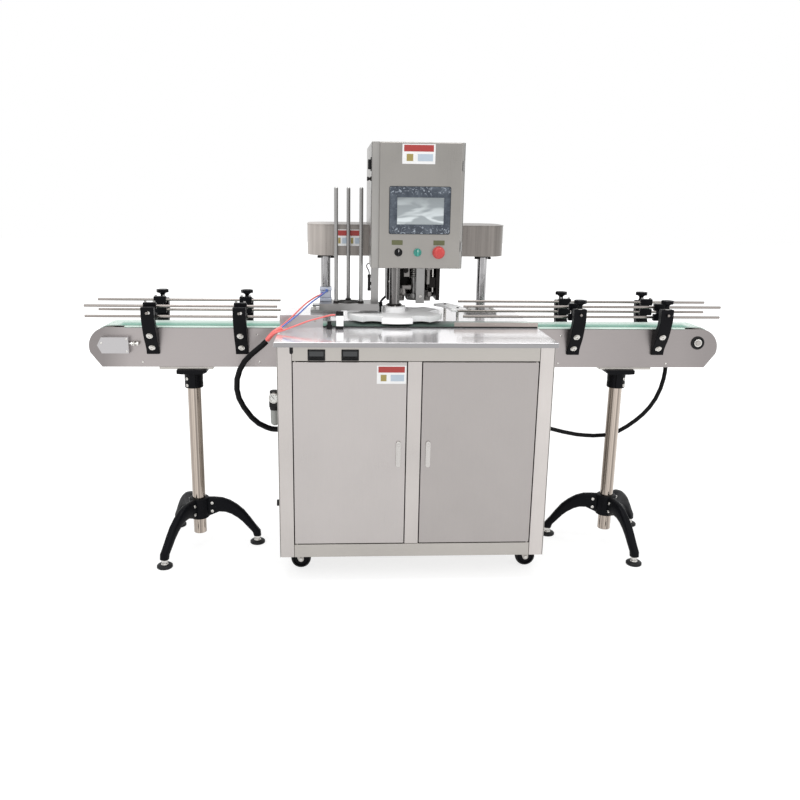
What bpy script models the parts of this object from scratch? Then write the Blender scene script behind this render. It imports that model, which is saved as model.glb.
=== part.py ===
"""Automatic can seaming machine with its belt conveyor and two stands.

Units are metres. X runs along the conveyor, Y runs away from the operator and
Z is up. The origin lies on the floor under the middle of the machine.
"""

import math

import bmesh
import bpy
from mathutils import Matrix, Vector

CLEAR = 0.0003
ROUND = 32
SMALL_ROUND = 16

# Cabinet
CABINET_WIDTH = 0.965
CABINET_DEPTH = 0.820
CABINET_BOTTOM = 0.100
TUBE = 0.050
FASCIA_HEIGHT = 0.065
MIDDLE_POST_X = -0.006
SKIN_SHEET = 0.0015
FLOOR_SHEET = 0.003

# Table
TABLE_HEIGHT = 0.900
TABLE_SHEET = 0.0023
TABLE_LIP = 0.017
TABLE_OVERHANG = 0.011
TABLE_REAR_OVERHANG = 0.019
TABLE_SLOT_GAP = 0.005
RIGHT_GUARD_HEIGHT = 0.021
RIGHT_GUARD_START = 0.170
LEFT_GUARD_HEIGHT = 0.047
LEFT_GUARD_REACH = 0.1525
GUARD_SHEET = 0.003
SENSOR_SETBACK = 0.042
SENSOR_FROM_LEFT = 0.1995
SENSOR_WIDTH = 0.030
SENSOR_DEPTH = 0.010
SENSOR_HEIGHT = 0.068
SENSOR_TOP = TABLE_HEIGHT + SENSOR_HEIGHT
SENSOR_HEAD_SHIFT = -0.034
SENSOR_HEAD_WIDTH = 0.022
SENSOR_HEAD_HEIGHT = 0.030
SENSOR_HEAD_TOP = TABLE_HEIGHT + SENSOR_HEAD_HEIGHT

# Doors
DOOR_GAP = 0.0025
DOOR_DEPTH = 0.020
DOOR_SHEET = 0.0015
DOOR_PIN_RADIUS = 0.003
DOOR_PIN_INSET = 0.008
DOOR_PIN_BEHIND_FACE = 0.004
LEVER_WIDTH = 0.018
LEVER_LENGTH = 0.098
LEVER_DEPTH = 0.007
LEVER_PIVOT_HEIGHT = 0.530
LEVER_ABOVE_PIVOT = 0.014
LEVER_FROM_DOOR_EDGE = 0.0255

# Panel meters in the fascia
METER_WIDTH = 0.060
METER_HEIGHT = 0.038
METER_BEZEL = 0.006
METER_BODY_DEPTH = 0.046
METER_BODY_INSET = 0.004
METER_MARGIN = 0.0031
METER_FROM_LEFT = (0.135, 0.251)

# Casters
WHEEL_RADIUS = 0.0375
WHEEL_WIDTH = 0.024
AXLE_RADIUS = 0.004
CASTER_TRAIL = 0.018
CASTER_PLATE = 0.060
CASTER_PLATE_THICK = 0.004
CASTER_LEG_THICK = 0.003
CASTER_LEG_GAP = 0.002
CASTER_LEG_WIDTH = 0.024
CASTER_INSET = 0.050
CASTER_FRONT_SETBACK = 0.130

# Conveyor
CONVEYOR_HALF = 1.211
CONVEYOR_FROM_BACK = 0.510
CONVEYOR_WIDTH = 0.150
CONVEYOR_DROP = 0.003
CONVEYOR_TOP = TABLE_HEIGHT - CONVEYOR_DROP
CONVEYOR_HEIGHT = 0.152
CONVEYOR_BOTTOM = CONVEYOR_TOP - CONVEYOR_HEIGHT
CONVEYOR_SHEET = 0.003
NOSE_RADIUS = 0.074
NOSE_FOOT_INSET = 0.045
ROLLER_RADIUS = 0.0567
ROLLER_INSET = 0.080
SHAFT_RADIUS = 0.010
SHAFT_OVERHANG = 0.010
BELT_RISE = 0.006
BELT_TOP = CONVEYOR_TOP + BELT_RISE
BELT_THICK = 0.003
BELT_SIDE_GAPS = 0.030
BELT_WIDTH = CONVEYOR_WIDTH - BELT_SIDE_GAPS
ROLLER_SIDE_GAPS = 0.025
ROLLER_WIDTH = CONVEYOR_WIDTH - ROLLER_SIDE_GAPS
BED_SHEET = 0.002
BED_SKIRT = 0.060
BED_END_GAP = 0.012
COVER_DEPTH = 0.025
COVER_WALL = 0.002
COVER_LENGTH = 0.116
COVER_HEIGHT = 0.061
COVER_POINT = 0.016
COVER_TIP_SHIFT = 0.042

# Guide rails
ROD_RADIUS = 0.005
ROD_UPPER_RISE = 0.078
ROD_UPPER = BELT_TOP + ROD_UPPER_RISE
ROD_LOWER_RISE = 0.039
ROD_LOWER = BELT_TOP + ROD_LOWER_RISE
LEFT_RAIL_OUT = (0.021, 0.006)
RIGHT_RAIL_OUT = (-0.009, 0.002)
RAIL_TO_CABINET = 0.0175
RIGHT_RAIL_START = 0.205
ARM_FROM_CABINET = 0.1545
ARM_FROM_END = 0.240
ARM_WIDTH = 0.048
ARM_PROFILE = (
    (0.010, -0.101),
    (0.014, -0.081),
    (0.026, -0.061),
    (0.040, -0.041),
    (0.050, -0.022),
    (0.058, -0.001),
    (0.065, 0.020),
    (0.072, 0.040),
    (0.072, 0.085),
    (0.044, 0.085),
    (0.044, 0.040),
    (0.038, 0.018),
    (0.028, 0.003),
    (0.012, -0.005),
)
ARM_OUT = 0.072
ARM_BOTTOM = CONVEYOR_TOP + ARM_PROFILE[0][1]
ARM_HEAD_RISE = 0.085
ARM_HEAD_TOP = CONVEYOR_TOP + ARM_HEAD_RISE
ARM_HEAD_MIDDLE = 0.058
PIN_RADIUS = 0.005
PIN_HEIGHT = (ROD_LOWER + ROD_UPPER) / 2
PIN_PAST_HEAD = 0.012
CLAMP_WIDTH = 0.048
CLAMP_DEPTH = 0.018
CLAMP_OVER = 0.008
KNOB_RADIUS = 0.024
KNOB_STEM_RADIUS = 0.009
KNOB_HEIGHT = 0.034
KNOB_TOP = ARM_HEAD_TOP + KNOB_HEIGHT
KNOB_THICK = 0.014

# Stands
STAND_SHIFT = 0.026
STAND_FROM_BACK = 0.480
POLE_RADIUS = 0.0254
POLE_WALL = 0.002
POLE_BOTTOM = 0.058
SADDLE_LENGTH = 0.203
SADDLE_SHIFT = 0.0215
SADDLE_THICK = 0.009
FLANGE_LENGTH = 0.114
FLANGE_WIDTH = 0.090
FLANGE_THICK = 0.018
COLLAR_RADIUS = 0.035
COLLAR_LENGTH = 0.085
COLLAR_BOTTOM = CONVEYOR_BOTTOM - COLLAR_LENGTH
HUB_RADIUS = 0.040
HUB_BOTTOM = 0.122
HUB_TOP = 0.205
LEG_REACH = 0.228
LEG_WIDTH = 0.030
FOOT_RADIUS = 0.030
FOOT_THICK = 0.014
STUD_RADIUS = 0.010
LEFT_LEG_ANGLE = -117.0
RIGHT_LEG_ANGLE = -77.0

# Head beam and its columns
BEAM_LEFT = -0.400
BEAM_RIGHT = 0.410
BEAM_FROM_BACK = 0.254
BEAM_DEPTH = 0.273
HEAD_ROOM = 0.250
BEAM_BOTTOM = TABLE_HEIGHT + HEAD_ROOM
BEAM_HEIGHT = 0.124
BEAM_TOP = BEAM_BOTTOM + BEAM_HEIGHT
BEAM_CORNER = 0.082
BEAM_WALL = 0.004
BEAM_PORT = 0.180
COLUMN_RADIUS = 0.021
COLUMN_INSETS = (0.075, 0.070)
COLUMN_X = (BEAM_LEFT + COLUMN_INSETS[0], BEAM_RIGHT - COLUMN_INSETS[1])
COLUMN_FROM_BACK = 0.110
COLLAR_PLATE_RADIUS = 0.034
COLLAR_PLATE_THICK = 0.012
COLUMN_FOOT_X = 0.130
COLUMN_FOOT_Y = 0.080
COLUMN_FOOT_THICK = 0.015

# Control box, its door and the motor casing
BOX_LEFT = -0.150
BOX_RIGHT = 0.196
BOX_DROP = 0.029
BOX_BOTTOM = BEAM_BOTTOM - BOX_DROP
BOX_HEIGHT = 0.460
BOX_TOP = BOX_BOTTOM + BOX_HEIGHT
BOX_FROM_BACK = 0.475
BOX_WALL = 0.002
BOX_LEFT_MARGIN = 0.030
BOX_DOOR_LEFT = BOX_LEFT + BOX_LEFT_MARGIN
BOX_RIGHT_MARGIN = 0.012
BOX_DOOR_RIGHT = BOX_RIGHT - BOX_RIGHT_MARGIN
BOX_DOOR_DEPTH = 0.016
BOX_DOOR_WALL = 0.002
BOX_DOOR_MARGIN = 0.002
BOX_OPENING_MARGIN = 0.016
HINGE_RADIUS = 0.004
HINGE_LENGTH = 0.034
HINGE_OFFSET = 0.006
HINGE_RISES = (0.083, 0.377)
HINGE_HEIGHTS = tuple(BOX_BOTTOM + rise for rise in HINGE_RISES)
SCREEN_FROM_LEFT = 0.1505
SCREEN_X = BOX_DOOR_LEFT + SCREEN_FROM_LEFT
SCREEN_RISE = 0.2155
SCREEN_Z = BOX_BOTTOM + SCREEN_RISE
SCREEN_WIDTH = 0.225
SCREEN_HEIGHT = 0.170
SCREEN_BEZEL = 0.006
SCREEN_BODY_MARGIN = 0.011
SCREEN_BODY_DEPTH = 0.034
SWITCH_RISE = 0.061
SWITCH_Z = BOX_BOTTOM + SWITCH_RISE
SELECTOR_SHIFT = 0.0775
SELECTOR_X = SCREEN_X - SELECTOR_SHIFT
START_SHIFT = 0.0055
START_X = SCREEN_X - START_SHIFT
STOP_SHIFT = 0.0745
STOP_X = SCREEN_X + STOP_SHIFT
SWITCH_HOLE_RADIUS = 0.011
SWITCH_RING_RADIUS = 0.015
SWITCH_RING_THICK = 0.006
SWITCH_GRIP = 0.014
STOP_HEAD_RADIUS = 0.021
STOP_HEAD_THICK = 0.012
STOP_STANDOFF = 0.016
SWITCH_BACK = 0.030
SWITCH_NUT_RADIUS = 0.013
SWITCH_NUT_THICK = 0.004

# Star wheel, seaming station and lid magazine
STAR_X = -0.047
STAR_FROM_BACK = 0.320
STAR_PITCH = 0.185
LOBE_PAST_PITCH = 0.008
STAR_RADIUS = STAR_PITCH + LOBE_PAST_PITCH
POCKETS = 6
POCKET_RADIUS = 0.040
STAR_RISE = 0.012
STAR_BOTTOM = TABLE_HEIGHT + STAR_RISE
STAR_THICK = 0.022
STAR_BOSS_RADIUS = 0.045
STAR_HEIGHT = 0.045
STAR_BOSS_TOP = STAR_BOTTOM + STAR_HEIGHT
STAR_SHAFT_RADIUS = 0.0125
STAR_COLUMN_RADIUS = 0.0215
STAR_COLLAR_RADIUS = 0.030
STAR_COLLAR_THICK = 0.018
LIFTER_RADIUS = 0.036
LIFTER_RISE = 0.0025
LIFTER_TOP = TABLE_HEIGHT + LIFTER_RISE
LIFTER_THICK = 0.012
LIFTER_STEM_RADIUS = 0.012
LIFTER_STEM_LENGTH = 0.100
LIFTER_STEM_BOTTOM = TABLE_HEIGHT - LIFTER_STEM_LENGTH
SEAMER_WIDTH = 0.218
SEAMER_DEPTH = 0.150
SEAMER_SHIFT = (-0.0085, 0.0048)
SEAMER_WALL = 0.015
SEAMER_LEG_RISE = 0.068
SEAMER_LEG_BOTTOM = TABLE_HEIGHT + SEAMER_LEG_RISE
SEAMER_BAR_SHIFT = 0.0185
SEAMER_BAR_WIDTH = 0.034
SEAMER_BAR_RISE = 0.057
SEAMER_BAR_BOTTOM = TABLE_HEIGHT + SEAMER_BAR_RISE
CHUCK_RADIUS = 0.0365
CHUCK_RISE = 0.062
CHUCK_BOTTOM = TABLE_HEIGHT + CHUCK_RISE
CHUCK_TOP_RISE = 0.090
CHUCK_TOP = TABLE_HEIGHT + CHUCK_TOP_RISE
SPINDLE_RADIUS = 0.018
ROLLER_HEAD_RADIUS = 0.016
ROLLER_HEAD_GAP = 0.003
ROLLER_HEAD_RISE = 0.058
ROLLER_HEAD_BOTTOM = TABLE_HEIGHT + ROLLER_HEAD_RISE
ROLLER_HEAD_TOP_RISE = 0.086
ROLLER_HEAD_TOP = TABLE_HEIGHT + ROLLER_HEAD_TOP_RISE
ARM_PIVOT_OUT = 0.008
ARM_PIVOT_BACK = 0.040
ARM_BAR_THICK = 0.015
ARM_BAR_WIDTH = 0.018
ARM_PIVOT_RADIUS = 0.007
MAGAZINE_REACH = 0.115
MAGAZINE_PAST_BOX = 0.038
MAGAZINE_RIGHT = BOX_LEFT + MAGAZINE_PAST_BOX
MAGAZINE_DEPTH = 0.136
MAGAZINE_RISE = 0.046
MAGAZINE_BOTTOM = TABLE_HEIGHT + MAGAZINE_RISE
MAGAZINE_TOP_RISE = 0.072
MAGAZINE_TOP = TABLE_HEIGHT + MAGAZINE_TOP_RISE
LID_HOLE_RADIUS = 0.046
LID_ROD_RADIUS = 0.0075
LID_ROD_GAP = 0.003
LID_ROD_CIRCLE = LID_HOLE_RADIUS + LID_ROD_RADIUS + LID_ROD_GAP
LID_ROD_LENGTH = 0.446
LID_ROD_TOP = MAGAZINE_TOP + LID_ROD_LENGTH
HANGER_WIDTH = 0.030
HANGER_DEPTH = 0.020
PUSHER_WIDTH = 0.050
PUSHER_THICK = 0.006
PUSHER_RISE = 0.010
PUSHER_BOTTOM = MAGAZINE_BOTTOM + PUSHER_RISE
PUSHER_OUT = 0.028
PUSHER_REST_GAP = 0.006
CYLINDER_WIDTH = 0.048
CYLINDER_DEPTH = 0.044
CYLINDER_HEIGHT = 0.056
FITTING_RADIUS = 0.006
FITTING_LENGTH = 0.014
GUIDE_GAP = 0.037
GUIDE_RADIUS = STAR_RADIUS + GUIDE_GAP
GUIDE_WIDTH = 0.062
GUIDE_RISE = 0.036
GUIDE_BOTTOM = TABLE_HEIGHT + GUIDE_RISE
GUIDE_THICK = 0.010
GUIDE_START = -6.0
GUIDE_END = 40.0
GUIDE_POST_RADIUS = 0.006
GUIDE_POST_ANGLES = (4.0, 31.0)

# Filter regulator on the cabinet's left side
FILTER_SETBACK = 0.150
FILTER_BODY = 0.042
FILTER_TOP = 0.692
FILTER_BODY_HEIGHT = 0.060
BOWL_RADIUS = 0.017
BOWL_DROP = 0.132
BOWL_BOTTOM = FILTER_TOP - BOWL_DROP
GAUGE_RADIUS = 0.019
GAUGE_THICK = 0.022
GAUGE_DROP = 0.020
GAUGE_HEIGHT = FILTER_TOP - GAUGE_DROP

# Conduits and air tubes
LEFT_CONDUIT_RADIUS = 0.0105
RIGHT_CONDUIT_RADIUS = 0.0085
AIR_TUBE_RADIUS = 0.003
GLAND_RADIUS = 0.014
GLAND_LENGTH = 0.014
CORD_STEP = 2.4

# Places worked out from the values above
TABLE_DEPTH = TABLE_OVERHANG + CABINET_DEPTH + TABLE_REAR_OVERHANG
FRONT = TABLE_OVERHANG - TABLE_DEPTH / 2
BACK = FRONT + CABINET_DEPTH
HALF_CABINET = CABINET_WIDTH / 2
METER_X = tuple(place - HALF_CABINET for place in METER_FROM_LEFT)
SENSOR_LEFT = SENSOR_FROM_LEFT - HALF_CABINET
LEFT_GUARD_END = LEFT_GUARD_REACH - HALF_CABINET
LEFT_RAIL_END = -HALF_CABINET - RAIL_TO_CABINET
FRAME_TOP = TABLE_HEIGHT - TABLE_SHEET - CLEAR
FASCIA_BOTTOM = FRAME_TOP - FASCIA_HEIGHT
METER_CENTRE_HEIGHT = FASCIA_BOTTOM + METER_MARGIN + METER_HEIGHT / 2
RAIL_BOTTOM = FRAME_TOP - TUBE
PLATE_FRONT = BACK - CONVEYOR_FROM_BACK
PLATE_BACK = PLATE_FRONT + CONVEYOR_WIDTH
LANE_Y = (PLATE_FRONT + PLATE_BACK) / 2
SLOT_FRONT = PLATE_FRONT - TABLE_SLOT_GAP
SLOT_BACK = PLATE_BACK + TABLE_SLOT_GAP
ROLLER_X = CONVEYOR_HALF - ROLLER_INSET
ARM_X = (HALF_CABINET + ARM_FROM_CABINET, CONVEYOR_HALF - ARM_FROM_END)
STAND_X = (ARM_X[0] + ARM_X[1]) / 2 + STAND_SHIFT
BELT_OUTER = ROLLER_RADIUS + CLEAR + BELT_THICK
ROLLER_HEIGHT = BELT_TOP - BELT_OUTER
STAR_Y = BACK - STAR_FROM_BACK
BEAM_FRONT = BACK - BEAM_FROM_BACK
BEAM_BACK = BEAM_FRONT + BEAM_DEPTH
BOX_FRONT = BACK - BOX_FROM_BACK
BOX_DOOR_FRONT = BOX_FRONT - CLEAR - BOX_DOOR_DEPTH
STAND_Y = BACK - STAND_FROM_BACK
SEAM_ANGLE = math.radians(60)
SEAM_X = STAR_X + STAR_PITCH * math.cos(SEAM_ANGLE)
SEAM_Y = STAR_Y + STAR_PITCH * math.sin(SEAM_ANGLE)
MAGAZINE_X = STAR_X - STAR_PITCH
MAGAZINE_LEFT = MAGAZINE_X - MAGAZINE_REACH

STEEL = (0.62, 0.59, 0.57, 1.0)
BRIGHT_STEEL = (0.72, 0.71, 0.70, 1.0)
DARK_STEEL = (0.10, 0.10, 0.11, 1.0)
BLACK = (0.015, 0.015, 0.017, 1.0)
WHITE = (0.85, 0.85, 0.84, 1.0)
GREEN = (0.10, 0.42, 0.30, 1.0)
TEAL = (0.05, 0.45, 0.38, 1.0)
RED = (0.70, 0.04, 0.03, 1.0)
BLUE = (0.10, 0.20, 0.55, 1.0)
GLASS_GREY = (0.16, 0.20, 0.25, 1.0)


# Helpers: materials, meshes and Booleans


def clear_scene():
    for item in list(bpy.data.objects):
        bpy.data.objects.remove(item, do_unlink=True)


def material(name, colour, roughness, metallic):
    made = bpy.data.materials.new(name)
    made.use_nodes = True
    shader = made.node_tree.nodes["Principled BSDF"]
    shader.inputs["Base Color"].default_value = colour
    shader.inputs["Roughness"].default_value = roughness
    shader.inputs["Metallic"].default_value = metallic
    return made


def steel(name):
    return material(name, STEEL, 0.35, 1.0)


def bright_steel(name):
    return material(name, BRIGHT_STEEL, 0.2, 1.0)


def black_plastic(name):
    return material(name, BLACK, 0.5, 0.0)


def object_from_bmesh(name, shape, finish=None, pivot=(0.0, 0.0, 0.0)):
    """Make an object whose origin is at pivot; the shape is given in world places."""
    bmesh.ops.translate(shape, vec=-Vector(pivot), verts=shape.verts)
    bmesh.ops.recalc_face_normals(shape, faces=shape.faces)
    mesh = bpy.data.meshes.new(name)
    shape.to_mesh(mesh)
    shape.free()
    made = bpy.data.objects.new(name, mesh)
    made.location = pivot
    bpy.context.scene.collection.objects.link(made)
    if finish is not None:
        mesh.materials.append(finish)
    return made


def smooth(made, angle=35.0):
    made.data.shade_smooth()
    made.data.set_sharp_from_angle(angle=math.radians(angle))
    return made


def grid_solid(blocks, voids=()):
    """One closed shape from boxes (x0, x1, y0, y1, z0, z1) less the void boxes."""
    cuts = []
    for axis in range(3):
        values = set()
        for box in list(blocks) + list(voids):
            values.add(round(box[2 * axis], 6))
            values.add(round(box[2 * axis + 1], 6))
        cuts.append(sorted(values))
    counts = [len(values) - 1 for values in cuts]

    def inside(box, middle):
        return all(box[2 * a] < middle[a] < box[2 * a + 1] for a in range(3))

    filled = set()
    for i in range(counts[0]):
        for j in range(counts[1]):
            for k in range(counts[2]):
                cell = (i, j, k)
                middle = [(cuts[a][cell[a]] + cuts[a][cell[a] + 1]) / 2 for a in range(3)]
                if any(inside(box, middle) for box in blocks):
                    if not any(inside(box, middle) for box in voids):
                        filled.add(cell)
    shape = bmesh.new()
    corners = {}

    def corner(index):
        if index not in corners:
            corners[index] = shape.verts.new([cuts[a][index[a]] for a in range(3)])
        return corners[index]

    for cell in sorted(filled):
        for axis in range(3):
            for side in (0, 1):
                other = list(cell)
                other[axis] += 1 if side else -1
                if tuple(other) in filled:
                    continue
                first, second = (axis + 1) % 3, (axis + 2) % 3
                ring = []
                for du, dv in ((0, 0), (1, 0), (1, 1), (0, 1)):
                    index = list(cell)
                    index[axis] += side
                    index[first] += du
                    index[second] += dv
                    ring.append(corner(tuple(index)))
                shape.faces.new(ring if side else list(reversed(ring)))
    bmesh.ops.dissolve_limit(
        shape, angle_limit=0.01, verts=shape.verts, edges=shape.edges, delimit={"NORMAL"}
    )
    bmesh.ops.triangulate(shape, faces=shape.faces)
    return shape


def prism(outline, low, high, axis="Z"):
    """Closed outline extruded from low to high; the outline is (x, y), (x, z) or (y, z)."""
    shape = bmesh.new()

    def place(point, along):
        if axis == "Z":
            return (point[0], point[1], along)
        if axis == "Y":
            return (point[0], along, point[1])
        return (along, point[0], point[1])

    bottom = [shape.verts.new(place(point, low)) for point in outline]
    top = [shape.verts.new(place(point, high)) for point in outline]
    shape.faces.new(bottom)
    shape.faces.new(top)
    for i in range(len(outline)):
        j = (i + 1) % len(outline)
        shape.faces.new((bottom[i], bottom[j], top[j], top[i]))
    return shape


def lathe(profile, centre, axis="Z", steps=ROUND):
    """Turned shape: profile is (radius, along) from one end to the other; radius 0 closes it.

    A profile whose two ends have a radius is closed into a ring.
    """
    shape = bmesh.new()
    rings = []
    for radius, along in profile:
        count = 1 if radius == 0 else steps
        ring = []
        for i in range(count):
            turn = 2 * math.pi * i / steps
            u, v = radius * math.cos(turn), radius * math.sin(turn)
            if axis == "Z":
                place = (centre[0] + u, centre[1] + v, along)
            elif axis == "Y":
                place = (centre[0] + u, along, centre[1] + v)
            else:
                place = (along, centre[0] + u, centre[1] + v)
            ring.append(shape.verts.new(place))
        rings.append(ring)
    pairs = list(zip(rings, rings[1:]))
    if profile[0][0] > 0 and profile[-1][0] > 0:
        pairs.append((rings[-1], rings[0]))
    for first, second in pairs:
        for i in range(steps):
            j = (i + 1) % steps
            if len(first) == 1:
                shape.faces.new((first[0], second[j], second[i]))
            elif len(second) == 1:
                shape.faces.new((first[i], first[j], second[0]))
            else:
                shape.faces.new((first[i], first[j], second[j], second[i]))
    return shape


def rod(radius, low, high, centre, axis="Z", steps=ROUND):
    return lathe([(0, low), (radius, low), (radius, high), (0, high)], centre, axis, steps)


def arc(centre, radius, start, end, count):
    """Points on an arc, angles in degrees, both ends included."""
    points = []
    for i in range(count + 1):
        turn = math.radians(start + (end - start) * i / count)
        points.append((centre[0] + radius * math.cos(turn), centre[1] + radius * math.sin(turn)))
    return points


def rounded_rectangle(x0, x1, y0, y1, radius, count=10):
    outline = []
    outline += arc((x1 - radius, y0 + radius), radius, -90, 0, count)
    outline += arc((x1 - radius, y1 - radius), radius, 0, 90, count)
    outline += arc((x0 + radius, y1 - radius), radius, 90, 180, count)
    outline += arc((x0 + radius, y0 + radius), radius, 180, 270, count)
    return outline


def tool(target, shape, operation):
    """Boolean of a hidden helper shape with the target object."""
    helper = object_from_bmesh(target.name + "_tool", shape)
    helper.hide_render = True
    helper.display_type = "WIRE"
    step = target.modifiers.new(operation.title(), "BOOLEAN")
    step.operation = operation
    step.solver = "EXACT"
    step.object = helper
    return target


def join(target, *shapes):
    for shape in shapes:
        tool(target, shape, "UNION")
    return target


def cut(target, *shapes):
    for shape in shapes:
        tool(target, shape, "DIFFERENCE")
    return target


# Cabinet


def cabinet_frame():
    """Welded square-tube frame with the fascia, the floor sheet and the conveyor saddle."""
    h, t = HALF_CABINET, TUBE
    saddle_front = SLOT_FRONT - t
    saddle_back = SLOT_BACK + t
    saddle_top = CONVEYOR_BOTTOM - CLEAR
    blocks = []
    for x0, x1 in ((-h, -h + t), (h - t, h)):
        for y0, y1 in ((FRONT, FRONT + t), (BACK - t, BACK)):
            blocks.append((x0, x1, y0, y1, CABINET_BOTTOM, FRAME_TOP))
        blocks.append((x0, x1, FRONT, BACK, CABINET_BOTTOM, CABINET_BOTTOM + t))
        blocks.append((x0, x1, FRONT, SLOT_FRONT, RAIL_BOTTOM, FRAME_TOP))
        blocks.append((x0, x1, SLOT_BACK, BACK, RAIL_BOTTOM, FRAME_TOP))
        blocks.append((x0, x1, saddle_front, SLOT_FRONT, saddle_top - t, FRAME_TOP))
        blocks.append((x0, x1, SLOT_BACK, saddle_back, saddle_top - t, FRAME_TOP))
        blocks.append((x0, x1, saddle_front, saddle_back, saddle_top - t, saddle_top))
    middle_left = MIDDLE_POST_X - t / 2
    middle_right = MIDDLE_POST_X + t / 2
    blocks.append((middle_left, middle_right, FRONT, FRONT + t, CABINET_BOTTOM, FRAME_TOP))
    blocks.append((-h, h, FRONT, FRONT + t, CABINET_BOTTOM, CABINET_BOTTOM + t))
    blocks.append((-h, h, BACK - t, BACK, CABINET_BOTTOM, CABINET_BOTTOM + t))
    blocks.append((-h, h, FRONT, FRONT + t, FASCIA_BOTTOM, FRAME_TOP))
    blocks.append((-h, h, BACK - t, BACK, RAIL_BOTTOM, FRAME_TOP))
    blocks.append((-h, h, saddle_front, SLOT_FRONT, RAIL_BOTTOM, FRAME_TOP))
    blocks.append((-h, h, SLOT_BACK, saddle_back, RAIL_BOTTOM, FRAME_TOP))
    blocks.append((-h, h, FRONT, BACK, CABINET_BOTTOM, CABINET_BOTTOM + FLOOR_SHEET))
    shaft_room = STAR_COLLAR_RADIUS + 2 * TABLE_SLOT_GAP
    voids = [(STAR_X - shaft_room, STAR_X + shaft_room, SLOT_BACK, saddle_back, RAIL_BOTTOM, FRAME_TOP)]
    half_x = METER_WIDTH / 2 - METER_BODY_INSET + CLEAR
    half_z = METER_HEIGHT / 2 - METER_BODY_INSET + CLEAR
    for x in METER_X:
        voids.append(
            (x - half_x, x + half_x, FRONT, FRONT + t, METER_CENTRE_HEIGHT - half_z, METER_CENTRE_HEIGHT + half_z)
        )
    return object_from_bmesh("cabinet_frame", grid_solid(blocks, voids), steel("frame_steel"))


def cabinet_skin():
    """Folded sheet round the left side, the back and the right side, with two glands."""
    inner = HALF_CABINET + CLEAR
    outer = inner + SKIN_SHEET
    back_inner = BACK + CLEAR
    back_outer = back_inner + SKIN_SHEET
    blocks = [
        (-outer, -inner, FRONT, back_outer, CABINET_BOTTOM, FRAME_TOP),
        (inner, outer, FRONT, back_outer, CABINET_BOTTOM, FRAME_TOP),
        (-outer, outer, back_inner, back_outer, CABINET_BOTTOM, FRAME_TOP),
    ]
    voids = [(-outer, outer, SLOT_FRONT, SLOT_BACK, CONVEYOR_BOTTOM - CLEAR, FRAME_TOP)]
    skin = object_from_bmesh("cabinet_skin", grid_solid(blocks, voids), steel("skin_steel"))
    for side, end in ((-1, LEFT_CONDUIT_ROUTE[-1]), (1, RIGHT_CONDUIT_ROUTE[-1])):
        near = side * (outer - SKIN_SHEET / 2)
        far = side * (outer + GLAND_LENGTH)
        low, high = min(near, far), max(near, far)
        join(skin, rod(GLAND_RADIUS, low, high, (end[1], end[2]), "X", SMALL_ROUND))
    return skin


def table_front():
    """Front table pan with folded lips and the two low guards along the belt."""
    half = HALF_CABINET + TABLE_OVERHANG
    front = FRONT - TABLE_OVERHANG
    low = TABLE_HEIGHT - TABLE_LIP
    under = TABLE_HEIGHT - TABLE_SHEET
    guard_front = SLOT_FRONT - GUARD_SHEET
    blocks = [
        (-half, half, front, SLOT_FRONT, under, TABLE_HEIGHT),
        (-half, half, front, front + TABLE_SHEET, low, TABLE_HEIGHT),
        (-half, -half + TABLE_SHEET, front, SLOT_FRONT, low, TABLE_HEIGHT),
        (half - TABLE_SHEET, half, front, SLOT_FRONT, low, TABLE_HEIGHT),
        (RIGHT_GUARD_START, half, guard_front, SLOT_FRONT, under, TABLE_HEIGHT + RIGHT_GUARD_HEIGHT),
        (-half, LEFT_GUARD_END, guard_front, SLOT_FRONT, under, TABLE_HEIGHT + LEFT_GUARD_HEIGHT),
    ]
    for shift, width, top in ((0.0, SENSOR_WIDTH, SENSOR_TOP),
                              (SENSOR_HEAD_SHIFT, SENSOR_HEAD_WIDTH, SENSOR_HEAD_TOP)):
        left = SENSOR_LEFT + shift
        blocks.append((left, left + width, SENSOR_Y - SENSOR_DEPTH / 2, SENSOR_Y + SENSOR_DEPTH / 2,
                       under, top))
    return object_from_bmesh("table_front", grid_solid(blocks), bright_steel("table_steel"))


def table_rear():
    """Rear table pan with the holes for the star shaft and the lifter."""
    half = HALF_CABINET + TABLE_OVERHANG
    back = BACK + TABLE_REAR_OVERHANG
    low = TABLE_HEIGHT - TABLE_LIP
    under = TABLE_HEIGHT - TABLE_SHEET
    blocks = [
        (-half, half, SLOT_BACK, back, under, TABLE_HEIGHT),
        (-half, half, back - TABLE_SHEET, back, low, TABLE_HEIGHT),
        (-half, -half + TABLE_SHEET, SLOT_BACK, back, low, TABLE_HEIGHT),
        (half - TABLE_SHEET, half, SLOT_BACK, back, low, TABLE_HEIGHT),
    ]
    table = object_from_bmesh("table_rear", grid_solid(blocks), bright_steel("table_rear_steel"))
    reach = (under - TABLE_LIP, TABLE_HEIGHT + TABLE_LIP)
    cut(table, rod(STAR_SHAFT_RADIUS + CLEAR, *reach, (STAR_X, STAR_Y)))
    cut(table, rod(LIFTER_RADIUS + CLEAR, *reach, (SEAM_X, SEAM_Y)))
    return table


def door_edges(side):
    """Left and right edges of a cabinet door; side is -1 for the left door."""
    if side < 0:
        return -HALF_CABINET + TUBE + DOOR_GAP, MIDDLE_POST_X - TUBE / 2 - DOOR_GAP
    return MIDDLE_POST_X + TUBE / 2 + DOOR_GAP, HALF_CABINET - TUBE - DOOR_GAP


def door_pivot(side):
    left, right = door_edges(side)
    x = left + DOOR_PIN_INSET if side < 0 else right - DOOR_PIN_INSET
    return (x, FRONT + DOOR_PIN_BEHIND_FACE, CABINET_BOTTOM + TUBE)


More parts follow.
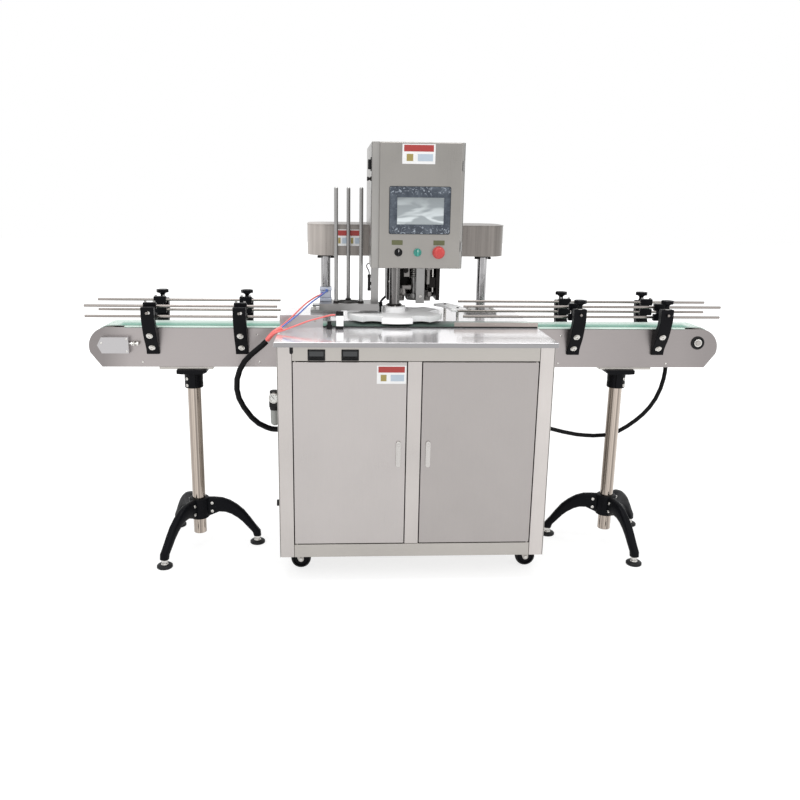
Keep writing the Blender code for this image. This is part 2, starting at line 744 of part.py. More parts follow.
def cabinet_door(name, side):
    """Folded sheet door with a pivot pin at its top and bottom outer corners."""
    left, right = door_edges(side)
    low = CABINET_BOTTOM + TUBE + DOOR_GAP
    high = FASCIA_BOTTOM - DOOR_GAP
    blocks = [(left, right, FRONT, FRONT + DOOR_DEPTH, low, high)]
    pivot = door_pivot(side)
    pocket_left, pocket_right = left + DOOR_SHEET, right - DOOR_SHEET
    if side < 0:
        pocket_left = left + 2 * DOOR_PIN_INSET
    else:
        pocket_right = right - 2 * DOOR_PIN_INSET
    voids = [
        (pocket_left, pocket_right, FRONT + DOOR_SHEET, FRONT + DOOR_DEPTH, low + DOOR_SHEET, high - DOOR_SHEET)
    ]
    door = object_from_bmesh(name, grid_solid(blocks, voids), steel(name + "_steel"), pivot)
    reach = DOOR_GAP - CLEAR
    pin_low = rod(DOOR_PIN_RADIUS, low - reach, low + reach, pivot[:2], steps=SMALL_ROUND)
    pin_high = rod(DOOR_PIN_RADIUS, high - reach, high + reach, pivot[:2], steps=SMALL_ROUND)
    join(door, pin_low, pin_high)
    return door


def door_lever(name, side):
    """Turning latch lever on the inner edge of a cabinet door."""
    left, right = door_edges(side)
    x = right - LEVER_FROM_DOOR_EDGE if side < 0 else left + LEVER_FROM_DOOR_EDGE
    half = LEVER_WIDTH / 2
    top = LEVER_PIVOT_HEIGHT + LEVER_ABOVE_PIVOT
    bottom = top - LEVER_LENGTH
    outline = arc((x, top - half), half, 0, 180, 6) + arc((x, bottom + half), half, 180, 360, 6)
    back = FRONT - CLEAR
    shape = prism(outline, back - LEVER_DEPTH, back, "Y")
    return object_from_bmesh(name, shape, black_plastic(name + "_plastic"), (x, back, LEVER_PIVOT_HEIGHT))


def speed_meter(name, x):
    """Panel meter: a bezel on the fascia and a body in its cut-out."""
    z = METER_CENTRE_HEIGHT
    face = FRONT - CLEAR
    w, h = METER_WIDTH / 2, METER_HEIGHT / 2
    bw, bh = w - METER_BODY_INSET, h - METER_BODY_INSET
    blocks = [
        (x - w, x + w, face - METER_BEZEL, face, z - h, z + h),
        (x - bw, x + bw, face, FRONT + METER_BODY_DEPTH, z - bh, z + bh),
    ]
    return object_from_bmesh(name, grid_solid(blocks), black_plastic(name + "_plastic"))


def caster_places():
    """Name and pivot of each caster."""
    x = HALF_CABINET - CASTER_INSET
    front = FRONT + CASTER_FRONT_SETBACK
    rear = BACK - CASTER_FRONT_SETBACK
    z = CABINET_BOTTOM - CLEAR
    return (
        ("front_left", (-x, front, z)),
        ("front_right", (x, front, z)),
        ("rear_left", (-x, rear, z)),
        ("rear_right", (x, rear, z)),
    )


def caster_fork(name, pivot):
    """Swivel fork: top plate, two legs and the axle."""
    x, y, top = pivot
    plate = CASTER_PLATE / 2
    leg_inner = WHEEL_WIDTH / 2 + CASTER_LEG_GAP
    leg_outer = leg_inner + CASTER_LEG_THICK
    axle_x = x + CASTER_TRAIL
    low = WHEEL_RADIUS - CASTER_LEG_WIDTH / 2
    blocks = [(x - plate, x + plate, y - plate, y + plate, top - CASTER_PLATE_THICK, top)]
    for side in (-1, 1):
        y0, y1 = sorted((y + side * leg_inner, y + side * leg_outer))
        blocks.append((axle_x - CASTER_LEG_WIDTH / 2, axle_x + CASTER_LEG_WIDTH / 2, y0, y1, low, top))
    fork = object_from_bmesh(name, grid_solid(blocks), steel(name + "_steel"), pivot)
    middle = leg_inner + CASTER_LEG_THICK / 2
    join(fork, rod(AXLE_RADIUS, y - middle, y + middle, (axle_x, WHEEL_RADIUS), "Y", SMALL_ROUND))
    return fork


def caster_wheel(name, pivot):
    x, y = pivot[0] + CASTER_TRAIL, pivot[1]
    half = WHEEL_WIDTH / 2
    edge = WHEEL_RADIUS - WHEEL_WIDTH / 6
    bore = AXLE_RADIUS + CLEAR
    profile = [
        (bore, y - half),
        (edge, y - half),
        (WHEEL_RADIUS, y - half + WHEEL_WIDTH / 6),
        (WHEEL_RADIUS, y + half - WHEEL_WIDTH / 6),
        (edge, y + half),
        (bore, y + half),
    ]
    shape = lathe(profile, (x, WHEEL_RADIUS), "Y")
    rubber = black_plastic(name + "_rubber")
    return smooth(object_from_bmesh(name, shape, rubber, (x, y, WHEEL_RADIUS)))


# Conveyor


def plate_outline():
    """Side plate: straight top, round noses and slanted lower corners."""
    nose_x = CONVEYOR_HALF - NOSE_RADIUS
    nose_z = CONVEYOR_TOP - NOSE_RADIUS
    foot_x = CONVEYOR_HALF - NOSE_FOOT_INSET
    right = arc((nose_x, nose_z), NOSE_RADIUS, -18, 90, 10)
    left = [(-x, z) for x, z in reversed(right)]
    return [(foot_x, CONVEYOR_BOTTOM)] + right + left + [(-foot_x, CONVEYOR_BOTTOM)]


def knob_shape(x, y):
    """Clamping knob on top of an arm's head: stem and round grip."""
    grip_low = KNOB_TOP - KNOB_THICK
    profile = [
        (0, ARM_HEAD_TOP - CLEAR),
        (KNOB_STEM_RADIUS, ARM_HEAD_TOP - CLEAR),
        (KNOB_STEM_RADIUS, grip_low),
        (KNOB_RADIUS, grip_low + KNOB_THICK / 3),
        (KNOB_RADIUS, KNOB_TOP - KNOB_THICK / 4),
        (KNOB_RADIUS * 0.8, KNOB_TOP),
        (0, KNOB_TOP),
    ]
    return lathe(profile, (x, y), "Z", SMALL_ROUND)


def conveyor_plate(name, side):
    """Side plate with its bolted bracket arms; side is -1 for the front plate."""
    if side < 0:
        inner, outer = PLATE_FRONT + CONVEYOR_SHEET, PLATE_FRONT
    else:
        inner, outer = PLATE_BACK - CONVEYOR_SHEET, PLATE_BACK
    low, high = min(inner, outer), max(inner, outer)
    plate = object_from_bmesh(name, prism(plate_outline(), low, high, "Y"), steel(name + "_steel"))
    for x in (-ROLLER_X, ROLLER_X):
        hole = rod(SHAFT_RADIUS + CLEAR, low - SHAFT_OVERHANG, high + SHAFT_OVERHANG, (x, ROLLER_HEIGHT), "Y")
        cut(plate, hole)
    root = outer - side * CONVEYOR_SHEET / 2
    outline = [(root, ARM_BOTTOM)] + [(outer + side * out, CONVEYOR_TOP + rise) for out, rise in ARM_PROFILE]
    outline.append((root, CONVEYOR_TOP + ARM_PROFILE[-1][1] - CONVEYOR_SHEET))
    head = outer + side * ARM_HEAD_MIDDLE
    for x in (-ARM_X[1], -ARM_X[0], ARM_X[0], ARM_X[1]):
        join(plate, prism(outline, x - ARM_WIDTH / 2, x + ARM_WIDTH / 2, "X"))
        pin_hole = rod(PIN_RADIUS + CLEAR, head - ARM_OUT / 2, head + ARM_OUT / 2, (x, PIN_HEIGHT), "Y", SMALL_ROUND)
        cut(plate, pin_hole)
        if side > 0 or x > 0:
            join(plate, knob_shape(x, head))
    return plate


def guide_rail(name, side, left):
    """Two guide rods with two clamp blocks on cross pins, one solid that slides in and out."""
    face = PLATE_FRONT if side < 0 else PLATE_BACK
    rod_y = face + side * (LEFT_RAIL_OUT if left else RIGHT_RAIL_OUT)[0 if side < 0 else 1]
    pin_far = face + side * (ARM_OUT + PIN_PAST_HEAD)
    if left:
        start, end = -CONVEYOR_HALF, LEFT_RAIL_END
        arms = [-ARM_X[1], -ARM_X[0]]
    else:
        start, end = RIGHT_RAIL_START, CONVEYOR_HALF
        arms = [ARM_X[0], ARM_X[1]]
    half_w, half_d = CLAMP_WIDTH / 2, CLAMP_DEPTH / 2
    low = ROD_LOWER - ROD_RADIUS - CLAMP_OVER
    high = ROD_UPPER + ROD_RADIUS + CLAMP_OVER
    pivot = (arms[0], rod_y, PIN_HEIGHT)
    upper = rod(ROD_RADIUS, start, end, (rod_y, ROD_UPPER), "X", SMALL_ROUND)
    rail = object_from_bmesh(name, upper, bright_steel(name + "_steel"), pivot)
    for x in arms:
        join(rail, grid_solid([(x - half_w, x + half_w, rod_y - half_d, rod_y + half_d, low, high)]))
        pin_low, pin_high = min(rod_y, pin_far), max(rod_y, pin_far)
        join(rail, rod(PIN_RADIUS, pin_low, pin_high, (x, PIN_HEIGHT), "Y", SMALL_ROUND))
    join(rail, rod(ROD_RADIUS, start, end, (rod_y, ROD_LOWER), "X", SMALL_ROUND))
    return rail


def conveyor_belt():
    """Endless belt round the two rollers."""
    inner = BELT_OUTER - BELT_THICK

    def loop(radius):
        right = arc((ROLLER_X, ROLLER_HEIGHT), radius, -90, 90, 24)
        left = arc((-ROLLER_X, ROLLER_HEIGHT), radius, 90, 270, 24)
        return right + left

    low, high = LANE_Y - BELT_WIDTH / 2, LANE_Y + BELT_WIDTH / 2
    shape = bmesh.new()
    rings = []
    for radius, y in ((BELT_OUTER, low), (BELT_OUTER, high), (inner, high), (inner, low)):
        rings.append([shape.verts.new((x, y, z)) for x, z in loop(radius)])
    for first, second in zip(rings, rings[1:] + rings[:1]):
        for i in range(len(first)):
            j = (i + 1) % len(first)
            shape.faces.new((first[i], first[j], second[j], second[i]))
    return object_from_bmesh("conveyor_belt", shape, material("belt_green", GREEN, 0.5, 0.0))


def conveyor_bed():
    """Slider bed under the belt's upper run: a folded sheet between the side plates."""
    half = ROLLER_X - ROLLER_RADIUS - BED_END_GAP
    low_y = PLATE_FRONT + CONVEYOR_SHEET + CLEAR
    high_y = PLATE_BACK - CONVEYOR_SHEET - CLEAR
    top = BELT_TOP - BELT_THICK - CLEAR
    blocks = [
        (-half, half, low_y, high_y, top - BED_SHEET, top),
        (-half, half, low_y, low_y + BED_SHEET, top - BED_SKIRT, top),
        (-half, half, high_y - BED_SHEET, high_y, top - BED_SKIRT, top),
    ]
    return object_from_bmesh("conveyor_bed", grid_solid(blocks), steel("bed_steel"))


def roller(name, x):
    """End roller with its shaft running in both side plates."""
    half = ROLLER_WIDTH / 2
    ends = (PLATE_FRONT - SHAFT_OVERHANG, PLATE_BACK + SHAFT_OVERHANG)
    profile = [
        (0, ends[0]),
        (SHAFT_RADIUS, ends[0]),
        (SHAFT_RADIUS, LANE_Y - half),
        (ROLLER_RADIUS, LANE_Y - half),
        (ROLLER_RADIUS, LANE_Y + half),
        (SHAFT_RADIUS, LANE_Y + half),
        (SHAFT_RADIUS, ends[1]),
        (0, ends[1]),
    ]
    shape = lathe(profile, (x, ROLLER_HEIGHT), "Y")
    return smooth(object_from_bmesh(name, shape, steel(name + "_steel"), (x, LANE_Y, ROLLER_HEIGHT)))


def tail_cover():
    """Small cover with a pointed end over the tail shaft's bearing."""
    back = PLATE_FRONT - CLEAR
    front = back - COVER_DEPTH
    tip = -ROLLER_X - COVER_TIP_SHIFT
    low, high = ROLLER_HEIGHT - COVER_HEIGHT * 0.68, ROLLER_HEIGHT + COVER_HEIGHT * 0.32

    def outline(inset):
        return [
            (tip + 1.4 * inset, (low + high) / 2),
            (tip + COVER_POINT + inset, high - inset),
            (tip + COVER_LENGTH - inset, high - inset),
            (tip + COVER_LENGTH - inset, low + inset),
            (tip + COVER_POINT + inset, low + inset),
        ]

    cover = object_from_bmesh("tail_cover", prism(outline(0.0), front, back, "Y"), bright_steel("cover_steel"))
    cut(cover, prism(outline(COVER_WALL), front + COVER_WALL, back + COVER_WALL, "Y"))
    return cover


# Stands


def stand_pole(name, x):
    """Tube with the flange, clamp collar and saddle plate that carry the conveyor."""
    y = STAND_Y
    saddle_top = CONVEYOR_BOTTOM - CLEAR
    saddle_low = saddle_top - SADDLE_THICK
    inner = POLE_RADIUS - POLE_WALL
    profile = [
        (0, COLLAR_BOTTOM),
        (inner, COLLAR_BOTTOM),
        (inner, POLE_BOTTOM),
        (POLE_RADIUS, POLE_BOTTOM),
        (POLE_RADIUS, COLLAR_BOTTOM),
        (COLLAR_RADIUS, COLLAR_BOTTOM),
        (COLLAR_RADIUS, saddle_low),
        (0, saddle_low),
    ]
    pole = object_from_bmesh(name, lathe(profile, (x, y)), steel(name + "_steel"), (x, y, POLE_BOTTOM))
    middle = x + math.copysign(SADDLE_SHIFT, x)
    saddle = (middle - SADDLE_LENGTH / 2, middle + SADDLE_LENGTH / 2, PLATE_FRONT, PLATE_BACK,
              saddle_low - CLEAR, saddle_top)
    flange = (x - FLANGE_LENGTH / 2, x + FLANGE_LENGTH / 2, y - FLANGE_WIDTH / 2, y + FLANGE_WIDTH / 2,
              saddle_low - FLANGE_THICK, saddle_low)
    join(pole, grid_solid([flange]))
    join(pole, grid_solid([saddle]))
    return smooth(pole)


def leg_outline():
    """Arched cast leg, seen from the side, from the hub to the foot."""
    reach = LEG_REACH
    end = reach + LEG_WIDTH / 2
    top = [
        (HUB_RADIUS * 0.8, HUB_TOP),
        (reach * 0.40, HUB_TOP - 0.004),
        (reach * 0.66, HUB_TOP - 0.038),
        (reach * 0.88, HUB_TOP - 0.094),
        (end, HUB_TOP - 0.152),
        (end, HUB_TOP - 0.172),
    ]
    bottom = [
        (reach - LEG_WIDTH / 2, HUB_TOP - 0.172),
        (reach * 0.84, HUB_TOP - 0.136),
        (reach * 0.70, HUB_TOP - 0.100),
        (reach * 0.50, HUB_TOP - 0.070),
        (reach * 0.34, HUB_TOP - 0.062),
        (HUB_RADIUS * 0.8, HUB_BOTTOM),
    ]
    return top + bottom


def stand_base(name, x, first_angle):
    """Cast hub with three arched legs, each on a levelling foot."""
    y = STAND_Y
    bore = POLE_RADIUS + CLEAR
    profile = [(bore, HUB_BOTTOM), (HUB_RADIUS, HUB_BOTTOM), (HUB_RADIUS, HUB_TOP), (bore, HUB_TOP)]
    hub = lathe(profile, (x, y))
    base = object_from_bmesh(name, hub, black_plastic(name + "_iron"), (x, y, 0.0))
    stud_top = HUB_TOP - 0.160
    for i in range(3):
        turn = Matrix.Rotation(math.radians(first_angle + 120 * i), 4, "Z")
        leg = prism(leg_outline(), -LEG_WIDTH / 2, LEG_WIDTH / 2, "Y")
        bmesh.ops.transform(leg, matrix=Matrix.Translation((x, y, 0)) @ turn, verts=leg.verts)
        join(base, leg)
        place = (Matrix.Translation((x, y, 0)) @ turn) @ Vector((LEG_REACH, 0, 0))
        foot = [
            (0, 0),
            (FOOT_RADIUS, 0),
            (FOOT_RADIUS, FOOT_THICK * 0.6),
            (STUD_RADIUS, FOOT_THICK),
            (STUD_RADIUS, stud_top),
            (0, stud_top),
        ]
        join(base, lathe(foot, (place.x, place.y), "Z", SMALL_ROUND))
    return base


# Head


def head_beam():
    """Gear casing across the top, open on top under the motor casing."""
    outer = rounded_rectangle(BEAM_LEFT, BEAM_RIGHT, BEAM_FRONT, BEAM_BACK, BEAM_CORNER)
    wall = BEAM_WALL
    inner = rounded_rectangle(
        BEAM_LEFT + wall, BEAM_RIGHT - wall, BEAM_FRONT + wall, BEAM_BACK - wall, BEAM_CORNER - wall
    )
    beam = object_from_bmesh("head_beam", prism(outer, BEAM_BOTTOM, BEAM_TOP), steel("beam_steel"))
    cut(beam, prism(inner, BEAM_BOTTOM + wall, BEAM_TOP - wall))
    middle_x = (BOX_LEFT + BOX_RIGHT) / 2
    middle_y = (BEAM_FRONT + BEAM_BACK) / 2
    half = BEAM_PORT / 2
    port = [(middle_x - half, middle_x + half, middle_y - half, middle_y + half,
             BEAM_TOP - 2 * wall, BEAM_TOP + wall)]
    cut(beam, grid_solid(port))
    return smooth(beam, 20)


def column(name, x):
    """Round column from the table to the beam, with its foot plate and top collar."""
    y = BACK - COLUMN_FROM_BACK
    low = TABLE_HEIGHT + CLEAR
    high = BEAM_BOTTOM - CLEAR
    collar_low = high - COLLAR_PLATE_THICK
    profile = [
        (0, low),
        (COLUMN_RADIUS, low),
        (COLUMN_RADIUS, collar_low),
        (COLLAR_PLATE_RADIUS, collar_low),
        (COLLAR_PLATE_RADIUS, high),
        (0, high),
    ]
    made = object_from_bmesh(name, lathe(profile, (x, y)), bright_steel(name + "_steel"))
    foot = (x - COLUMN_FOOT_X / 2, x + COLUMN_FOOT_X / 2, y - COLUMN_FOOT_Y / 2, y + COLUMN_FOOT_Y / 2,
            low, low + COLUMN_FOOT_THICK)
    join(made, grid_solid([foot]))
    return smooth(made)


def control_box():
    """Sheet enclosure hung on the beam's front, open at the front behind its door."""
    back = BEAM_FRONT - CLEAR
    w = BOX_WALL
    m = BOX_OPENING_MARGIN
    blocks = [(BOX_LEFT, BOX_RIGHT, BOX_FRONT, back, BOX_BOTTOM, BOX_TOP)]
    voids = [
        (BOX_LEFT + w, BOX_RIGHT - w, BOX_FRONT + w, back - w, BOX_BOTTOM + w, BOX_TOP - w),
        (BOX_DOOR_LEFT + m, BOX_DOOR_RIGHT - m, BOX_FRONT, BOX_FRONT + 2 * w, BOX_BOTTOM + m, BOX_TOP - m),
    ]
    return object_from_bmesh("control_box", grid_solid(blocks, voids), steel("box_steel"))


def box_door_pivot():
    return (BOX_DOOR_RIGHT + HINGE_OFFSET, BOX_FRONT - CLEAR - HINGE_RADIUS, BOX_BOTTOM)


def control_door():
    """Folded door of the control box with cut-outs and two hinge knuckles at its right edge."""
    low, high = BOX_BOTTOM + BOX_DOOR_MARGIN, BOX_TOP - BOX_DOOR_MARGIN
    front, back = BOX_DOOR_FRONT, BOX_FRONT - CLEAR
    w = BOX_DOOR_WALL
    pivot = box_door_pivot()
    blocks = [(BOX_DOOR_LEFT, BOX_DOOR_RIGHT, front, back, low, high)]
    for z in HINGE_HEIGHTS:
        blocks.append((BOX_DOOR_RIGHT, pivot[0], pivot[1] - w / 2, pivot[1] + w / 2,
                       z - HINGE_LENGTH / 2, z + HINGE_LENGTH / 2))
    half_w = SCREEN_WIDTH / 2 - SCREEN_BODY_MARGIN + CLEAR
    half_h = SCREEN_HEIGHT / 2 - SCREEN_BODY_MARGIN + CLEAR
    voids = [
        (BOX_DOOR_LEFT + w, BOX_DOOR_RIGHT - w, front + w, back, low + w, high - w),
        (SCREEN_X - half_w, SCREEN_X + half_w, front, back, SCREEN_Z - half_h, SCREEN_Z + half_h),
    ]
    door = object_from_bmesh("control_door", grid_solid(blocks, voids), steel("door_steel"), pivot)
    for z in HINGE_HEIGHTS:
        join(door, rod(HINGE_RADIUS, z - HINGE_LENGTH / 2, z + HINGE_LENGTH / 2, pivot[:2], steps=SMALL_ROUND))
    for x in (SELECTOR_X, START_X, STOP_X):
        hole = rod(SWITCH_HOLE_RADIUS + CLEAR, front - w, back + w, (x, SWITCH_Z), "Y", SMALL_ROUND)
        cut(door, hole)
    return door


def touch_screen():
    """Operator panel: bezel on the door's face and body through its cut-out."""
    face = BOX_DOOR_FRONT - CLEAR
    w, h = SCREEN_WIDTH / 2, SCREEN_HEIGHT / 2
    bw, bh = w - SCREEN_BODY_MARGIN, h - SCREEN_BODY_MARGIN
    blocks = [
        (SCREEN_X - w, SCREEN_X + w, face - SCREEN_BEZEL, face, SCREEN_Z - h, SCREEN_Z + h),
        (SCREEN_X - bw, SCREEN_X + bw, face, face + SCREEN_BODY_DEPTH, SCREEN_Z - bh, SCREEN_Z + bh),
    ]
    finish = material("screen_glass", GLASS_GREY, 0.15, 0.0)
    return object_from_bmesh("touch_screen", grid_solid(blocks), finish)


def switch_profile(face, head):
    """Switch turned about Y: front head, ring on the door, stem through it and rear nut."""
    door_back = BOX_DOOR_FRONT + BOX_DOOR_WALL + CLEAR
    return head + [
        (SWITCH_RING_RADIUS, face),
        (SWITCH_HOLE_RADIUS, face),
        (SWITCH_HOLE_RADIUS, door_back),
        (SWITCH_NUT_RADIUS, door_back),
        (SWITCH_NUT_RADIUS, door_back + SWITCH_NUT_THICK),
        (SWITCH_HOLE_RADIUS, door_back + SWITCH_NUT_THICK),
        (SWITCH_HOLE_RADIUS, face + SWITCH_BACK),
        (0, face + SWITCH_BACK),
    ]


def turn_switch(name, x, finish):
    """Rotary switch with a raised grip."""
    face = BOX_DOOR_FRONT - CLEAR
    ring = face - SWITCH_RING_THICK
    head = [(0, ring), (SWITCH_RING_RADIUS, ring)]
    shape = lathe(switch_profile(face, head), (x, SWITCH_Z), "Y", SMALL_ROUND)
    switch = object_from_bmesh(name, shape, finish, (x, face, SWITCH_Z))
    half = SWITCH_RING_RADIUS * 0.3
    reach = SWITCH_RING_RADIUS * 0.85
    grip = [(x - half, x + half, ring - SWITCH_GRIP, ring + CLEAR, SWITCH_Z - reach, SWITCH_Z + reach)]
    return smooth(join(switch, grid_solid(grip)))


def emergency_stop():
    """Mushroom button that is pushed in against its spring; its nut keeps the travel free."""
    face = BOX_DOOR_FRONT - CLEAR
    stem = SWITCH_HOLE_RADIUS
    head_back = face - STOP_STANDOFF
    head_front = head_back - STOP_HEAD_THICK
    door_back = BOX_DOOR_FRONT + BOX_DOOR_WALL + CLEAR
    nut_front = door_back
    profile = [
        (0, head_front),
        (STOP_HEAD_RADIUS * 0.7, head_front),
        (STOP_HEAD_RADIUS, head_front + STOP_HEAD_THICK * 0.4),
        (STOP_HEAD_RADIUS, head_back),
        (stem, head_back),
        (stem, nut_front),
        (SWITCH_NUT_RADIUS, nut_front),
        (SWITCH_NUT_RADIUS, nut_front + SWITCH_NUT_THICK),
        (stem, nut_front + SWITCH_NUT_THICK),
        (stem, face + SWITCH_BACK),
        (0, face + SWITCH_BACK),
    ]
    shape = lathe(profile, (STOP_X, SWITCH_Z), "Y")
    red = material("stop_red", RED, 0.35, 0.0)
    return smooth(object_from_bmesh("emergency_stop", shape, red, (STOP_X, face, SWITCH_Z)))


def motor_casing():
    """Cover of the head motor on top of the beam, open below."""
    low = BEAM_TOP + CLEAR
    w = BOX_WALL
    front = BEAM_FRONT + CLEAR
    blocks = [(BOX_LEFT, BOX_RIGHT, front, BEAM_BACK, low, BOX_TOP)]
    voids = [(BOX_LEFT + w, BOX_RIGHT - w, front + w, BEAM_BACK - w, low, BOX_TOP - w)]
    return object_from_bmesh("motor_casing", grid_solid(blocks, voids), steel("casing_steel"))


# Star wheel, seaming station and lid magazine


def star_outline():
    """Star wheel with round pockets between wide lobes; lobes point to -90 degrees and so on."""
    step = 360 / POCKETS
    reach = (STAR_PITCH ** 2 + STAR_RADIUS ** 2 - POCKET_RADIUS ** 2) / (2 * STAR_PITCH * STAR_RADIUS)
    half_mouth = math.degrees(math.acos(reach))
    outline = []
    for i in range(POCKETS):
        middle = -90 + i * step
        outline += arc((STAR_X, STAR_Y), STAR_RADIUS, middle - step / 2 + half_mouth,
                       middle + step / 2 - half_mouth, 6)
        pocket = math.radians(middle + step / 2)
        centre = (STAR_X + STAR_PITCH * math.cos(pocket), STAR_Y + STAR_PITCH * math.sin(pocket))
        tip = outline[-1]
        start = math.degrees(math.atan2(tip[1] - centre[1], tip[0] - centre[0]))
        towards_hub = middle + step / 2 + 180
        half_sweep = (towards_hub - start) % 360
        if half_sweep > 180:
            half_sweep -= 360
        sweep = arc(centre, POCKET_RADIUS, start, start + 2 * half_sweep, 12)
        outline += sweep[1:-1]
    return outline


def star_wheel():
    """White plastic star with its hub boss."""
    top = STAR_BOTTOM + STAR_THICK
    pivot = (STAR_X, STAR_Y, STAR_BOTTOM)
    white = material("star_plastic", WHITE, 0.4, 0.0)
    star = object_from_bmesh("star_wheel", prism(star_outline(), STAR_BOTTOM, top), white, pivot)
    join(star, rod(STAR_BOSS_RADIUS, top - CLEAR, STAR_BOSS_TOP, (STAR_X, STAR_Y)))
    cut(star, rod(STAR_SHAFT_RADIUS + CLEAR, STAR_BOTTOM - STAR_THICK, STAR_BOSS_TOP + STAR_THICK, (STAR_X, STAR_Y)))
    return star


def star_shaft():
    """Star shaft: journal through the table, column up to the box and collar below the table."""
    collar_top = TABLE_HEIGHT - TABLE_SHEET - CLEAR
    collar_low = collar_top - STAR_COLLAR_THICK
    high = BOX_BOTTOM - CLEAR
    column_low = STAR_BOSS_TOP + CLEAR
    profile = [
        (0, collar_low),
        (STAR_COLLAR_RADIUS, collar_low),
        (STAR_COLLAR_RADIUS, collar_top),
        (STAR_SHAFT_RADIUS, collar_top),
        (STAR_SHAFT_RADIUS, column_low),
        (STAR_COLUMN_RADIUS, column_low),
        (STAR_COLUMN_RADIUS, high),
        (0, high),
    ]
    shape = lathe(profile, (STAR_X, STAR_Y))
    finish = bright_steel("star_shaft_steel")
    return smooth(object_from_bmesh("star_shaft", shape, finish, (STAR_X, STAR_Y, collar_low)))


def lifter_plate():
    """Lifter under the seaming station, level with the table at rest."""
    low = LIFTER_TOP - LIFTER_THICK
    profile = [
        (0, LIFTER_STEM_BOTTOM),
        (LIFTER_STEM_RADIUS, LIFTER_STEM_BOTTOM),
        (LIFTER_STEM_RADIUS, low),
        (LIFTER_RADIUS, low),
        (LIFTER_RADIUS, LIFTER_TOP),
        (0, LIFTER_TOP),
    ]
    shape = lathe(profile, (SEAM_X, SEAM_Y))
    finish = bright_steel("lifter_steel")
    return smooth(object_from_bmesh("lifter_plate", shape, finish, (SEAM_X, SEAM_Y, LIFTER_TOP)))


def seaming_frame():
    """Bridge under the beam that carries the spindle and the roller arms."""
    middle_x, middle_y = SEAM_X + SEAMER_SHIFT[0], SEAM_Y + SEAMER_SHIFT[1]
    left, right = middle_x - SEAMER_WIDTH / 2, middle_x + SEAMER_WIDTH / 2
    front, back = middle_y - SEAMER_DEPTH / 2, middle_y + SEAMER_DEPTH / 2
    top = BEAM_BOTTOM - CLEAR
    w = SEAMER_WALL
    bar_left = SEAM_X + SEAMER_BAR_SHIFT - SEAMER_BAR_WIDTH / 2
    bar_right = bar_left + SEAMER_BAR_WIDTH
    blocks = [
        (left, right, front, back, top - w, top),
        (left, left + w, front, back, SEAMER_LEG_BOTTOM, top),
        (right - w, right, front, back, SEAMER_LEG_BOTTOM, top),
        (left, right, back - w, back, SEAMER_LEG_BOTTOM, top),
        (bar_left, bar_right, front - w, front, SEAMER_BAR_BOTTOM, top),
    ]
    frame = object_from_bmesh("seaming_frame", grid_solid(blocks), material("seamer_iron", DARK_STEEL, 0.45, 0.8))
    cut(frame, rod(SPINDLE_RADIUS + CLEAR, top - 2 * w, top + w, (SEAM_X, SEAM_Y)))
    return frame


def seaming_spindle():
    """Spindle with the seaming chuck at its lower end."""
    high = BEAM_BOTTOM - CLEAR
    lip = CHUCK_RADIUS * 0.86
    profile = [
        (0, CHUCK_BOTTOM),
        (lip, CHUCK_BOTTOM),
        (CHUCK_RADIUS, CHUCK_BOTTOM + (CHUCK_TOP - CHUCK_BOTTOM) / 3),
        (CHUCK_RADIUS, CHUCK_TOP),
        (SPINDLE_RADIUS, CHUCK_TOP),
        (SPINDLE_RADIUS, high),
        (0, high),
    ]
    shape = lathe(profile, (SEAM_X, SEAM_Y))
    finish = bright_steel("spindle_steel")
    return smooth(object_from_bmesh("seaming_spindle", shape, finish, (SEAM_X, SEAM_Y, CHUCK_BOTTOM)))


def roller_arm(name, side):
    """Seaming roller on its arm, hung from a pivot pin under the bridge."""
    away = CHUCK_RADIUS + ROLLER_HEAD_RADIUS + ROLLER_HEAD_GAP
    roller_at = Vector((SEAM_X + side * away, SEAM_Y))
    pivot_at = roller_at + Vector((side * ARM_PIVOT_OUT, ARM_PIVOT_BACK))
    pin_top = BEAM_BOTTOM - 2 * CLEAR - SEAMER_WALL
    bar_low = ROLLER_HEAD_TOP - CLEAR
    bar_high = bar_low + ARM_BAR_THICK
    pivot = (pivot_at.x, pivot_at.y, bar_low)
    pin = rod(ARM_PIVOT_RADIUS, bar_low, pin_top, pivot_at, "Z", SMALL_ROUND)
    arm = object_from_bmesh(name, pin, bright_steel(name + "_steel"), pivot)
    along = (roller_at - pivot_at).normalized()
    across = Vector((-along.y, along.x)) * ARM_BAR_WIDTH / 2
    start = pivot_at - along * ARM_BAR_WIDTH / 2
    end = roller_at + along * ARM_BAR_WIDTH / 4
    outline = [start + across, start - across, end - across, end + across]
    join(arm, prism(outline, bar_low, bar_high))
    join(arm, rod(ROLLER_HEAD_RADIUS, ROLLER_HEAD_BOTTOM, ROLLER_HEAD_TOP, roller_at))
    return arm


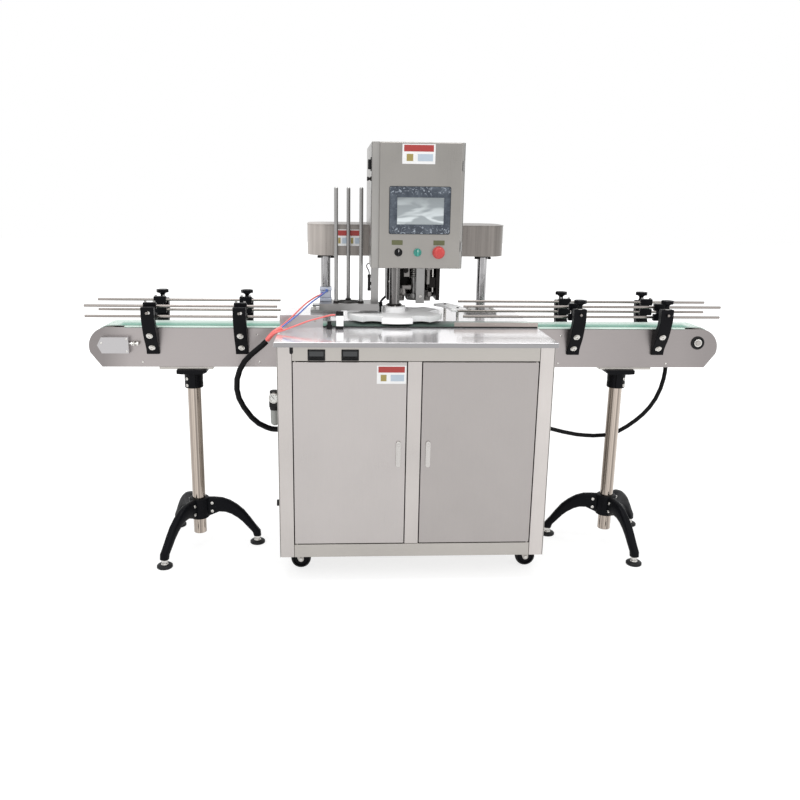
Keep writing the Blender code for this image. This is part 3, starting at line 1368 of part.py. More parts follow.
def lid_magazine():
    """Lid block on its hanger post, with the three rods that hold the stack of lids."""
    half = MAGAZINE_DEPTH / 2
    hanger_left = MAGAZINE_RIGHT - HANGER_WIDTH
    blocks = [
        (MAGAZINE_LEFT, MAGAZINE_RIGHT, STAR_Y - half, STAR_Y + half, MAGAZINE_BOTTOM, MAGAZINE_TOP),
        (hanger_left, MAGAZINE_RIGHT, STAR_Y, STAR_Y + HANGER_DEPTH, MAGAZINE_BOTTOM, BOX_BOTTOM - CLEAR),
    ]
    slot_half = PUSHER_WIDTH / 2 + CLEAR
    voids = [
        (MAGAZINE_LEFT, MAGAZINE_X, STAR_Y - slot_half, STAR_Y + slot_half,
         PUSHER_BOTTOM - CLEAR, PUSHER_BOTTOM + PUSHER_THICK + CLEAR)
    ]
    magazine = object_from_bmesh("lid_magazine", grid_solid(blocks, voids), steel("magazine_steel"))
    hole = rod(LID_HOLE_RADIUS, MAGAZINE_BOTTOM - BOX_WALL, MAGAZINE_TOP + BOX_WALL, (MAGAZINE_X, STAR_Y))
    cut(magazine, hole)
    for angle in (90, 210, 330):
        turn = math.radians(angle)
        place = (MAGAZINE_X + LID_ROD_CIRCLE * math.cos(turn), STAR_Y + LID_ROD_CIRCLE * math.sin(turn))
        dome = LID_ROD_TOP - LID_ROD_RADIUS / 2
        profile = [
            (0, MAGAZINE_TOP - BOX_WALL),
            (LID_ROD_RADIUS, MAGAZINE_TOP - BOX_WALL),
            (LID_ROD_RADIUS, dome),
            (LID_ROD_RADIUS * 0.6, LID_ROD_TOP),
            (0, LID_ROD_TOP),
        ]
        join(magazine, lathe(profile, place, "Z", SMALL_ROUND))
    return magazine


def lid_pusher():
    """Plate that slides in the magazine block and frees one lid at a time."""
    half = PUSHER_WIDTH / 2
    left = MAGAZINE_LEFT - PUSHER_OUT
    right = MAGAZINE_X - LID_HOLE_RADIUS - PUSHER_REST_GAP
    block = (left, right, STAR_Y - half, STAR_Y + half, PUSHER_BOTTOM, PUSHER_BOTTOM + PUSHER_THICK)
    finish = bright_steel("pusher_steel")
    return object_from_bmesh("lid_pusher", grid_solid([block]), finish, (left, STAR_Y, PUSHER_BOTTOM))


def pusher_cylinder():
    """Air cylinder on the magazine block with its two blue fittings."""
    low = MAGAZINE_TOP + CLEAR
    high = low + CYLINDER_HEIGHT
    left = MAGAZINE_LEFT
    y = STAR_Y + CYLINDER_DEPTH / 2
    block = (left, left + CYLINDER_WIDTH, y - CYLINDER_DEPTH / 2, y + CYLINDER_DEPTH / 2, low, high)
    finish = material("cylinder_aluminium", BRIGHT_STEEL, 0.4, 1.0)
    cylinder = object_from_bmesh("pusher_cylinder", grid_solid([block]), finish)
    front = y - CYLINDER_DEPTH / 2
    for route in (BLUE_TUBE_ROUTE, RED_TUBE_ROUTE):
        x, tube_end, z = route[-1]
        join(cylinder, rod(FITTING_RADIUS, tube_end + CLEAR, front + CLEAR, (x, z), "Y", SMALL_ROUND))
    return cylinder


def outfeed_guide():
    """White curved guide outside the can path, on two posts."""
    inner = arc((STAR_X, STAR_Y), GUIDE_RADIUS, GUIDE_START, GUIDE_END, 12)
    outer = arc((STAR_X, STAR_Y), GUIDE_RADIUS + GUIDE_WIDTH, GUIDE_END, GUIDE_START, 12)
    white = material("guide_plastic", WHITE, 0.4, 0.0)
    shape = prism(inner + outer, GUIDE_BOTTOM, GUIDE_BOTTOM + GUIDE_THICK)
    guide = object_from_bmesh("outfeed_guide", shape, white)
    middle = GUIDE_RADIUS + GUIDE_WIDTH / 2
    for angle in GUIDE_POST_ANGLES:
        turn = math.radians(angle)
        place = (STAR_X + middle * math.cos(turn), STAR_Y + middle * math.sin(turn))
        post = rod(GUIDE_POST_RADIUS, TABLE_HEIGHT + CLEAR, GUIDE_BOTTOM + GUIDE_THICK / 2, place, "Z", SMALL_ROUND)
        join(guide, post)
    return guide


def filter_regulator():
    """Air filter and regulator on the cabinet's left side: body, bowl and gauge."""
    right = -(HALF_CABINET + SKIN_SHEET + 2 * CLEAR)
    left = right - FILTER_BODY
    y = FRONT + FILTER_SETBACK
    half = FILTER_BODY / 2
    low = FILTER_TOP - FILTER_BODY_HEIGHT
    finish = black_plastic("filter_plastic")
    block = (left, right, y - half, y + half, low, FILTER_TOP)
    made = object_from_bmesh("filter_regulator", grid_solid([block]), finish)
    middle = (left + right) / 2
    join(made, rod(BOWL_RADIUS, BOWL_BOTTOM, low + CLEAR, (middle, y), "Z", SMALL_ROUND))
    gauge_front = y - half - GAUGE_THICK
    join(made, rod(GAUGE_RADIUS, gauge_front, y - half + CLEAR, (middle, GAUGE_HEIGHT), "Y", SMALL_ROUND))
    return made


# Conduits and air tubes: routes chosen by hand, in metres, with heights from the table

SIDE_OUT = HALF_CABINET + SKIN_SHEET + CLEAR + GLAND_LENGTH + CLEAR
CONDUIT_START_Y = PLATE_BACK - CONVEYOR_SHEET - CLEAR
FITTING_END_Y = STAR_Y - FITTING_LENGTH - CLEAR
SENSOR_Y = SLOT_FRONT - SENSOR_SETBACK


def at_table(points):
    """Route whose heights are counted from the table."""
    return [(x, y, TABLE_HEIGHT + rise) for x, y, rise in points]


LEFT_CONDUIT_ROUTE = at_table([
    (-0.5308, -0.262, -0.0261),
    (-0.5453, -0.264, -0.0400),
    (-0.5640, -0.265, -0.0555),
    (-0.5880, -0.265, -0.0755),
    (-0.6110, -0.264, -0.1000),
    (-0.6290, -0.262, -0.1310),
    (-0.6405, -0.259, -0.1670),
    (-0.6430, -0.254, -0.2050),
    (-0.6370, -0.248, -0.2410),
    (-0.6215, -0.240, -0.2770),
    (-0.5950, -0.228, -0.3200),
    (-0.5700, -0.218, -0.3470),
    (-0.5420, -0.208, -0.3650),
    (-0.5250, -0.203, -0.3725),
    (-0.5120, -0.202, -0.3745),
    (-SIDE_OUT, -0.202, -0.3745),
])
RIGHT_CONDUIT_ROUTE = at_table([
    (1.0600, CONDUIT_START_Y, -0.1400),
    (1.0600, 0.0320, -0.1400),
    (1.0595, 0.0140, -0.1500),
    (1.0585, 0.0030, -0.1700),
    (1.0570, 0.0000, -0.1950),
    (1.0540, 0.0000, -0.2250),
    (1.0455, 0.0000, -0.2650),
    (1.0289, 0.0000, -0.3085),
    (1.0066, 0.0000, -0.3455),
    (0.9817, 0.0000, -0.3755),
    (0.9528, 0.0000, -0.4020),
    (0.9198, 0.0000, -0.4270),
    (0.8863, 0.0000, -0.4470),
    (0.8553, 0.0000, -0.4590),
    (0.8219, 0.0000, -0.4650),
    (0.7814, 0.0000, -0.4670),
    (0.7104, 0.0000, -0.4615),
    (0.6531, 0.0000, -0.4500),
    (0.6030, 0.0000, -0.4370),
    (0.5500, 0.0000, -0.4245),
    (0.5250, 0.0000, -0.4198),
    (0.5120, 0.0000, -0.4190),
    (SIDE_OUT, 0.0000, -0.4190),
])
BLUE_TUBE_ROUTE = at_table([
    (-0.5308, -0.262, -0.0249),
    (-0.5181, -0.260, -0.0088),
    (-0.5007, -0.252, 0.0077),
    (-0.4800, -0.235, 0.0188),
    (-0.4498, -0.190, 0.0370),
    (-0.4180, -0.130, 0.0560),
    (-0.3970, -0.080, 0.0710),
    (-0.3739, -0.030, 0.0856),
    (-0.3450, 0.020, 0.1010),
    (-0.3260, 0.050, 0.1125),
    (-0.3182, 0.064, 0.1165),
    (-0.3182, FITTING_END_Y, 0.1165),
])
RED_TUBE_ROUTE = at_table([
    (-0.5308, -0.2550, -0.0258),
    (-0.5185, -0.2525, -0.0088),
    (-0.5050, -0.2430, 0.0060),
    (-0.4880, -0.2260, 0.0165),
    (-0.4700, -0.1960, 0.0280),
    (-0.4370, -0.1400, 0.0520),
    (-0.4050, -0.0700, 0.0770),
    (-0.3780, -0.0100, 0.0915),
    (-0.3560, 0.0350, 0.1000),
    (-0.3400, 0.0540, 0.1040),
    (-0.3358, 0.0640, 0.1050),
    (-0.3358, FITTING_END_Y, 0.1050),
])
SENSOR_TUBE_ROUTE = at_table([
    (-0.5308, -0.2690, -0.0238),
    (-0.5181, -0.2680, -0.0095),
    (-0.4990, -0.2610, 0.0050),
    (-0.4780, -0.2470, 0.0090),
    (-0.4564, -0.2300, 0.0145),
    (-0.4085, -0.2000, 0.0285),
    (-0.3761, -0.1780, 0.0370),
    (-0.3162, -0.1560, 0.0500),
    (-0.2960, SENSOR_Y, 0.0540),
    (SENSOR_LEFT - CLEAR, SENSOR_Y, 0.0540),
])


def smooth_route(points, step):
    """Points about one step apart on a Catmull-Rom curve through the route's own points."""
    vectors = [Vector(point) for point in points]
    padded = [2 * vectors[0] - vectors[1]] + vectors + [2 * vectors[-1] - vectors[-2]]
    fine = []
    for i in range(1, len(padded) - 2):
        p0, p1, p2, p3 = padded[i - 1:i + 3]
        count = max(1, round((p2 - p1).length / step))
        for j in range(count):
            t = j / count
            fine.append(0.5 * (2 * p1 + (p2 - p0) * t + (2 * p0 - 5 * p1 + 4 * p2 - p3) * t * t
                               + (3 * p1 - p0 - 3 * p2 + p3) * t ** 3))
    fine.append(vectors[-1])
    return fine


def cord(name, route, radius, finish):
    """Round cord along a route, as a bevelled curve with filled caps."""
    points = smooth_route(route, CORD_STEP * 2 * radius)
    curve = bpy.data.curves.new(name, "CURVE")
    curve.dimensions = "3D"
    curve.bevel_depth = radius
    curve.bevel_resolution = 2
    curve.use_fill_caps = True
    curve.render_resolution_u = 0
    spline = curve.splines.new("POLY")
    spline.points.add(len(points) - 1)
    for target, point in zip(spline.points, points):
        target.co = (point.x, point.y, point.z, 1.0)
    curve.materials.append(finish)
    made = bpy.data.objects.new(name, curve)
    bpy.context.scene.collection.objects.link(made)
    return made


# Assembly


def build_cabinet():
    cabinet_frame()
    cabinet_skin()
    table_front()
    table_rear()
    for name, side in (("left_door", -1), ("right_door", 1)):
        cabinet_door(name, side)
        door_lever(name + "_lever", side)
    for name, x in zip(("left_speed_meter", "right_speed_meter"), METER_X):
        speed_meter(name, x)
    for place, pivot in caster_places():
        caster_fork("caster_fork_" + place, pivot)
        caster_wheel("caster_wheel_" + place, pivot)
    filter_regulator()


def build_conveyor():
    conveyor_plate("front_conveyor_plate", -1)
    conveyor_plate("rear_conveyor_plate", 1)
    conveyor_belt()
    conveyor_bed()
    roller("tail_roller", -ROLLER_X)
    roller("drive_roller", ROLLER_X)
    tail_cover()
    for side, depth in ((-1, "front"), (1, "rear")):
        guide_rail("left_" + depth + "_rail", side, True)
        guide_rail("right_" + depth + "_rail", side, False)
    for name, x, angle in (("left", -STAND_X, LEFT_LEG_ANGLE), ("right", STAND_X, RIGHT_LEG_ANGLE)):
        stand_pole(name + "_stand_pole", x)
        stand_base(name + "_stand_base", x, angle)


def build_head():
    head_beam()
    column("left_column", COLUMN_X[0])
    column("right_column", COLUMN_X[1])
    control_box()
    control_door()
    touch_screen()
    turn_switch("selector_switch", SELECTOR_X, black_plastic("selector_plastic"))
    turn_switch("start_switch", START_X, material("start_teal", TEAL, 0.4, 0.0))
    emergency_stop()
    motor_casing()


def build_stations():
    star_wheel()
    star_shaft()
    lifter_plate()
    seaming_frame()
    seaming_spindle()
    roller_arm("first_roller_arm", -1)
    roller_arm("second_roller_arm", 1)
    lid_magazine()
    lid_pusher()
    pusher_cylinder()
    outfeed_guide()


def build_cords():
    cord("left_conduit", LEFT_CONDUIT_ROUTE, LEFT_CONDUIT_RADIUS, black_plastic("left_conduit_rubber"))
    cord("right_conduit", RIGHT_CONDUIT_ROUTE, RIGHT_CONDUIT_RADIUS, black_plastic("right_conduit_rubber"))
    cord("blue_air_tube", BLUE_TUBE_ROUTE, AIR_TUBE_RADIUS, material("blue_tube", BLUE, 0.3, 0.0))
    cord("red_air_tube", RED_TUBE_ROUTE, AIR_TUBE_RADIUS, material("red_tube", RED, 0.3, 0.0))
    cord("sensor_air_tube", SENSOR_TUBE_ROUTE, AIR_TUBE_RADIUS, material("sensor_tube", RED, 0.3, 0.0))


def main():
    clear_scene()
    build_cabinet()
    build_conveyor()
    build_head()
    build_stations()
    build_cords()


main()
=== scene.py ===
"""Can seaming machine with its belt conveyor: the looks of every visible piece.

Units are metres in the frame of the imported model. X runs along the conveyor,
Y runs away from the operator and Z is up from the floor.
"""

import logging
import math
from dataclasses import dataclass, field
from enum import Enum
from typing import Any, Sequence

import bmesh
import bpy
from mathutils import Matrix, Vector


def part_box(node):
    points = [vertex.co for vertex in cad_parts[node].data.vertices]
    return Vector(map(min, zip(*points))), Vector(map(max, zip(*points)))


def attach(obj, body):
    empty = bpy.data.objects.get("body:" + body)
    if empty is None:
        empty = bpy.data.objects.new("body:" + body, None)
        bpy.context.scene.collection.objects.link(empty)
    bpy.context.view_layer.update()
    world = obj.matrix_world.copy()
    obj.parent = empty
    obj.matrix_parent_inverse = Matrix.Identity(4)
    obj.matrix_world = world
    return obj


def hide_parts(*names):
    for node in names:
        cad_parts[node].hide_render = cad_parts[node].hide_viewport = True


LOG = logging.getLogger("can_seaming_machine")
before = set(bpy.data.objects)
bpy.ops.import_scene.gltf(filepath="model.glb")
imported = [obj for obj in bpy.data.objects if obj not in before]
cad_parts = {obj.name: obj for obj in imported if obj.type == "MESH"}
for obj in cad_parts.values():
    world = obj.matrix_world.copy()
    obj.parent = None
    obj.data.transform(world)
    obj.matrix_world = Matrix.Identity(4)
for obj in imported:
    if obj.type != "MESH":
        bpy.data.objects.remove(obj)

Pair = tuple[float, float]
Point = tuple[float, float, float]
Colour = tuple[float, float, float, float]
Outline = Sequence[Pair]
Shape = bmesh.types.BMesh
Ring = Sequence[bmesh.types.BMVert]
Tree = bpy.types.NodeTree
Node = bpy.types.Node
Socket = bpy.types.NodeSocket
MM = 0.001
SHARP_EDGE = math.radians(50)
SHARP_CAD_EDGE = math.radians(35)


class Axis(Enum):
    """Direction that a shape is turned about, extruded or brushed along."""

    X = 0
    Y = 1
    Z = 2


class Face(Enum):
    """Face of a folded box, by its outward direction."""

    FRONT = (0, -1, 0)
    BACK = (0, 1, 0)
    BOTTOM = (0, 0, -1)


class Head(Enum):
    """Kind of screw head."""

    SOCKET = "socket"
    DOME = "dome"
    HEXAGON = "hexagon"


# Painted shade and light: an axis, a start, an end, and the share that multiplies the colour beyond the end.
PaintedLight = tuple[tuple[Axis, float, float, float], ...]


# Colours and node trees


def linear(colour: str, share: float = 1.0) -> Colour:
    """Turn an sRGB hex colour to linear values.

    Args:
        colour: Hex colour such as "#c4bfbc".
        share: Factor on the linear values, for a darker or lighter shade.

    Returns:
        Linear red, green, blue and an alpha of one.
    """
    values = []
    for start in (1, 3, 5):
        part = int(colour[start:start + 2], 16) / 255
        value = part / 12.92 if part <= 0.04045 else ((part + 0.055) / 1.055) ** 2.4
        values.append(min(1.0, value * share))
    return (values[0], values[1], values[2], 1.0)


def per_mm(size: float) -> float:
    """Return how often a pattern of this size in millimetres repeats in a metre."""
    return 1 / (size * MM)


def add_node(tree: Tree, kind: str, inputs: dict[str | int, Any] | None = None, **settings: Any) -> Node:
    """Add a shader node with its settings, socket values and links.

    Args:
        tree: Node tree that takes the node.
        kind: Type name of the node after "ShaderNode".
        inputs: Values of its input sockets or sockets that feed them, by name or number.
        **settings: Attributes of the node itself.

    Returns:
        The new node.
    """
    node = tree.nodes.new("ShaderNode" + kind)
    for name, value in settings.items():
        setattr(node, name, value)
    for name, value in (inputs or {}).items():
        if isinstance(value, Socket):
            tree.links.new(value, node.inputs[name])
        else:
            node.inputs[name].default_value = value
    return node


def object_place(tree: Tree) -> Socket:
    """Return a socket with the place on the object."""
    return add_node(tree, "TexCoord").outputs["Object"]


def split(tree: Tree, place: Socket) -> Sequence[Socket]:
    """Return the three sockets of a place's coordinates."""
    return add_node(tree, "SeparateXYZ", {0: place}).outputs


def stretched(tree: Tree, place: Socket, scale: Sequence[float], **more: Any) -> Socket:
    """Return a socket with a place scaled along its axes; more names further inputs."""
    return add_node(tree, "Mapping", {"Vector": place, "Scale": scale, **more}).outputs[0]


def noise(tree: Tree, place: Socket, scale: float, detail: float, **more: float) -> Socket:
    """Add a cloudy pattern.

    Args:
        tree: Node tree that takes the node.
        place: Socket of the place.
        scale: Repeats in a metre.
        detail: Finer layers in it.
        **more: Further input values by name.

    Returns:
        Socket that runs from 0 to 1.
    """
    return add_node(tree, "TexNoise", {"Vector": place, "Scale": scale, "Detail": detail, **more}).outputs[0]


def reach(tree: Tree, value: Socket, start: float, end: float, low: float = 0.0, high: float = 1.0,
          **settings: str) -> Socket:
    """Stretch a stretch of values to another one.

    Args:
        tree: Node tree that takes the node.
        value: Socket of the value.
        start: Value that gives the low result.
        end: Value that gives the high result.
        low: Result at the start.
        high: Result at the end.
        **settings: Attributes of the node.

    Returns:
        Socket of the result.
    """
    inputs = {"Value": value, "From Min": start, "From Max": end, "To Min": low, "To Max": high}
    return add_node(tree, "MapRange", inputs, **settings).outputs[0]


def reckon(tree: Tree, operation: str, *values: Socket | float) -> Socket:
    """Return a socket with the result of an operation on one or two values."""
    return add_node(tree, "Math", dict(enumerate(values)), operation=operation).outputs[0]


def mixed(tree: Tree, share: Socket | float, first: Socket | Colour, second: Socket | Colour,
          blend: str = "MIX") -> Socket:
    """Return a socket with two colours mixed by a share, in a way of blending."""
    return add_node(tree, "Mix", {0: share, 6: first, 7: second}, data_type="RGBA", blend_type=blend).outputs[2]


def averaged(tree: Tree, share: float, first: Socket, second: Socket) -> Socket:
    """Return a socket with two values mixed by a share."""
    return add_node(tree, "Mix", {0: share, 2: first, 3: second}, data_type="FLOAT").outputs[0]


# Finishes


@dataclass(frozen=True)
class Finish:
    """Surface of one real material; its subclasses add what the eye sees in it."""

    name: str
    colour: str
    slot: str = "frame_steel"
    roughness: float = 0.4
    specular: float = 0.5
    # Painted shade and light along the object's axes.
    painted_light: PaintedLight = ()

    def material(self) -> bpy.types.Material:
        """Make the Blender material of this finish, once.

        Returns:
            The material.
        """
        made = bpy.data.materials.get(self.name)
        if made is None:
            made = bpy.data.materials.new(self.name)
            made.use_nodes = True
            shader = made.node_tree.nodes["Principled BSDF"]
            shader.inputs["Roughness"].default_value = self.roughness
            shader.inputs["Specular IOR Level"].default_value = self.specular
            shader.inputs["Base Color"].default_value = linear(self.colour)
            self.dress(made.node_tree, shader)
        return made

    def dress(self, tree: Tree, shader: Node) -> None:
        """Add this finish's patterns to the Principled shader of a material's node tree."""

    def shaded(self, tree: Tree, shader: Node, pattern: Socket, spread: float) -> None:
        """Make the base colour darker and lighter by a share, with a pattern from 0 to 1."""
        colour = mixed(tree, pattern, linear(self.colour, 1 - spread), linear(self.colour, 1 + spread))
        tree.links.new(self.with_painted_light(tree, colour), shader.inputs["Base Color"])

    def with_painted_light(self, tree: Tree, colour: Socket) -> Socket:
        """Darken or lighten a colour, as painted shade and light, towards the ends that the painted light names.

        Args:
            tree: Node tree of the material.
            colour: Socket of the colour.

        Returns:
            Socket of the changed colour.
        """
        if not self.painted_light:
            return colour
        parts = split(tree, object_place(tree))
        for axis, start, end, share in self.painted_light:
            painted_factor = reach(tree, parts[axis.value], start, end, 1.0, share)
            colour = mixed(tree, 1.0, colour, painted_factor, "MULTIPLY")
        return colour

    def roughened(self, tree: Tree, shader: Node, pattern: Socket, spread: float) -> None:
        """Move the roughness each way by a spread, with a pattern from 0 to 1."""
        rough = reach(tree, pattern, 0.3, 0.7, max(0.02, self.roughness - spread), self.roughness + spread)
        tree.links.new(rough, shader.inputs["Roughness"])

    def bumped(self, tree: Tree, shader: Node, pattern: Socket, depth_mm: float, strength: float = 0.5) -> None:
        """Raise and sink the surface by a depth in millimetres, of which a share shows."""
        bump = add_node(tree, "Bump", {"Distance": depth_mm * MM, "Strength": strength, "Height": pattern})
        tree.links.new(bump.outputs[0], shader.inputs["Normal"])


@dataclass(frozen=True)
class BrushedStainless(Finish):
    """Stainless sheet or tube, belt-ground: fine strokes one way and a soft, cloudy sheen.

    The real strokes are about 0.2 mm apart, too fine for the render, so they are drawn coarser.
    """

    roughness: float = 0.34
    metallic: float = 1.0
    bands: float = 0.35
    grain: Axis = Axis.X
    stroke_mm: float = 60.0
    spacing_mm: float = 1.1
    clouds_mm: float = 210.0
    shade: float = 0.07

    def dress(self, tree: Tree, shader: Node) -> None:
        """Add strokes along the grain, clouds and faint rub marks."""
        shader.inputs["Metallic"].default_value = self.metallic
        place = object_place(tree)
        scale = [per_mm(self.spacing_mm)] * 3
        scale[self.grain.value] = per_mm(self.stroke_mm)
        strokes = noise(tree, stretched(tree, place, scale), 1.0, 3.0, Roughness=0.65)
        clouds = noise(tree, place, per_mm(self.clouds_mm), 5.0, Roughness=0.55)
        both = averaged(tree, self.bands, clouds, strokes)
        self.shaded(tree, shader, reach(tree, both, 0.34, 0.66), self.shade)
        self.roughened(tree, shader, both, 0.09)
        self.bumped(tree, shader, strokes, 0.03, 0.25)


@dataclass(frozen=True)
class PolishedSteel(Finish):
    """Ground and polished round bar: drawing lines, and painted reflection streaks round its girth."""

    roughness: float = 0.16
    grain: Axis = Axis.Z
    ring_mm: float = 1.6
    painted_reflection: float = 0.35
    reflection_facets: float = 2.6

    def dress(self, tree: Tree, shader: Node) -> None:
        """Add drawing lines, painted reflection streaks and fingerprints' soft patches."""
        shader.inputs["Metallic"].default_value = 1.0
        place = object_place(tree)
        scale = [per_mm(self.ring_mm)] * 3
        scale[self.grain.value] = per_mm(60 * self.ring_mm)
        lines = noise(tree, stretched(tree, place, scale), 1.0, 2.0)
        patches = noise(tree, place, per_mm(24), 4.0)
        # Painted reflections: the colour follows the way the surface faces, for light and dark streaks round the bar.
        facing = add_node(tree, "NewGeometry").outputs["Normal"]
        girth = noise(tree, facing, self.reflection_facets, 3.0, Roughness=0.6)
        both = averaged(tree, 0.15, reach(tree, girth, 0.36, 0.62), lines)
        self.shaded(tree, shader, both, self.painted_reflection)
        self.roughened(tree, shader, patches, 0.06)


@dataclass(frozen=True)
class CastIron(Finish):
    """Painted or blackened iron: sand-cast skin under a satin coat, rubbed lighter in places."""

    roughness: float = 0.42
    metallic: float = 0.0
    sand_mm: float = 1.5

    def dress(self, tree: Tree, shader: Node) -> None:
        """Add the sand grain, broad unevenness and rubbed patches."""
        shader.inputs["Metallic"].default_value = self.metallic
        place = object_place(tree)
        sand = noise(tree, place, per_mm(self.sand_mm), 3.0)
        broad = noise(tree, place, per_mm(35), 4.0)
        self.shaded(tree, shader, broad, 0.3)
        self.roughened(tree, shader, broad, 0.1)
        self.bumped(tree, shader, sand, 0.15)


@dataclass(frozen=True)
class MouldedPlastic(Finish):
    """Injection-moulded plastic such as nylon or ABS: spark-eroded texture and an even, soft gloss."""

    slot: str = "black_plastic"
    roughness: float = 0.45
    texture_mm: float = 0.9
    depth_mm: float = 0.05

    def dress(self, tree: Tree, shader: Node) -> None:
        """Add the mould's texture and slight flow clouds."""
        shader.inputs["IOR"].default_value = 1.5
        place = object_place(tree)
        texture = noise(tree, place, per_mm(self.texture_mm), 2.0)
        flow = noise(tree, place, per_mm(30), 3.0)
        self.shaded(tree, shader, flow, 0.06)
        self.roughened(tree, shader, flow, 0.07)
        self.bumped(tree, shader, texture, self.depth_mm)


@dataclass(frozen=True)
class MilledPolyethylene(Finish):
    """White polyethylene cut on a mill: fine arcs of the cutter and a waxy surface."""

    slot: str = "white_plastic"
    roughness: float = 0.38
    pass_mm: float = 2.5

    def dress(self, tree: Tree, shader: Node) -> None:
        """Add the cutter's passes and a few handling marks."""
        place = object_place(tree)
        passes = add_node(
            tree, "TexWave", {"Scale": per_mm(6.3 * self.pass_mm), "Distortion": 1.5, "Detail": 1.0, "Vector": place},
            wave_type="RINGS", rings_direction="Z",
        )
        marks = noise(tree, place, per_mm(18), 5.0)
        self.shaded(tree, shader, marks, 0.04)
        self.roughened(tree, shader, marks, 0.08)
        self.bumped(tree, shader, passes.outputs[0], 0.02, 0.3)


@dataclass(frozen=True)
class BeltCover(Finish):
    """Green PVC cover of a conveyor belt, calendered over cloth; painted pale sheen on its far half and ends."""

    slot: str = "belt_green"
    roughness: float = 0.5
    cloth_mm: float = 2.2
    # Colour of the painted sheen on the far half and the ends.
    pale: str = "#bccbc4"
    sheen_from: float = -0.070
    sheen_to: float = 0.012

    def dress(self, tree: Tree, shader: Node) -> None:
        """Add the cloth's relief, running marks along the belt and the painted pale sheen."""
        place = object_place(tree)
        cloth = add_node(tree, "TexChecker", {"Scale": per_mm(self.cloth_mm), "Vector": place})
        marks = noise(tree, stretched(tree, place, (per_mm(300), per_mm(7), per_mm(300))), 1.0, 4.0)
        parts = split(tree, place)
        # Painted sheen: paler towards the far side, and towards the ends where the belt turns.
        far = reach(tree, parts[1], self.sheen_from, self.sheen_to, interpolation_type="SMOOTHSTEP")
        ends = reach(tree, reckon(tree, "ABSOLUTE", parts[0]), 1.085, 1.105)
        tint = mixed(tree, reckon(tree, "MAXIMUM", far, ends), linear(self.colour), linear(self.pale))
        worn = mixed(tree, 1.0, tint, reach(tree, marks, 0.3, 0.7, 0.9, 1.08), "MULTIPLY")
        tree.links.new(self.with_painted_light(tree, worn), shader.inputs["Base Color"])
        self.roughened(tree, shader, marks, 0.08)
        self.bumped(tree, shader, cloth.outputs[1], 0.03, 0.3)


@dataclass(frozen=True)
class WheelRubber(Finish):
    """Black tyre rubber: dull, with dust in its skin."""

    roughness: float = 0.62

    def dress(self, tree: Tree, shader: Node) -> None:
        """Add dust patches and a fine skin."""
        dust = noise(tree, object_place(tree), per_mm(9), 6.0)
        self.shaded(tree, shader, dust, 0.35)
        self.bumped(tree, shader, dust, 0.1)


@dataclass(frozen=True)
class CrinkledFilm(Finish):
    """Dark glass frame under its protective film: painted highlights on the wrinkles above and below the display."""

    slot: str = "screen_grey"
    roughness: float = 0.16
    painted_glint: str = "#98a0aa"
    # Colour of the painted broad sheen.
    sheen: str = "#4b535d"
    wrinkle_mm: float = 15.0
    middle: float = 1.3365
    calm: float = 0.052

    def dress(self, tree: Tree, shader: Node) -> None:
        """Add the film's painted broad sheen, and the wrinkles as relief and as painted highlight streaks."""
        place = object_place(tree)
        folds = noise(tree, place, per_mm(self.wrinkle_mm), 3.0, Roughness=0.62, Distortion=1.7)
        away = reckon(tree, "ABSOLUTE", reckon(tree, "SUBTRACT", split(tree, place)[2], self.middle))
        # Painted highlights only above and below the display, faint at its sides.
        edge = reach(tree, away, self.calm, self.calm + 0.016, 0.12, 1.0)
        share = reckon(tree, "MULTIPLY", reach(tree, folds, 0.56, 0.64), edge)
        lift = reach(tree, noise(tree, place, per_mm(45), 2.0), 0.45, 0.68)
        ground = mixed(tree, lift, linear(self.colour), linear(self.sheen))
        tree.links.new(mixed(tree, share, ground, linear(self.painted_glint)), shader.inputs["Base Color"])
        self.bumped(tree, shader, folds, 0.5, 0.35)


@dataclass(frozen=True)
class DisplayPane(Finish):
    """Unlit display under film: a grey pane, painted shade at its top, painted gleams across its lower half."""

    slot: str = "screen_grey"
    roughness: float = 0.2
    # Colour of the painted gleam.
    gleam: str = "#cdd4d6"
    low: float = 1.2995
    high: float = 1.3835

    def dress(self, tree: Tree, shader: Node) -> None:
        """Add the painted shade at the top and the painted gleam as slow changes of colour."""
        place = object_place(tree)
        height = split(tree, place)[2]
        along = stretched(tree, place, (9.0, 1.0, 34.0), Rotation=(0.0, 0.25, 0.0))
        wave = noise(tree, along, 1.0, 1.5, Distortion=0.9)
        # Painted light: the gleam fades and the painted shade grows towards the top.
        fall = reach(tree, height, self.low, self.high, 1.0, 0.1)
        share = reckon(tree, "MULTIPLY", reach(tree, wave, 0.47, 0.66, interpolation_type="SMOOTHSTEP"), fall)
        dark = reckon(tree, "SUBTRACT", 1.0, fall)
        ground = mixed(tree, dark, linear(self.colour), linear(self.colour, 0.68))
        tree.links.new(mixed(tree, share, ground, linear(self.gleam)), shader.inputs["Base Color"])
        self.bumped(tree, shader, wave, 0.6, 0.3)


# Painted shadow on the belt and its wear strips: darkest under the star wheel, half dark further right, full colour
# again beyond x 0.47.
LANE_PAINTED_SHADOW = ((Axis.X, -0.34, -0.30, 0.16), (Axis.X, 0.13, 0.19, 3.2), (Axis.X, 0.42, 0.47, 1.95))
# Painted shade on the conveyor's side plates: the right half and both round ends darker.
PLATE_PAINTED_SHADE = ((Axis.X, 0.45, 0.90, 0.80), (Axis.X, 1.06, 1.17, 0.88), (Axis.X, -1.06, -1.16, 0.66))
# Painted light: the right posts lighter.
TUBE_STEEL = BrushedStainless("satin_stainless_square_tube", "#bcb7b4", grain=Axis.Z,
                              painted_light=((Axis.X, 0.40, 0.45, 1.12),))
RAIL_STEEL = BrushedStainless("satin_stainless_rail", "#b0aca7")
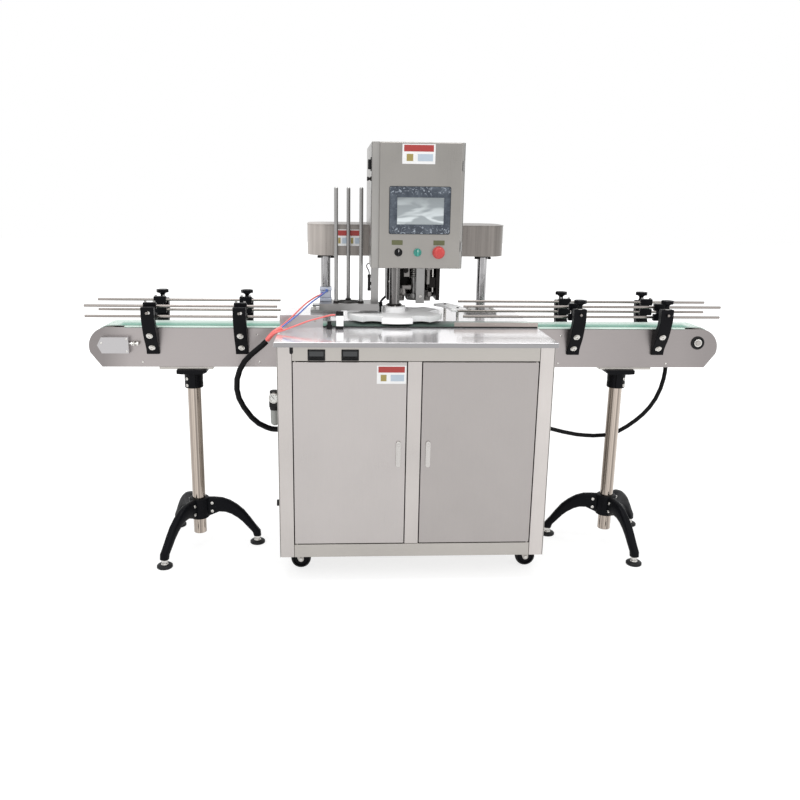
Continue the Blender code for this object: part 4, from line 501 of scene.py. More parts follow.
# Painted light and shade: the two doors are one sheet, the left in a lighter copy and the right in a darker one.
LIT_LEFT_DOOR_STEEL = BrushedStainless("satin_stainless_left_door_sheet", "#b5b0ae", grain=Axis.Z, shade=0.05)
SHADED_RIGHT_DOOR_STEEL = BrushedStainless("satin_stainless_right_door_sheet", "#a6a19f", grain=Axis.Z, shade=0.05)
SKIN_STEEL = BrushedStainless("satin_stainless_side_sheet", "#b0ada9", grain=Axis.Z)
# Painted shade on the table's front lip, darker than its top.
TABLE_STEEL = BrushedStainless("polished_stainless_table_sheet", "#f3f1f3", "polished_steel", roughness=0.15,
                               metallic=0.7, shade=0.03, painted_light=((Axis.Y, -0.4235, -0.4245, 0.32),))
PLATE_STEEL = BrushedStainless("satin_stainless_conveyor_sheet", "#a59f9e", shade=0.05, painted_light=PLATE_PAINTED_SHADE)
GUARD_STEEL = BrushedStainless("dull_stainless_lane_guard", "#a89f9a", "polished_steel", shade=0.12, stroke_mm=150.0)
COVER_STEEL = BrushedStainless("satin_stainless_bearing_cover", "#b5b3b4", "polished_steel", shade=0.04)
BOX_STEEL = BrushedStainless("satin_stainless_box_sheet", "#9e9c99", grain=Axis.Z, shade=0.06)
BOX_DOOR_STEEL = BrushedStainless("satin_stainless_box_door_sheet", "#989591", grain=Axis.Z, shade=0.05)
# Painted light: the gear casing's left end lighter.
BEAM_STEEL = BrushedStainless("satin_stainless_gear_casing", "#817c78", grain=Axis.Z, shade=0.2, bands=0.75,
                              spacing_mm=14.0, stroke_mm=900.0, painted_light=((Axis.X, -0.28, -0.36, 2.0),))
PULL_STEEL = BrushedStainless("bright_stainless_door_pull", "#bebbb8", roughness=0.26, grain=Axis.Z, shade=0.04)
HIDDEN_STEEL = BrushedStainless("mill_stainless_inner_sheet", "#aaa6a2", roughness=0.4)
BLOCK_STEEL = BrushedStainless("milled_stainless_block", "#989796", "rod_steel", roughness=0.3, stroke_mm=25.0)
ROLLER_STEEL = BrushedStainless("turned_seaming_roller_steel", "#817e7c", "polished_steel", roughness=0.32,
                                stroke_mm=18.0, shade=0.15)
CYLINDER_METAL = BrushedStainless("anodised_aluminium_cylinder", "#b9bfcc", "aluminium", roughness=0.42,
                                  grain=Axis.Z, shade=0.04)
ROD_STEEL = PolishedSteel("drawn_stainless_guide_rod", "#8d8783", "rod_steel", 0.22, grain=Axis.X, painted_reflection=0.06)
COLUMN_STEEL = PolishedSteel("ground_stainless_column", "#a9a8a9", "polished_steel", 0.2, painted_reflection=0.42)
SHAFT_STEEL = PolishedSteel("oiled_steel_star_shaft", "#787675", roughness=0.26, painted_reflection=0.5)
POLE_STEEL = PolishedSteel("polished_stainless_stand_pole", "#9f958c", roughness=0.12, painted_reflection=0.6, reflection_facets=3.4)
BOLT_STEEL = PolishedSteel("bright_zinc_plated_fastener", "#cfcdc9", "rod_steel", 0.25, ring_mm=0.8, painted_reflection=0.2)
STATION_IRON = CastIron("blackened_station_iron", "#1f1c1b", "dark_iron", specular=0.25, metallic=0.4)
BASE_IRON = CastIron("powder_coated_cast_leg", "#0b0c10", "black_iron", 0.4, 0.08)
BLACK_NYLON = MouldedPlastic("black_glass_filled_nylon", "#09090d", roughness=0.42, specular=0.1)
BLACK_ABS = MouldedPlastic("black_moulded_abs", "#101012", roughness=0.35, specular=0.22, texture_mm=0.6)
GREY_WINDOW = MouldedPlastic("smoked_acrylic_window", "#2a2c2e", roughness=0.08, depth_mm=0.0)
TEAL_PLASTIC = MouldedPlastic("teal_moulded_push_button", "#3f9487", "teal_plastic", 0.3)
RED_PLASTIC = MouldedPlastic("red_moulded_mushroom_button", "#b93c39", "red_plastic", 0.32)
DARK_RED_PLASTIC = MouldedPlastic("dark_red_moulded_button_skirt", "#a8302e", "red_plastic", 0.4)
BLUE_PLASTIC = MouldedPlastic("blue_acetal_push_fitting", "#3f64a8", "tube_blue", 0.3)
CLEAR_BOWL = MouldedPlastic("smoked_polycarbonate_bowl", "#8f918d", roughness=0.12, depth_mm=0.0)
CONDUIT_PVC = MouldedPlastic("black_pvc_hose", "#09090b", "conduit_black", 0.34, 0.12, texture_mm=2.0, depth_mm=0.15)
BLUE_TUBE = MouldedPlastic("blue_polyurethane_air_tube", "#5a6fb5", "tube_blue", 0.22, depth_mm=0.0)
RED_TUBE = MouldedPlastic("red_polyurethane_air_tube", "#dd6a66", "tube_red", 0.22, depth_mm=0.0)
SCREEN_LINE = MouldedPlastic("charcoal_screen_edge", "#23282e", "screen_grey", 0.35, depth_mm=0.0)
WHITE_CARD = MouldedPlastic("white_vinyl_label", "#dcdcdc", "white_plastic", 0.5, depth_mm=0.0)
RED_CARD = MouldedPlastic("red_printed_vinyl_band", "#9c3431", "white_plastic", 0.5, depth_mm=0.0)
AMBER_CARD = MouldedPlastic("amber_printed_vinyl_patch", "#94854c", "white_plastic", 0.5, depth_mm=0.0)
GREY_CARD = MouldedPlastic("grey_printed_vinyl_patch", "#aab6c2", "white_plastic", 0.5, depth_mm=0.0)
OLIVE_TAG = MouldedPlastic("olive_engraved_switch_tag", "#57593a", "teal_plastic", depth_mm=0.0)
DIAL_WHITE = MouldedPlastic("white_gauge_dial", "#e2e2df", "white_plastic", 0.3, depth_mm=0.0)
WHITE_STAR = MilledPolyethylene("milled_white_polyethylene", "#fbfbfb")
# The wear strips and the belt's cover carry the painted shadow of the lane.
WEAR_STRIP = MilledPolyethylene("extruded_polyethylene_wear_strip", "#d2e6dc", roughness=0.45, painted_light=LANE_PAINTED_SHADOW)
GREEN_COVER = BeltCover("green_pvc_belt_cover", "#669887", painted_light=LANE_PAINTED_SHADOW)
BELT_CLOTH = BeltCover("pale_belt_carcass_cloth", "#cfe3da", roughness=0.6)
TYRE_RUBBER = WheelRubber("black_caster_tyre", "#131313", "wheel_rubber", specular=0.25)
FOOT_RUBBER = WheelRubber("black_levelling_foot_pad", "#151617", "black_iron", 0.5, 0.25)
SCREEN_FILM = CrinkledFilm("filmed_dark_glass_screen_frame", "#2f3742")
SCREEN_PANE = DisplayPane("filmed_display_pane", "#969da0")


# Shapes


def bevelled(shape: Shape, width: float, steps: int = 2, angle: float = 30.0) -> Shape:
    """Round the sharp edges of a shape.

    Args:
        shape: Shape to change.
        width: Width of the rounding; 0 leaves the shape as it is.
        steps: Faces across the rounding.
        angle: Edges sharper than this many degrees are rounded.

    Returns:
        The same shape.
    """
    if width > 0:
        bmesh.ops.recalc_face_normals(shape, faces=shape.faces)
        limit = math.radians(angle)
        edges = [edge for edge in shape.edges if edge.is_manifold and edge.calc_face_angle(0.0) > limit]
        bmesh.ops.bevel(
            shape, geom=edges, offset=width, segments=steps, profile=0.5, affect="EDGES", clamp_overlap=True
        )
    return shape


def block(low: Sequence[float], high: Sequence[float], rounding: float = 0.0015, missing: Sequence[Face] = ()) -> Shape:
    """Make a box with rounded edges, or a folded pan where faces are missing.

    Args:
        low: Lowest corner.
        high: Highest corner.
        rounding: Radius of its edges.
        missing: Faces left out, so that a sheet thickness can be given later.

    Returns:
        The shape.
    """
    shape = bmesh.new()
    bmesh.ops.create_cube(shape, size=1.0)
    bmesh.ops.scale(shape, vec=[b - a for a, b in zip(low, high)], verts=shape.verts)
    bmesh.ops.translate(shape, vec=[(a + b) / 2 for a, b in zip(low, high)], verts=shape.verts)
    shape.normal_update()
    gone = [face for face in shape.faces if any(face.normal.dot(Vector(side.value)) > 0.9 for side in missing)]
    bmesh.ops.delete(shape, geom=gone, context="FACES_ONLY")
    return bevelled(shape, rounding)


def on_axis(axis: Axis, along: float, u: float, v: float) -> Point:
    """Give a point by its places along and across an axis.

    Args:
        axis: The axis.
        along: Place along it.
        u: First place across it, in X, Y, Z order.
        v: Second place across it.

    Returns:
        The point.
    """
    if axis is Axis.X:
        return (along, u, v)
    if axis is Axis.Y:
        return (u, along, v)
    return (u, v, along)


def skin(shape: Shape, rings: Sequence[Ring], endless: bool = False) -> Shape:
    """Join rings of corners with faces.

    Args:
        shape: Shape that has the corners.
        rings: Corners of each ring; a ring of one corner is a tip.
        endless: Whether the last ring joins the first one too.

    Returns:
        The same shape.
    """
    pairs = list(zip(rings, rings[1:]))
    if endless:
        pairs.append((rings[-1], rings[0]))
    for first, second in pairs:
        steps = max(len(first), len(second))
        for i in range(steps):
            j = (i + 1) % steps
            corners = (first[i % len(first)], first[j % len(first)], second[j % len(second)], second[i % len(second)])
            shape.faces.new(dict.fromkeys(corners))
    return shape


def prism(outline: Outline, low: float, high: float, axis: Axis = Axis.Z, rounding: float = 0.0) -> Shape:
    """Extrude a closed outline along an axis.

    Args:
        outline: Corners across the axis, in X, Y, Z order.
        low: Start along the axis.
        high: End along the axis.
        axis: Direction of the extrusion.
        rounding: Radius of its sharp edges.

    Returns:
        The shape.
    """
    shape = bmesh.new()
    rings = [[shape.verts.new(on_axis(axis, along, u, v)) for u, v in outline] for along in (low, high)]
    for ring in rings:
        shape.faces.new(ring)
    return bevelled(skin(shape, rings), rounding)


def turned(profile: Outline, centre: Pair, axis: Axis = Axis.Z, steps: int = 40) -> Shape:
    """Turn a profile about an axis.

    Args:
        profile: Radius and place along the axis, from one end to the other.
        centre: Where the axis passes, in X, Y, Z order.
        axis: Direction of the axis.
        steps: Faces round the axis.

    Returns:
        The shape; a profile with a radius at both ends is closed to a ring.
    """
    shape = bmesh.new()
    rings = []
    for radius, along in profile:
        ring = [polar(centre, radius, 360 * i / steps) for i in range(steps if radius else 1)]
        rings.append([shape.verts.new(on_axis(axis, along, u, v)) for u, v in ring])
    return skin(shape, rings, profile[0][0] > 0 and profile[-1][0] > 0)


def rod(radius: float, low: float, high: float, centre: Pair, axis: Axis = Axis.Z, chamfer: float = 0.0,
        steps: int = 40) -> Shape:
    """Make a round bar with chamfered ends.

    Args:
        radius: Its radius.
        low: Start along the axis.
        high: End along the axis.
        centre: Where the axis passes.
        axis: Direction of the bar.
        chamfer: Width of the end chamfers.
        steps: Faces round it.

    Returns:
        The shape.
    """
    profile = [(0, low), (radius, low), (radius, high), (0, high)]
    if chamfer:
        profile[1:3] = [(radius - chamfer, low), (radius, low + chamfer), (radius, high - chamfer),
                        (radius - chamfer, high)]
    return turned(profile, centre, axis, steps)


def tube_along(points: Sequence[Point], radius: float, sides: int = 12) -> Shape:
    """Make a round bar along a path.

    Args:
        points: Places on its centreline.
        radius: Its radius.
        sides: Faces round it.

    Returns:
        The shape, closed at both ends.
    """
    line = [Vector(point) for point in points]
    shape = bmesh.new()
    across = Vector((0.0, 0.0, 1.0)) if abs((line[1] - line[0]).normalized().z) < 0.9 else Vector((1.0, 0.0, 0.0))
    rings = []
    for i, place in enumerate(line):
        along = (line[min(i + 1, len(line) - 1)] - line[max(i - 1, 0)]).normalized()
        across = (across - along * across.dot(along)).normalized()
        other = along.cross(across)
        round_it = arc((0.0, 0.0), radius, 0, 360, sides)[:-1]
        rings.append([shape.verts.new(place + u * across + v * other) for u, v in round_it])
    return capped(skin(shape, rings), rings)


def capped(shape: Shape, rings: Sequence[Ring]) -> Shape:
    """Close the ends of a shape that was skinned from rings.

    Args:
        shape: The shape.
        rings: Its rings, of which the first and the last are closed.

    Returns:
        The same shape.
    """
    shape.faces.new(rings[0])
    shape.faces.new(rings[-1])
    return shape


def merged(shapes: Sequence[Shape]) -> Shape:
    """Put several shapes in one, without joining their surfaces.

    Args:
        shapes: The shapes; they are used up.

    Returns:
        The shape that holds them all.
    """
    whole = bmesh.new()
    for shape in shapes:
        bmesh.ops.recalc_face_normals(shape, faces=shape.faces)
        part = to_mesh("part", shape)
        whole.from_mesh(part)
        bpy.data.meshes.remove(part)
    return whole


def moved(shape: Shape, matrix: Matrix) -> Shape:
    """Transform a shape by a matrix and return it."""
    bmesh.ops.transform(shape, matrix=matrix, verts=shape.verts)
    return shape


def add_object(name: str, data: bpy.types.ID) -> bpy.types.Object:
    """Make an object and put it in the scene.

    Args:
        name: Its name.
        data: Its mesh, curve, lamp or camera data.

    Returns:
        The new object.
    """
    made = bpy.data.objects.new(name, data)
    bpy.context.scene.collection.objects.link(made)
    return made


def to_mesh(name: str, shape: Shape) -> bpy.types.Mesh:
    """Turn a shape into a mesh.

    Args:
        name: Name of the mesh.
        shape: The shape; it is used up.

    Returns:
        The mesh.
    """
    mesh = bpy.data.meshes.new(name)
    shape.to_mesh(mesh)
    shape.free()
    return mesh


def polar(centre: Pair, radius: float, angle: float) -> Pair:
    """Return the point at a radius and an angle in degrees from a centre."""
    turn = math.radians(angle)
    return (centre[0] + radius * math.cos(turn), centre[1] + radius * math.sin(turn))


def arc(centre: Pair, radius: float, start: float, end: float, count: int) -> list[Pair]:
    """Return points on an arc, angles in degrees, both ends included."""
    return [polar(centre, radius, start + (end - start) * i / count) for i in range(count + 1)]


def rounded_rectangle(x0: float, x1: float, y0: float, y1: float, radius: float, count: int = 8) -> list[Pair]:
    """Draw a rectangle with round corners.

    Args:
        x0: Its left side.
        x1: Its right side.
        y0: Its lower side.
        y1: Its upper side.
        radius: Radius of its corners.
        count: Steps in each corner.

    Returns:
        Its outline, anticlockwise.
    """
    left, right, low, high = x0 + radius, x1 - radius, y0 + radius, y1 - radius
    corners = ((right, low), (right, high), (left, high), (left, low))
    return [point for i, corner in enumerate(corners) for point in arc(corner, radius, 90 * i - 90, 90 * i, count)]


def hexagon(centre: Pair, radius: float, low: float, high: float, axis: Axis, rounding: float) -> Shape:
    """Make a six-sided nut or head, its radius measured to the corners."""
    return prism(arc(centre, radius, 0, 300, 5), low, high, axis, rounding)


def seated(shape: Shape, place: Sequence[float], angle: float, axis: str) -> Shape:
    """Turn a shape by an angle in degrees about an axis, move it to a place and return it."""
    return moved(shape, Matrix.Translation(place) @ Matrix.Rotation(math.radians(angle), 4, axis))


def mirrored(profile: Outline, middle: float) -> list[Pair]:
    """Return a profile followed by its mirror image beyond a middle along the axis."""
    return [*profile, *((radius, 2 * middle - along) for radius, along in reversed(profile))]


def screw(place: Point, axis: Axis, outward: int, radius: float, height: float, head: Head = Head.SOCKET) -> Shape:
    """Make a screw head that stands on a surface.

    Args:
        place: Middle of its seat.
        axis: Direction of the screw.
        outward: 1 or -1, the way the head stands along the axis.
        radius: Radius of the head.
        height: Height of the head.
        head: Kind of head.

    Returns:
        The shape.
    """
    index = axis.value
    base = place[index] - outward * 0.0005
    centre = tuple(value for i, value in enumerate(place) if i != index)
    top = place[index] + outward * height
    if head is Head.HEXAGON:
        return hexagon(centre, radius, min(base, top), max(base, top), axis, radius * 0.08)
    if head is Head.DOME:
        profile = [(0, base), (radius, base), (radius, place[index] + outward * height * 0.3),
                   (radius * 0.8, place[index] + outward * height * 0.75), (radius * 0.45, top), (0, top)]
        return turned(profile, centre, axis, 16)
    floor = place[index] + outward * height * 0.35
    profile = [(0, base), (radius, base), (radius, top - outward * height * 0.15), (radius * 0.88, top),
               (radius * 0.5, top), (radius * 0.5, floor), (0, floor)]
    return turned(profile, centre, axis, 20)


# The bench: puts pieces into the scene


@dataclass
class Bench:
    """Puts finished pieces in the scene and reports them.

    Attributes:
        count: Pieces put so far.
    """

    count: int = 0

    def put(
        self,
        name: str,
        shapes: Shape | Sequence[Shape],
        finish: Finish,
        body: str = "machine",
        replaces: Sequence[str] = (),
        slot: str = "",
        sheet: float = 0.0,
    ) -> None:
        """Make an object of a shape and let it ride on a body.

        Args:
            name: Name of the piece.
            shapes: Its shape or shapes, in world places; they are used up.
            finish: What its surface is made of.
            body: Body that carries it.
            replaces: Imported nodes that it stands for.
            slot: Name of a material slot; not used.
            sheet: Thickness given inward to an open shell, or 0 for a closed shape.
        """
        shape = shapes if isinstance(shapes, Shape) else merged(shapes)
        bmesh.ops.recalc_face_normals(shape, faces=shape.faces)
        mesh = to_mesh(name, shape)
        made = add_object(name, mesh)
        mesh.materials.append(finish.material())
        mesh.shade_smooth()
        mesh.set_sharp_from_angle(angle=SHARP_EDGE)
        if sheet:
            fold = made.modifiers.new("Sheet", "SOLIDIFY")
            fold.thickness = sheet
            fold.offset = -1.0
            fold.use_even_offset = True
        weighted = made.modifiers.new("Even shading", "WEIGHTED_NORMAL")
        weighted.keep_sharp = True
        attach(made, body)
        if replaces:
            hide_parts(*replaces)
        self.count += 1
        LOG.info("%3d %s on %s", self.count, name, body)

    def repaint(self, node: str, finish: Finish) -> None:
        """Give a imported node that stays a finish.

        Args:
            node: Name of the node.
            finish: What its surface is made of.
        """
        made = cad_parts[node]
        for place in made.material_slots:
            place.material = finish.material()
        made.data.shade_smooth()
        made.data.set_sharp_from_angle(angle=SHARP_CAD_EDGE)
        LOG.info("    %s keeps its shape, in %s", node, finish.name)


@dataclass
class Assembly:
    """Part of the machine whose pieces a bench puts in the scene.

    Attributes:
        bench: Bench that puts the pieces.
    """

    bench: Bench

    def label(self, name: str, low: Pair, high: Pair, face: float, body: str) -> None:
        """Put a plain label of colour fields on a face that looks to the front.

        Args:
            name: Start of the pieces' names.
            low: Its lower left corner, as X and height.
            high: Its upper right corner.
            face: Y of the surface under it.
            body: Body that carries it.
        """
        width, height = high[0] - low[0], high[1] - low[1]
        for part, u0, u1, v0, v1, proud, finish in (
            ("card", 0.0, 1.0, 0.0, 1.0, 0.0003, WHITE_CARD),
            ("band", 0.05, 0.95, 0.62, 0.95, 0.0005, RED_CARD),
            ("patch", 0.13, 0.33, 0.14, 0.50, 0.0005, AMBER_CARD),
            ("strip", 0.47, 0.93, 0.14, 0.50, 0.0005, GREY_CARD),
        ):
            patch = block((low[0] + u0 * width, face - proud, low[1] + v0 * height),
                          (low[0] + u1 * width, face + 0.0002, low[1] + v1 * height), 0.0)
            self.bench.put(f"{name}_label_{part}", patch, finish, body)


# Cords


@dataclass
class Cord:
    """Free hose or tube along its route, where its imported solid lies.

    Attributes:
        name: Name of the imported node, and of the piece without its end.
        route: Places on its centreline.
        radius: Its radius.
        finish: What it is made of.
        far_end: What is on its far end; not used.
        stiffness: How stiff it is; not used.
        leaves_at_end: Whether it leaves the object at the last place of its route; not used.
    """

    name: str
    route: Sequence[Point]
    radius: float
    finish: Finish
    far_end: str
    stiffness: str
    leaves_at_end: bool = False

    def line(self) -> list[Vector]:
        """Draw a smooth curve through the route.

        Returns:
            Points on it, about 2.4 diameters apart.
        """
        vectors = [Vector(point) for point in self.route]
        padded = [2 * vectors[0] - vectors[1]] + vectors + [2 * vectors[-1] - vectors[-2]]
        fine = []
        for i in range(1, len(padded) - 2):
            p0, p1, p2, p3 = padded[i - 1:i + 3]
            count = max(1, round((p2 - p1).length / (4.8 * self.radius)))
            for j in range(count):
                t = j / count
                fine.append(0.5 * (2 * p1 + (p2 - p0) * t + (2 * p0 - 5 * p1 + 4 * p2 - p3) * t * t
                                   + (3 * p1 - p0 - 3 * p2 + p3) * t ** 3))
        return fine + [vectors[-1]]

    def build(self, bench: Bench) -> None:
        """Args:
            bench: Bench that reports it.
        """
        points = self.line()
        curve = bpy.data.curves.new(self.name + "_cover", "CURVE")
        curve.dimensions = "3D"
        curve.bevel_depth = self.radius
        curve.bevel_resolution = 4
        curve.use_fill_caps = True
        spline = curve.splines.new("POLY")
        spline.points.add(len(points) - 1)
        for target, point in zip(spline.points, points):
            target.co = (point.x, point.y, point.z, 1.0)
        spline.use_smooth = True
        curve.materials.append(self.finish.material())
        made = add_object(self.name + "_cover", curve)
        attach(made, "machine")
        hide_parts(self.name)
        bench.count += 1


LEFT_HOSE_ROUTE = (
    (-0.5308, -0.262, 0.8739), (-0.5453, -0.264, 0.8600), (-0.5640, -0.265, 0.8445), (-0.5880, -0.265, 0.8245),
    (-0.6110, -0.264, 0.8000), (-0.6290, -0.262, 0.7690), (-0.6405, -0.259, 0.7330), (-0.6430, -0.254, 0.6950),
    (-0.6370, -0.248, 0.6590), (-0.6215, -0.240, 0.6230), (-0.5950, -0.228, 0.5800), (-0.5700, -0.218, 0.5530),
    (-0.5420, -0.208, 0.5350), (-0.5250, -0.203, 0.5275), (-0.5120, -0.202, 0.5255), (-0.4986, -0.202, 0.5255),
)
RIGHT_HOSE_ROUTE = (
    (1.0600, 0.0427, 0.7600), (1.0600, 0.0320, 0.7600), (1.0595, 0.0140, 0.7500), (1.0585, 0.0030, 0.7300),
    (1.0570, 0.0000, 0.7050), (1.0540, 0.0000, 0.6750), (1.0455, 0.0000, 0.6350), (1.0289, 0.0000, 0.5915),
    (1.0066, 0.0000, 0.5545), (0.9817, 0.0000, 0.5245), (0.9528, 0.0000, 0.4980), (0.9198, 0.0000, 0.4730),
    (0.8863, 0.0000, 0.4530), (0.8553, 0.0000, 0.4410), (0.8219, 0.0000, 0.4350), (0.7814, 0.0000, 0.4330),
    (0.7104, 0.0000, 0.4385), (0.6531, 0.0000, 0.4500), (0.6030, 0.0000, 0.4630), (0.5500, 0.0000, 0.4755),
    (0.5250, 0.0000, 0.4802), (0.5120, 0.0000, 0.4810), (0.4986, 0.0000, 0.4810),
)
BLUE_TUBE_ROUTE = (
    (-0.5308, -0.262, 0.8751), (-0.5181, -0.260, 0.8912), (-0.5007, -0.252, 0.9077), (-0.4800, -0.235, 0.9188),
    (-0.4498, -0.190, 0.9370), (-0.4180, -0.130, 0.9560), (-0.3970, -0.080, 0.9710), (-0.3739, -0.030, 0.9856),
    (-0.3450, 0.020, 1.0010), (-0.3260, 0.050, 1.0125), (-0.3182, 0.064, 1.0165), (-0.3182, 0.0717, 1.0165),
)
RED_TUBE_ROUTE = (
    (-0.5308, -0.2550, 0.8742), (-0.5185, -0.2525, 0.8912), (-0.5050, -0.2430, 0.9060),
    (-0.4880, -0.2260, 0.9165), (-0.4700, -0.1960, 0.9280), (-0.4370, -0.1400, 0.9520),
    (-0.4050, -0.0700, 0.9770), (-0.3780, -0.0100, 0.9915), (-0.3560, 0.0350, 1.0000),
    (-0.3400, 0.0540, 1.0040), (-0.3358, 0.0640, 1.0050), (-0.3358, 0.0717, 1.0050),
)
SENSOR_TUBE_ROUTE = (
    (-0.5308, -0.2690, 0.8762), (-0.5181, -0.2680, 0.8905), (-0.4990, -0.2610, 0.9050),
    (-0.4780, -0.2470, 0.9090), (-0.4564, -0.2300, 0.9145), (-0.4085, -0.2000, 0.9285),
    (-0.3761, -0.1780, 0.9370), (-0.3162, -0.1560, 0.9500), (-0.2960, -0.1510, 0.9540),
    (-0.2833, -0.1510, 0.9540),
)


@dataclass
class AirAndCables(Assembly):
    """The two hoses, the three air tubes, and the glands and fittings they run in.

    Attributes:
        hose_radius: Radius of the left hose.
        thin_hose_radius: Radius of the right hose.
        tube_radius: Radius of the air tubes.
    """

    hose_radius: float = 0.0105
    thin_hose_radius: float = 0.0085
    tube_radius: float = 0.003

    def build(self) -> None:
        """Make the cords and their glands."""
        tube = self.tube_radius
        for cord in (
            Cord("left_conduit", LEFT_HOSE_ROUTE, self.hose_radius, CONDUIT_PVC, "bare", "stiff", True),
            Cord("right_conduit", RIGHT_HOSE_ROUTE, self.thin_hose_radius, CONDUIT_PVC, "object", "stiff", True),
            Cord("blue_air_tube", BLUE_TUBE_ROUTE, tube, BLUE_TUBE, "object", "medium"),
            Cord("red_air_tube", RED_TUBE_ROUTE, tube, RED_TUBE, "object", "medium"),
            Cord("sensor_air_tube", SENSOR_TUBE_ROUTE, tube, RED_TUBE, "object", "medium"),
        ):
            cord.build(self.bench)
        self.glands()

    def glands(self) -> None:
        """Make the moulded glands on the cabinet's sides."""
        for name, side, y, z in (("left", -1, -0.202, 0.5255), ("right", 1, 0.0, 0.4810)):
            sheet, mouth = side * 0.4840, side * 0.4983
            collar = side * 0.4905
            nut = hexagon((y, z), 0.0185, min(sheet, collar), max(sheet, collar), Axis.X, 0.0012)
            dome = turned([(0.0106, sheet), (0.016, sheet), (0.016, collar), (0.0145, mouth), (0.0106, mouth)],
                          (y, z), Axis.X, 32)
            self.bench.put(name + "_hose_gland", (nut, dome), BLACK_NYLON)
        bundle = [(-0.5290, -0.2620, 0.8772), (-0.5185, -0.2610, 0.8905), (-0.5060, -0.2540, 0.9030),
                  (-0.4920, -0.2440, 0.9118), (-0.4790, -0.2330, 0.9160)]
        self.bench.put("air_tube_sleeve", tube_along(bundle, 0.0088, 16), RED_TUBE)


# Cabinet


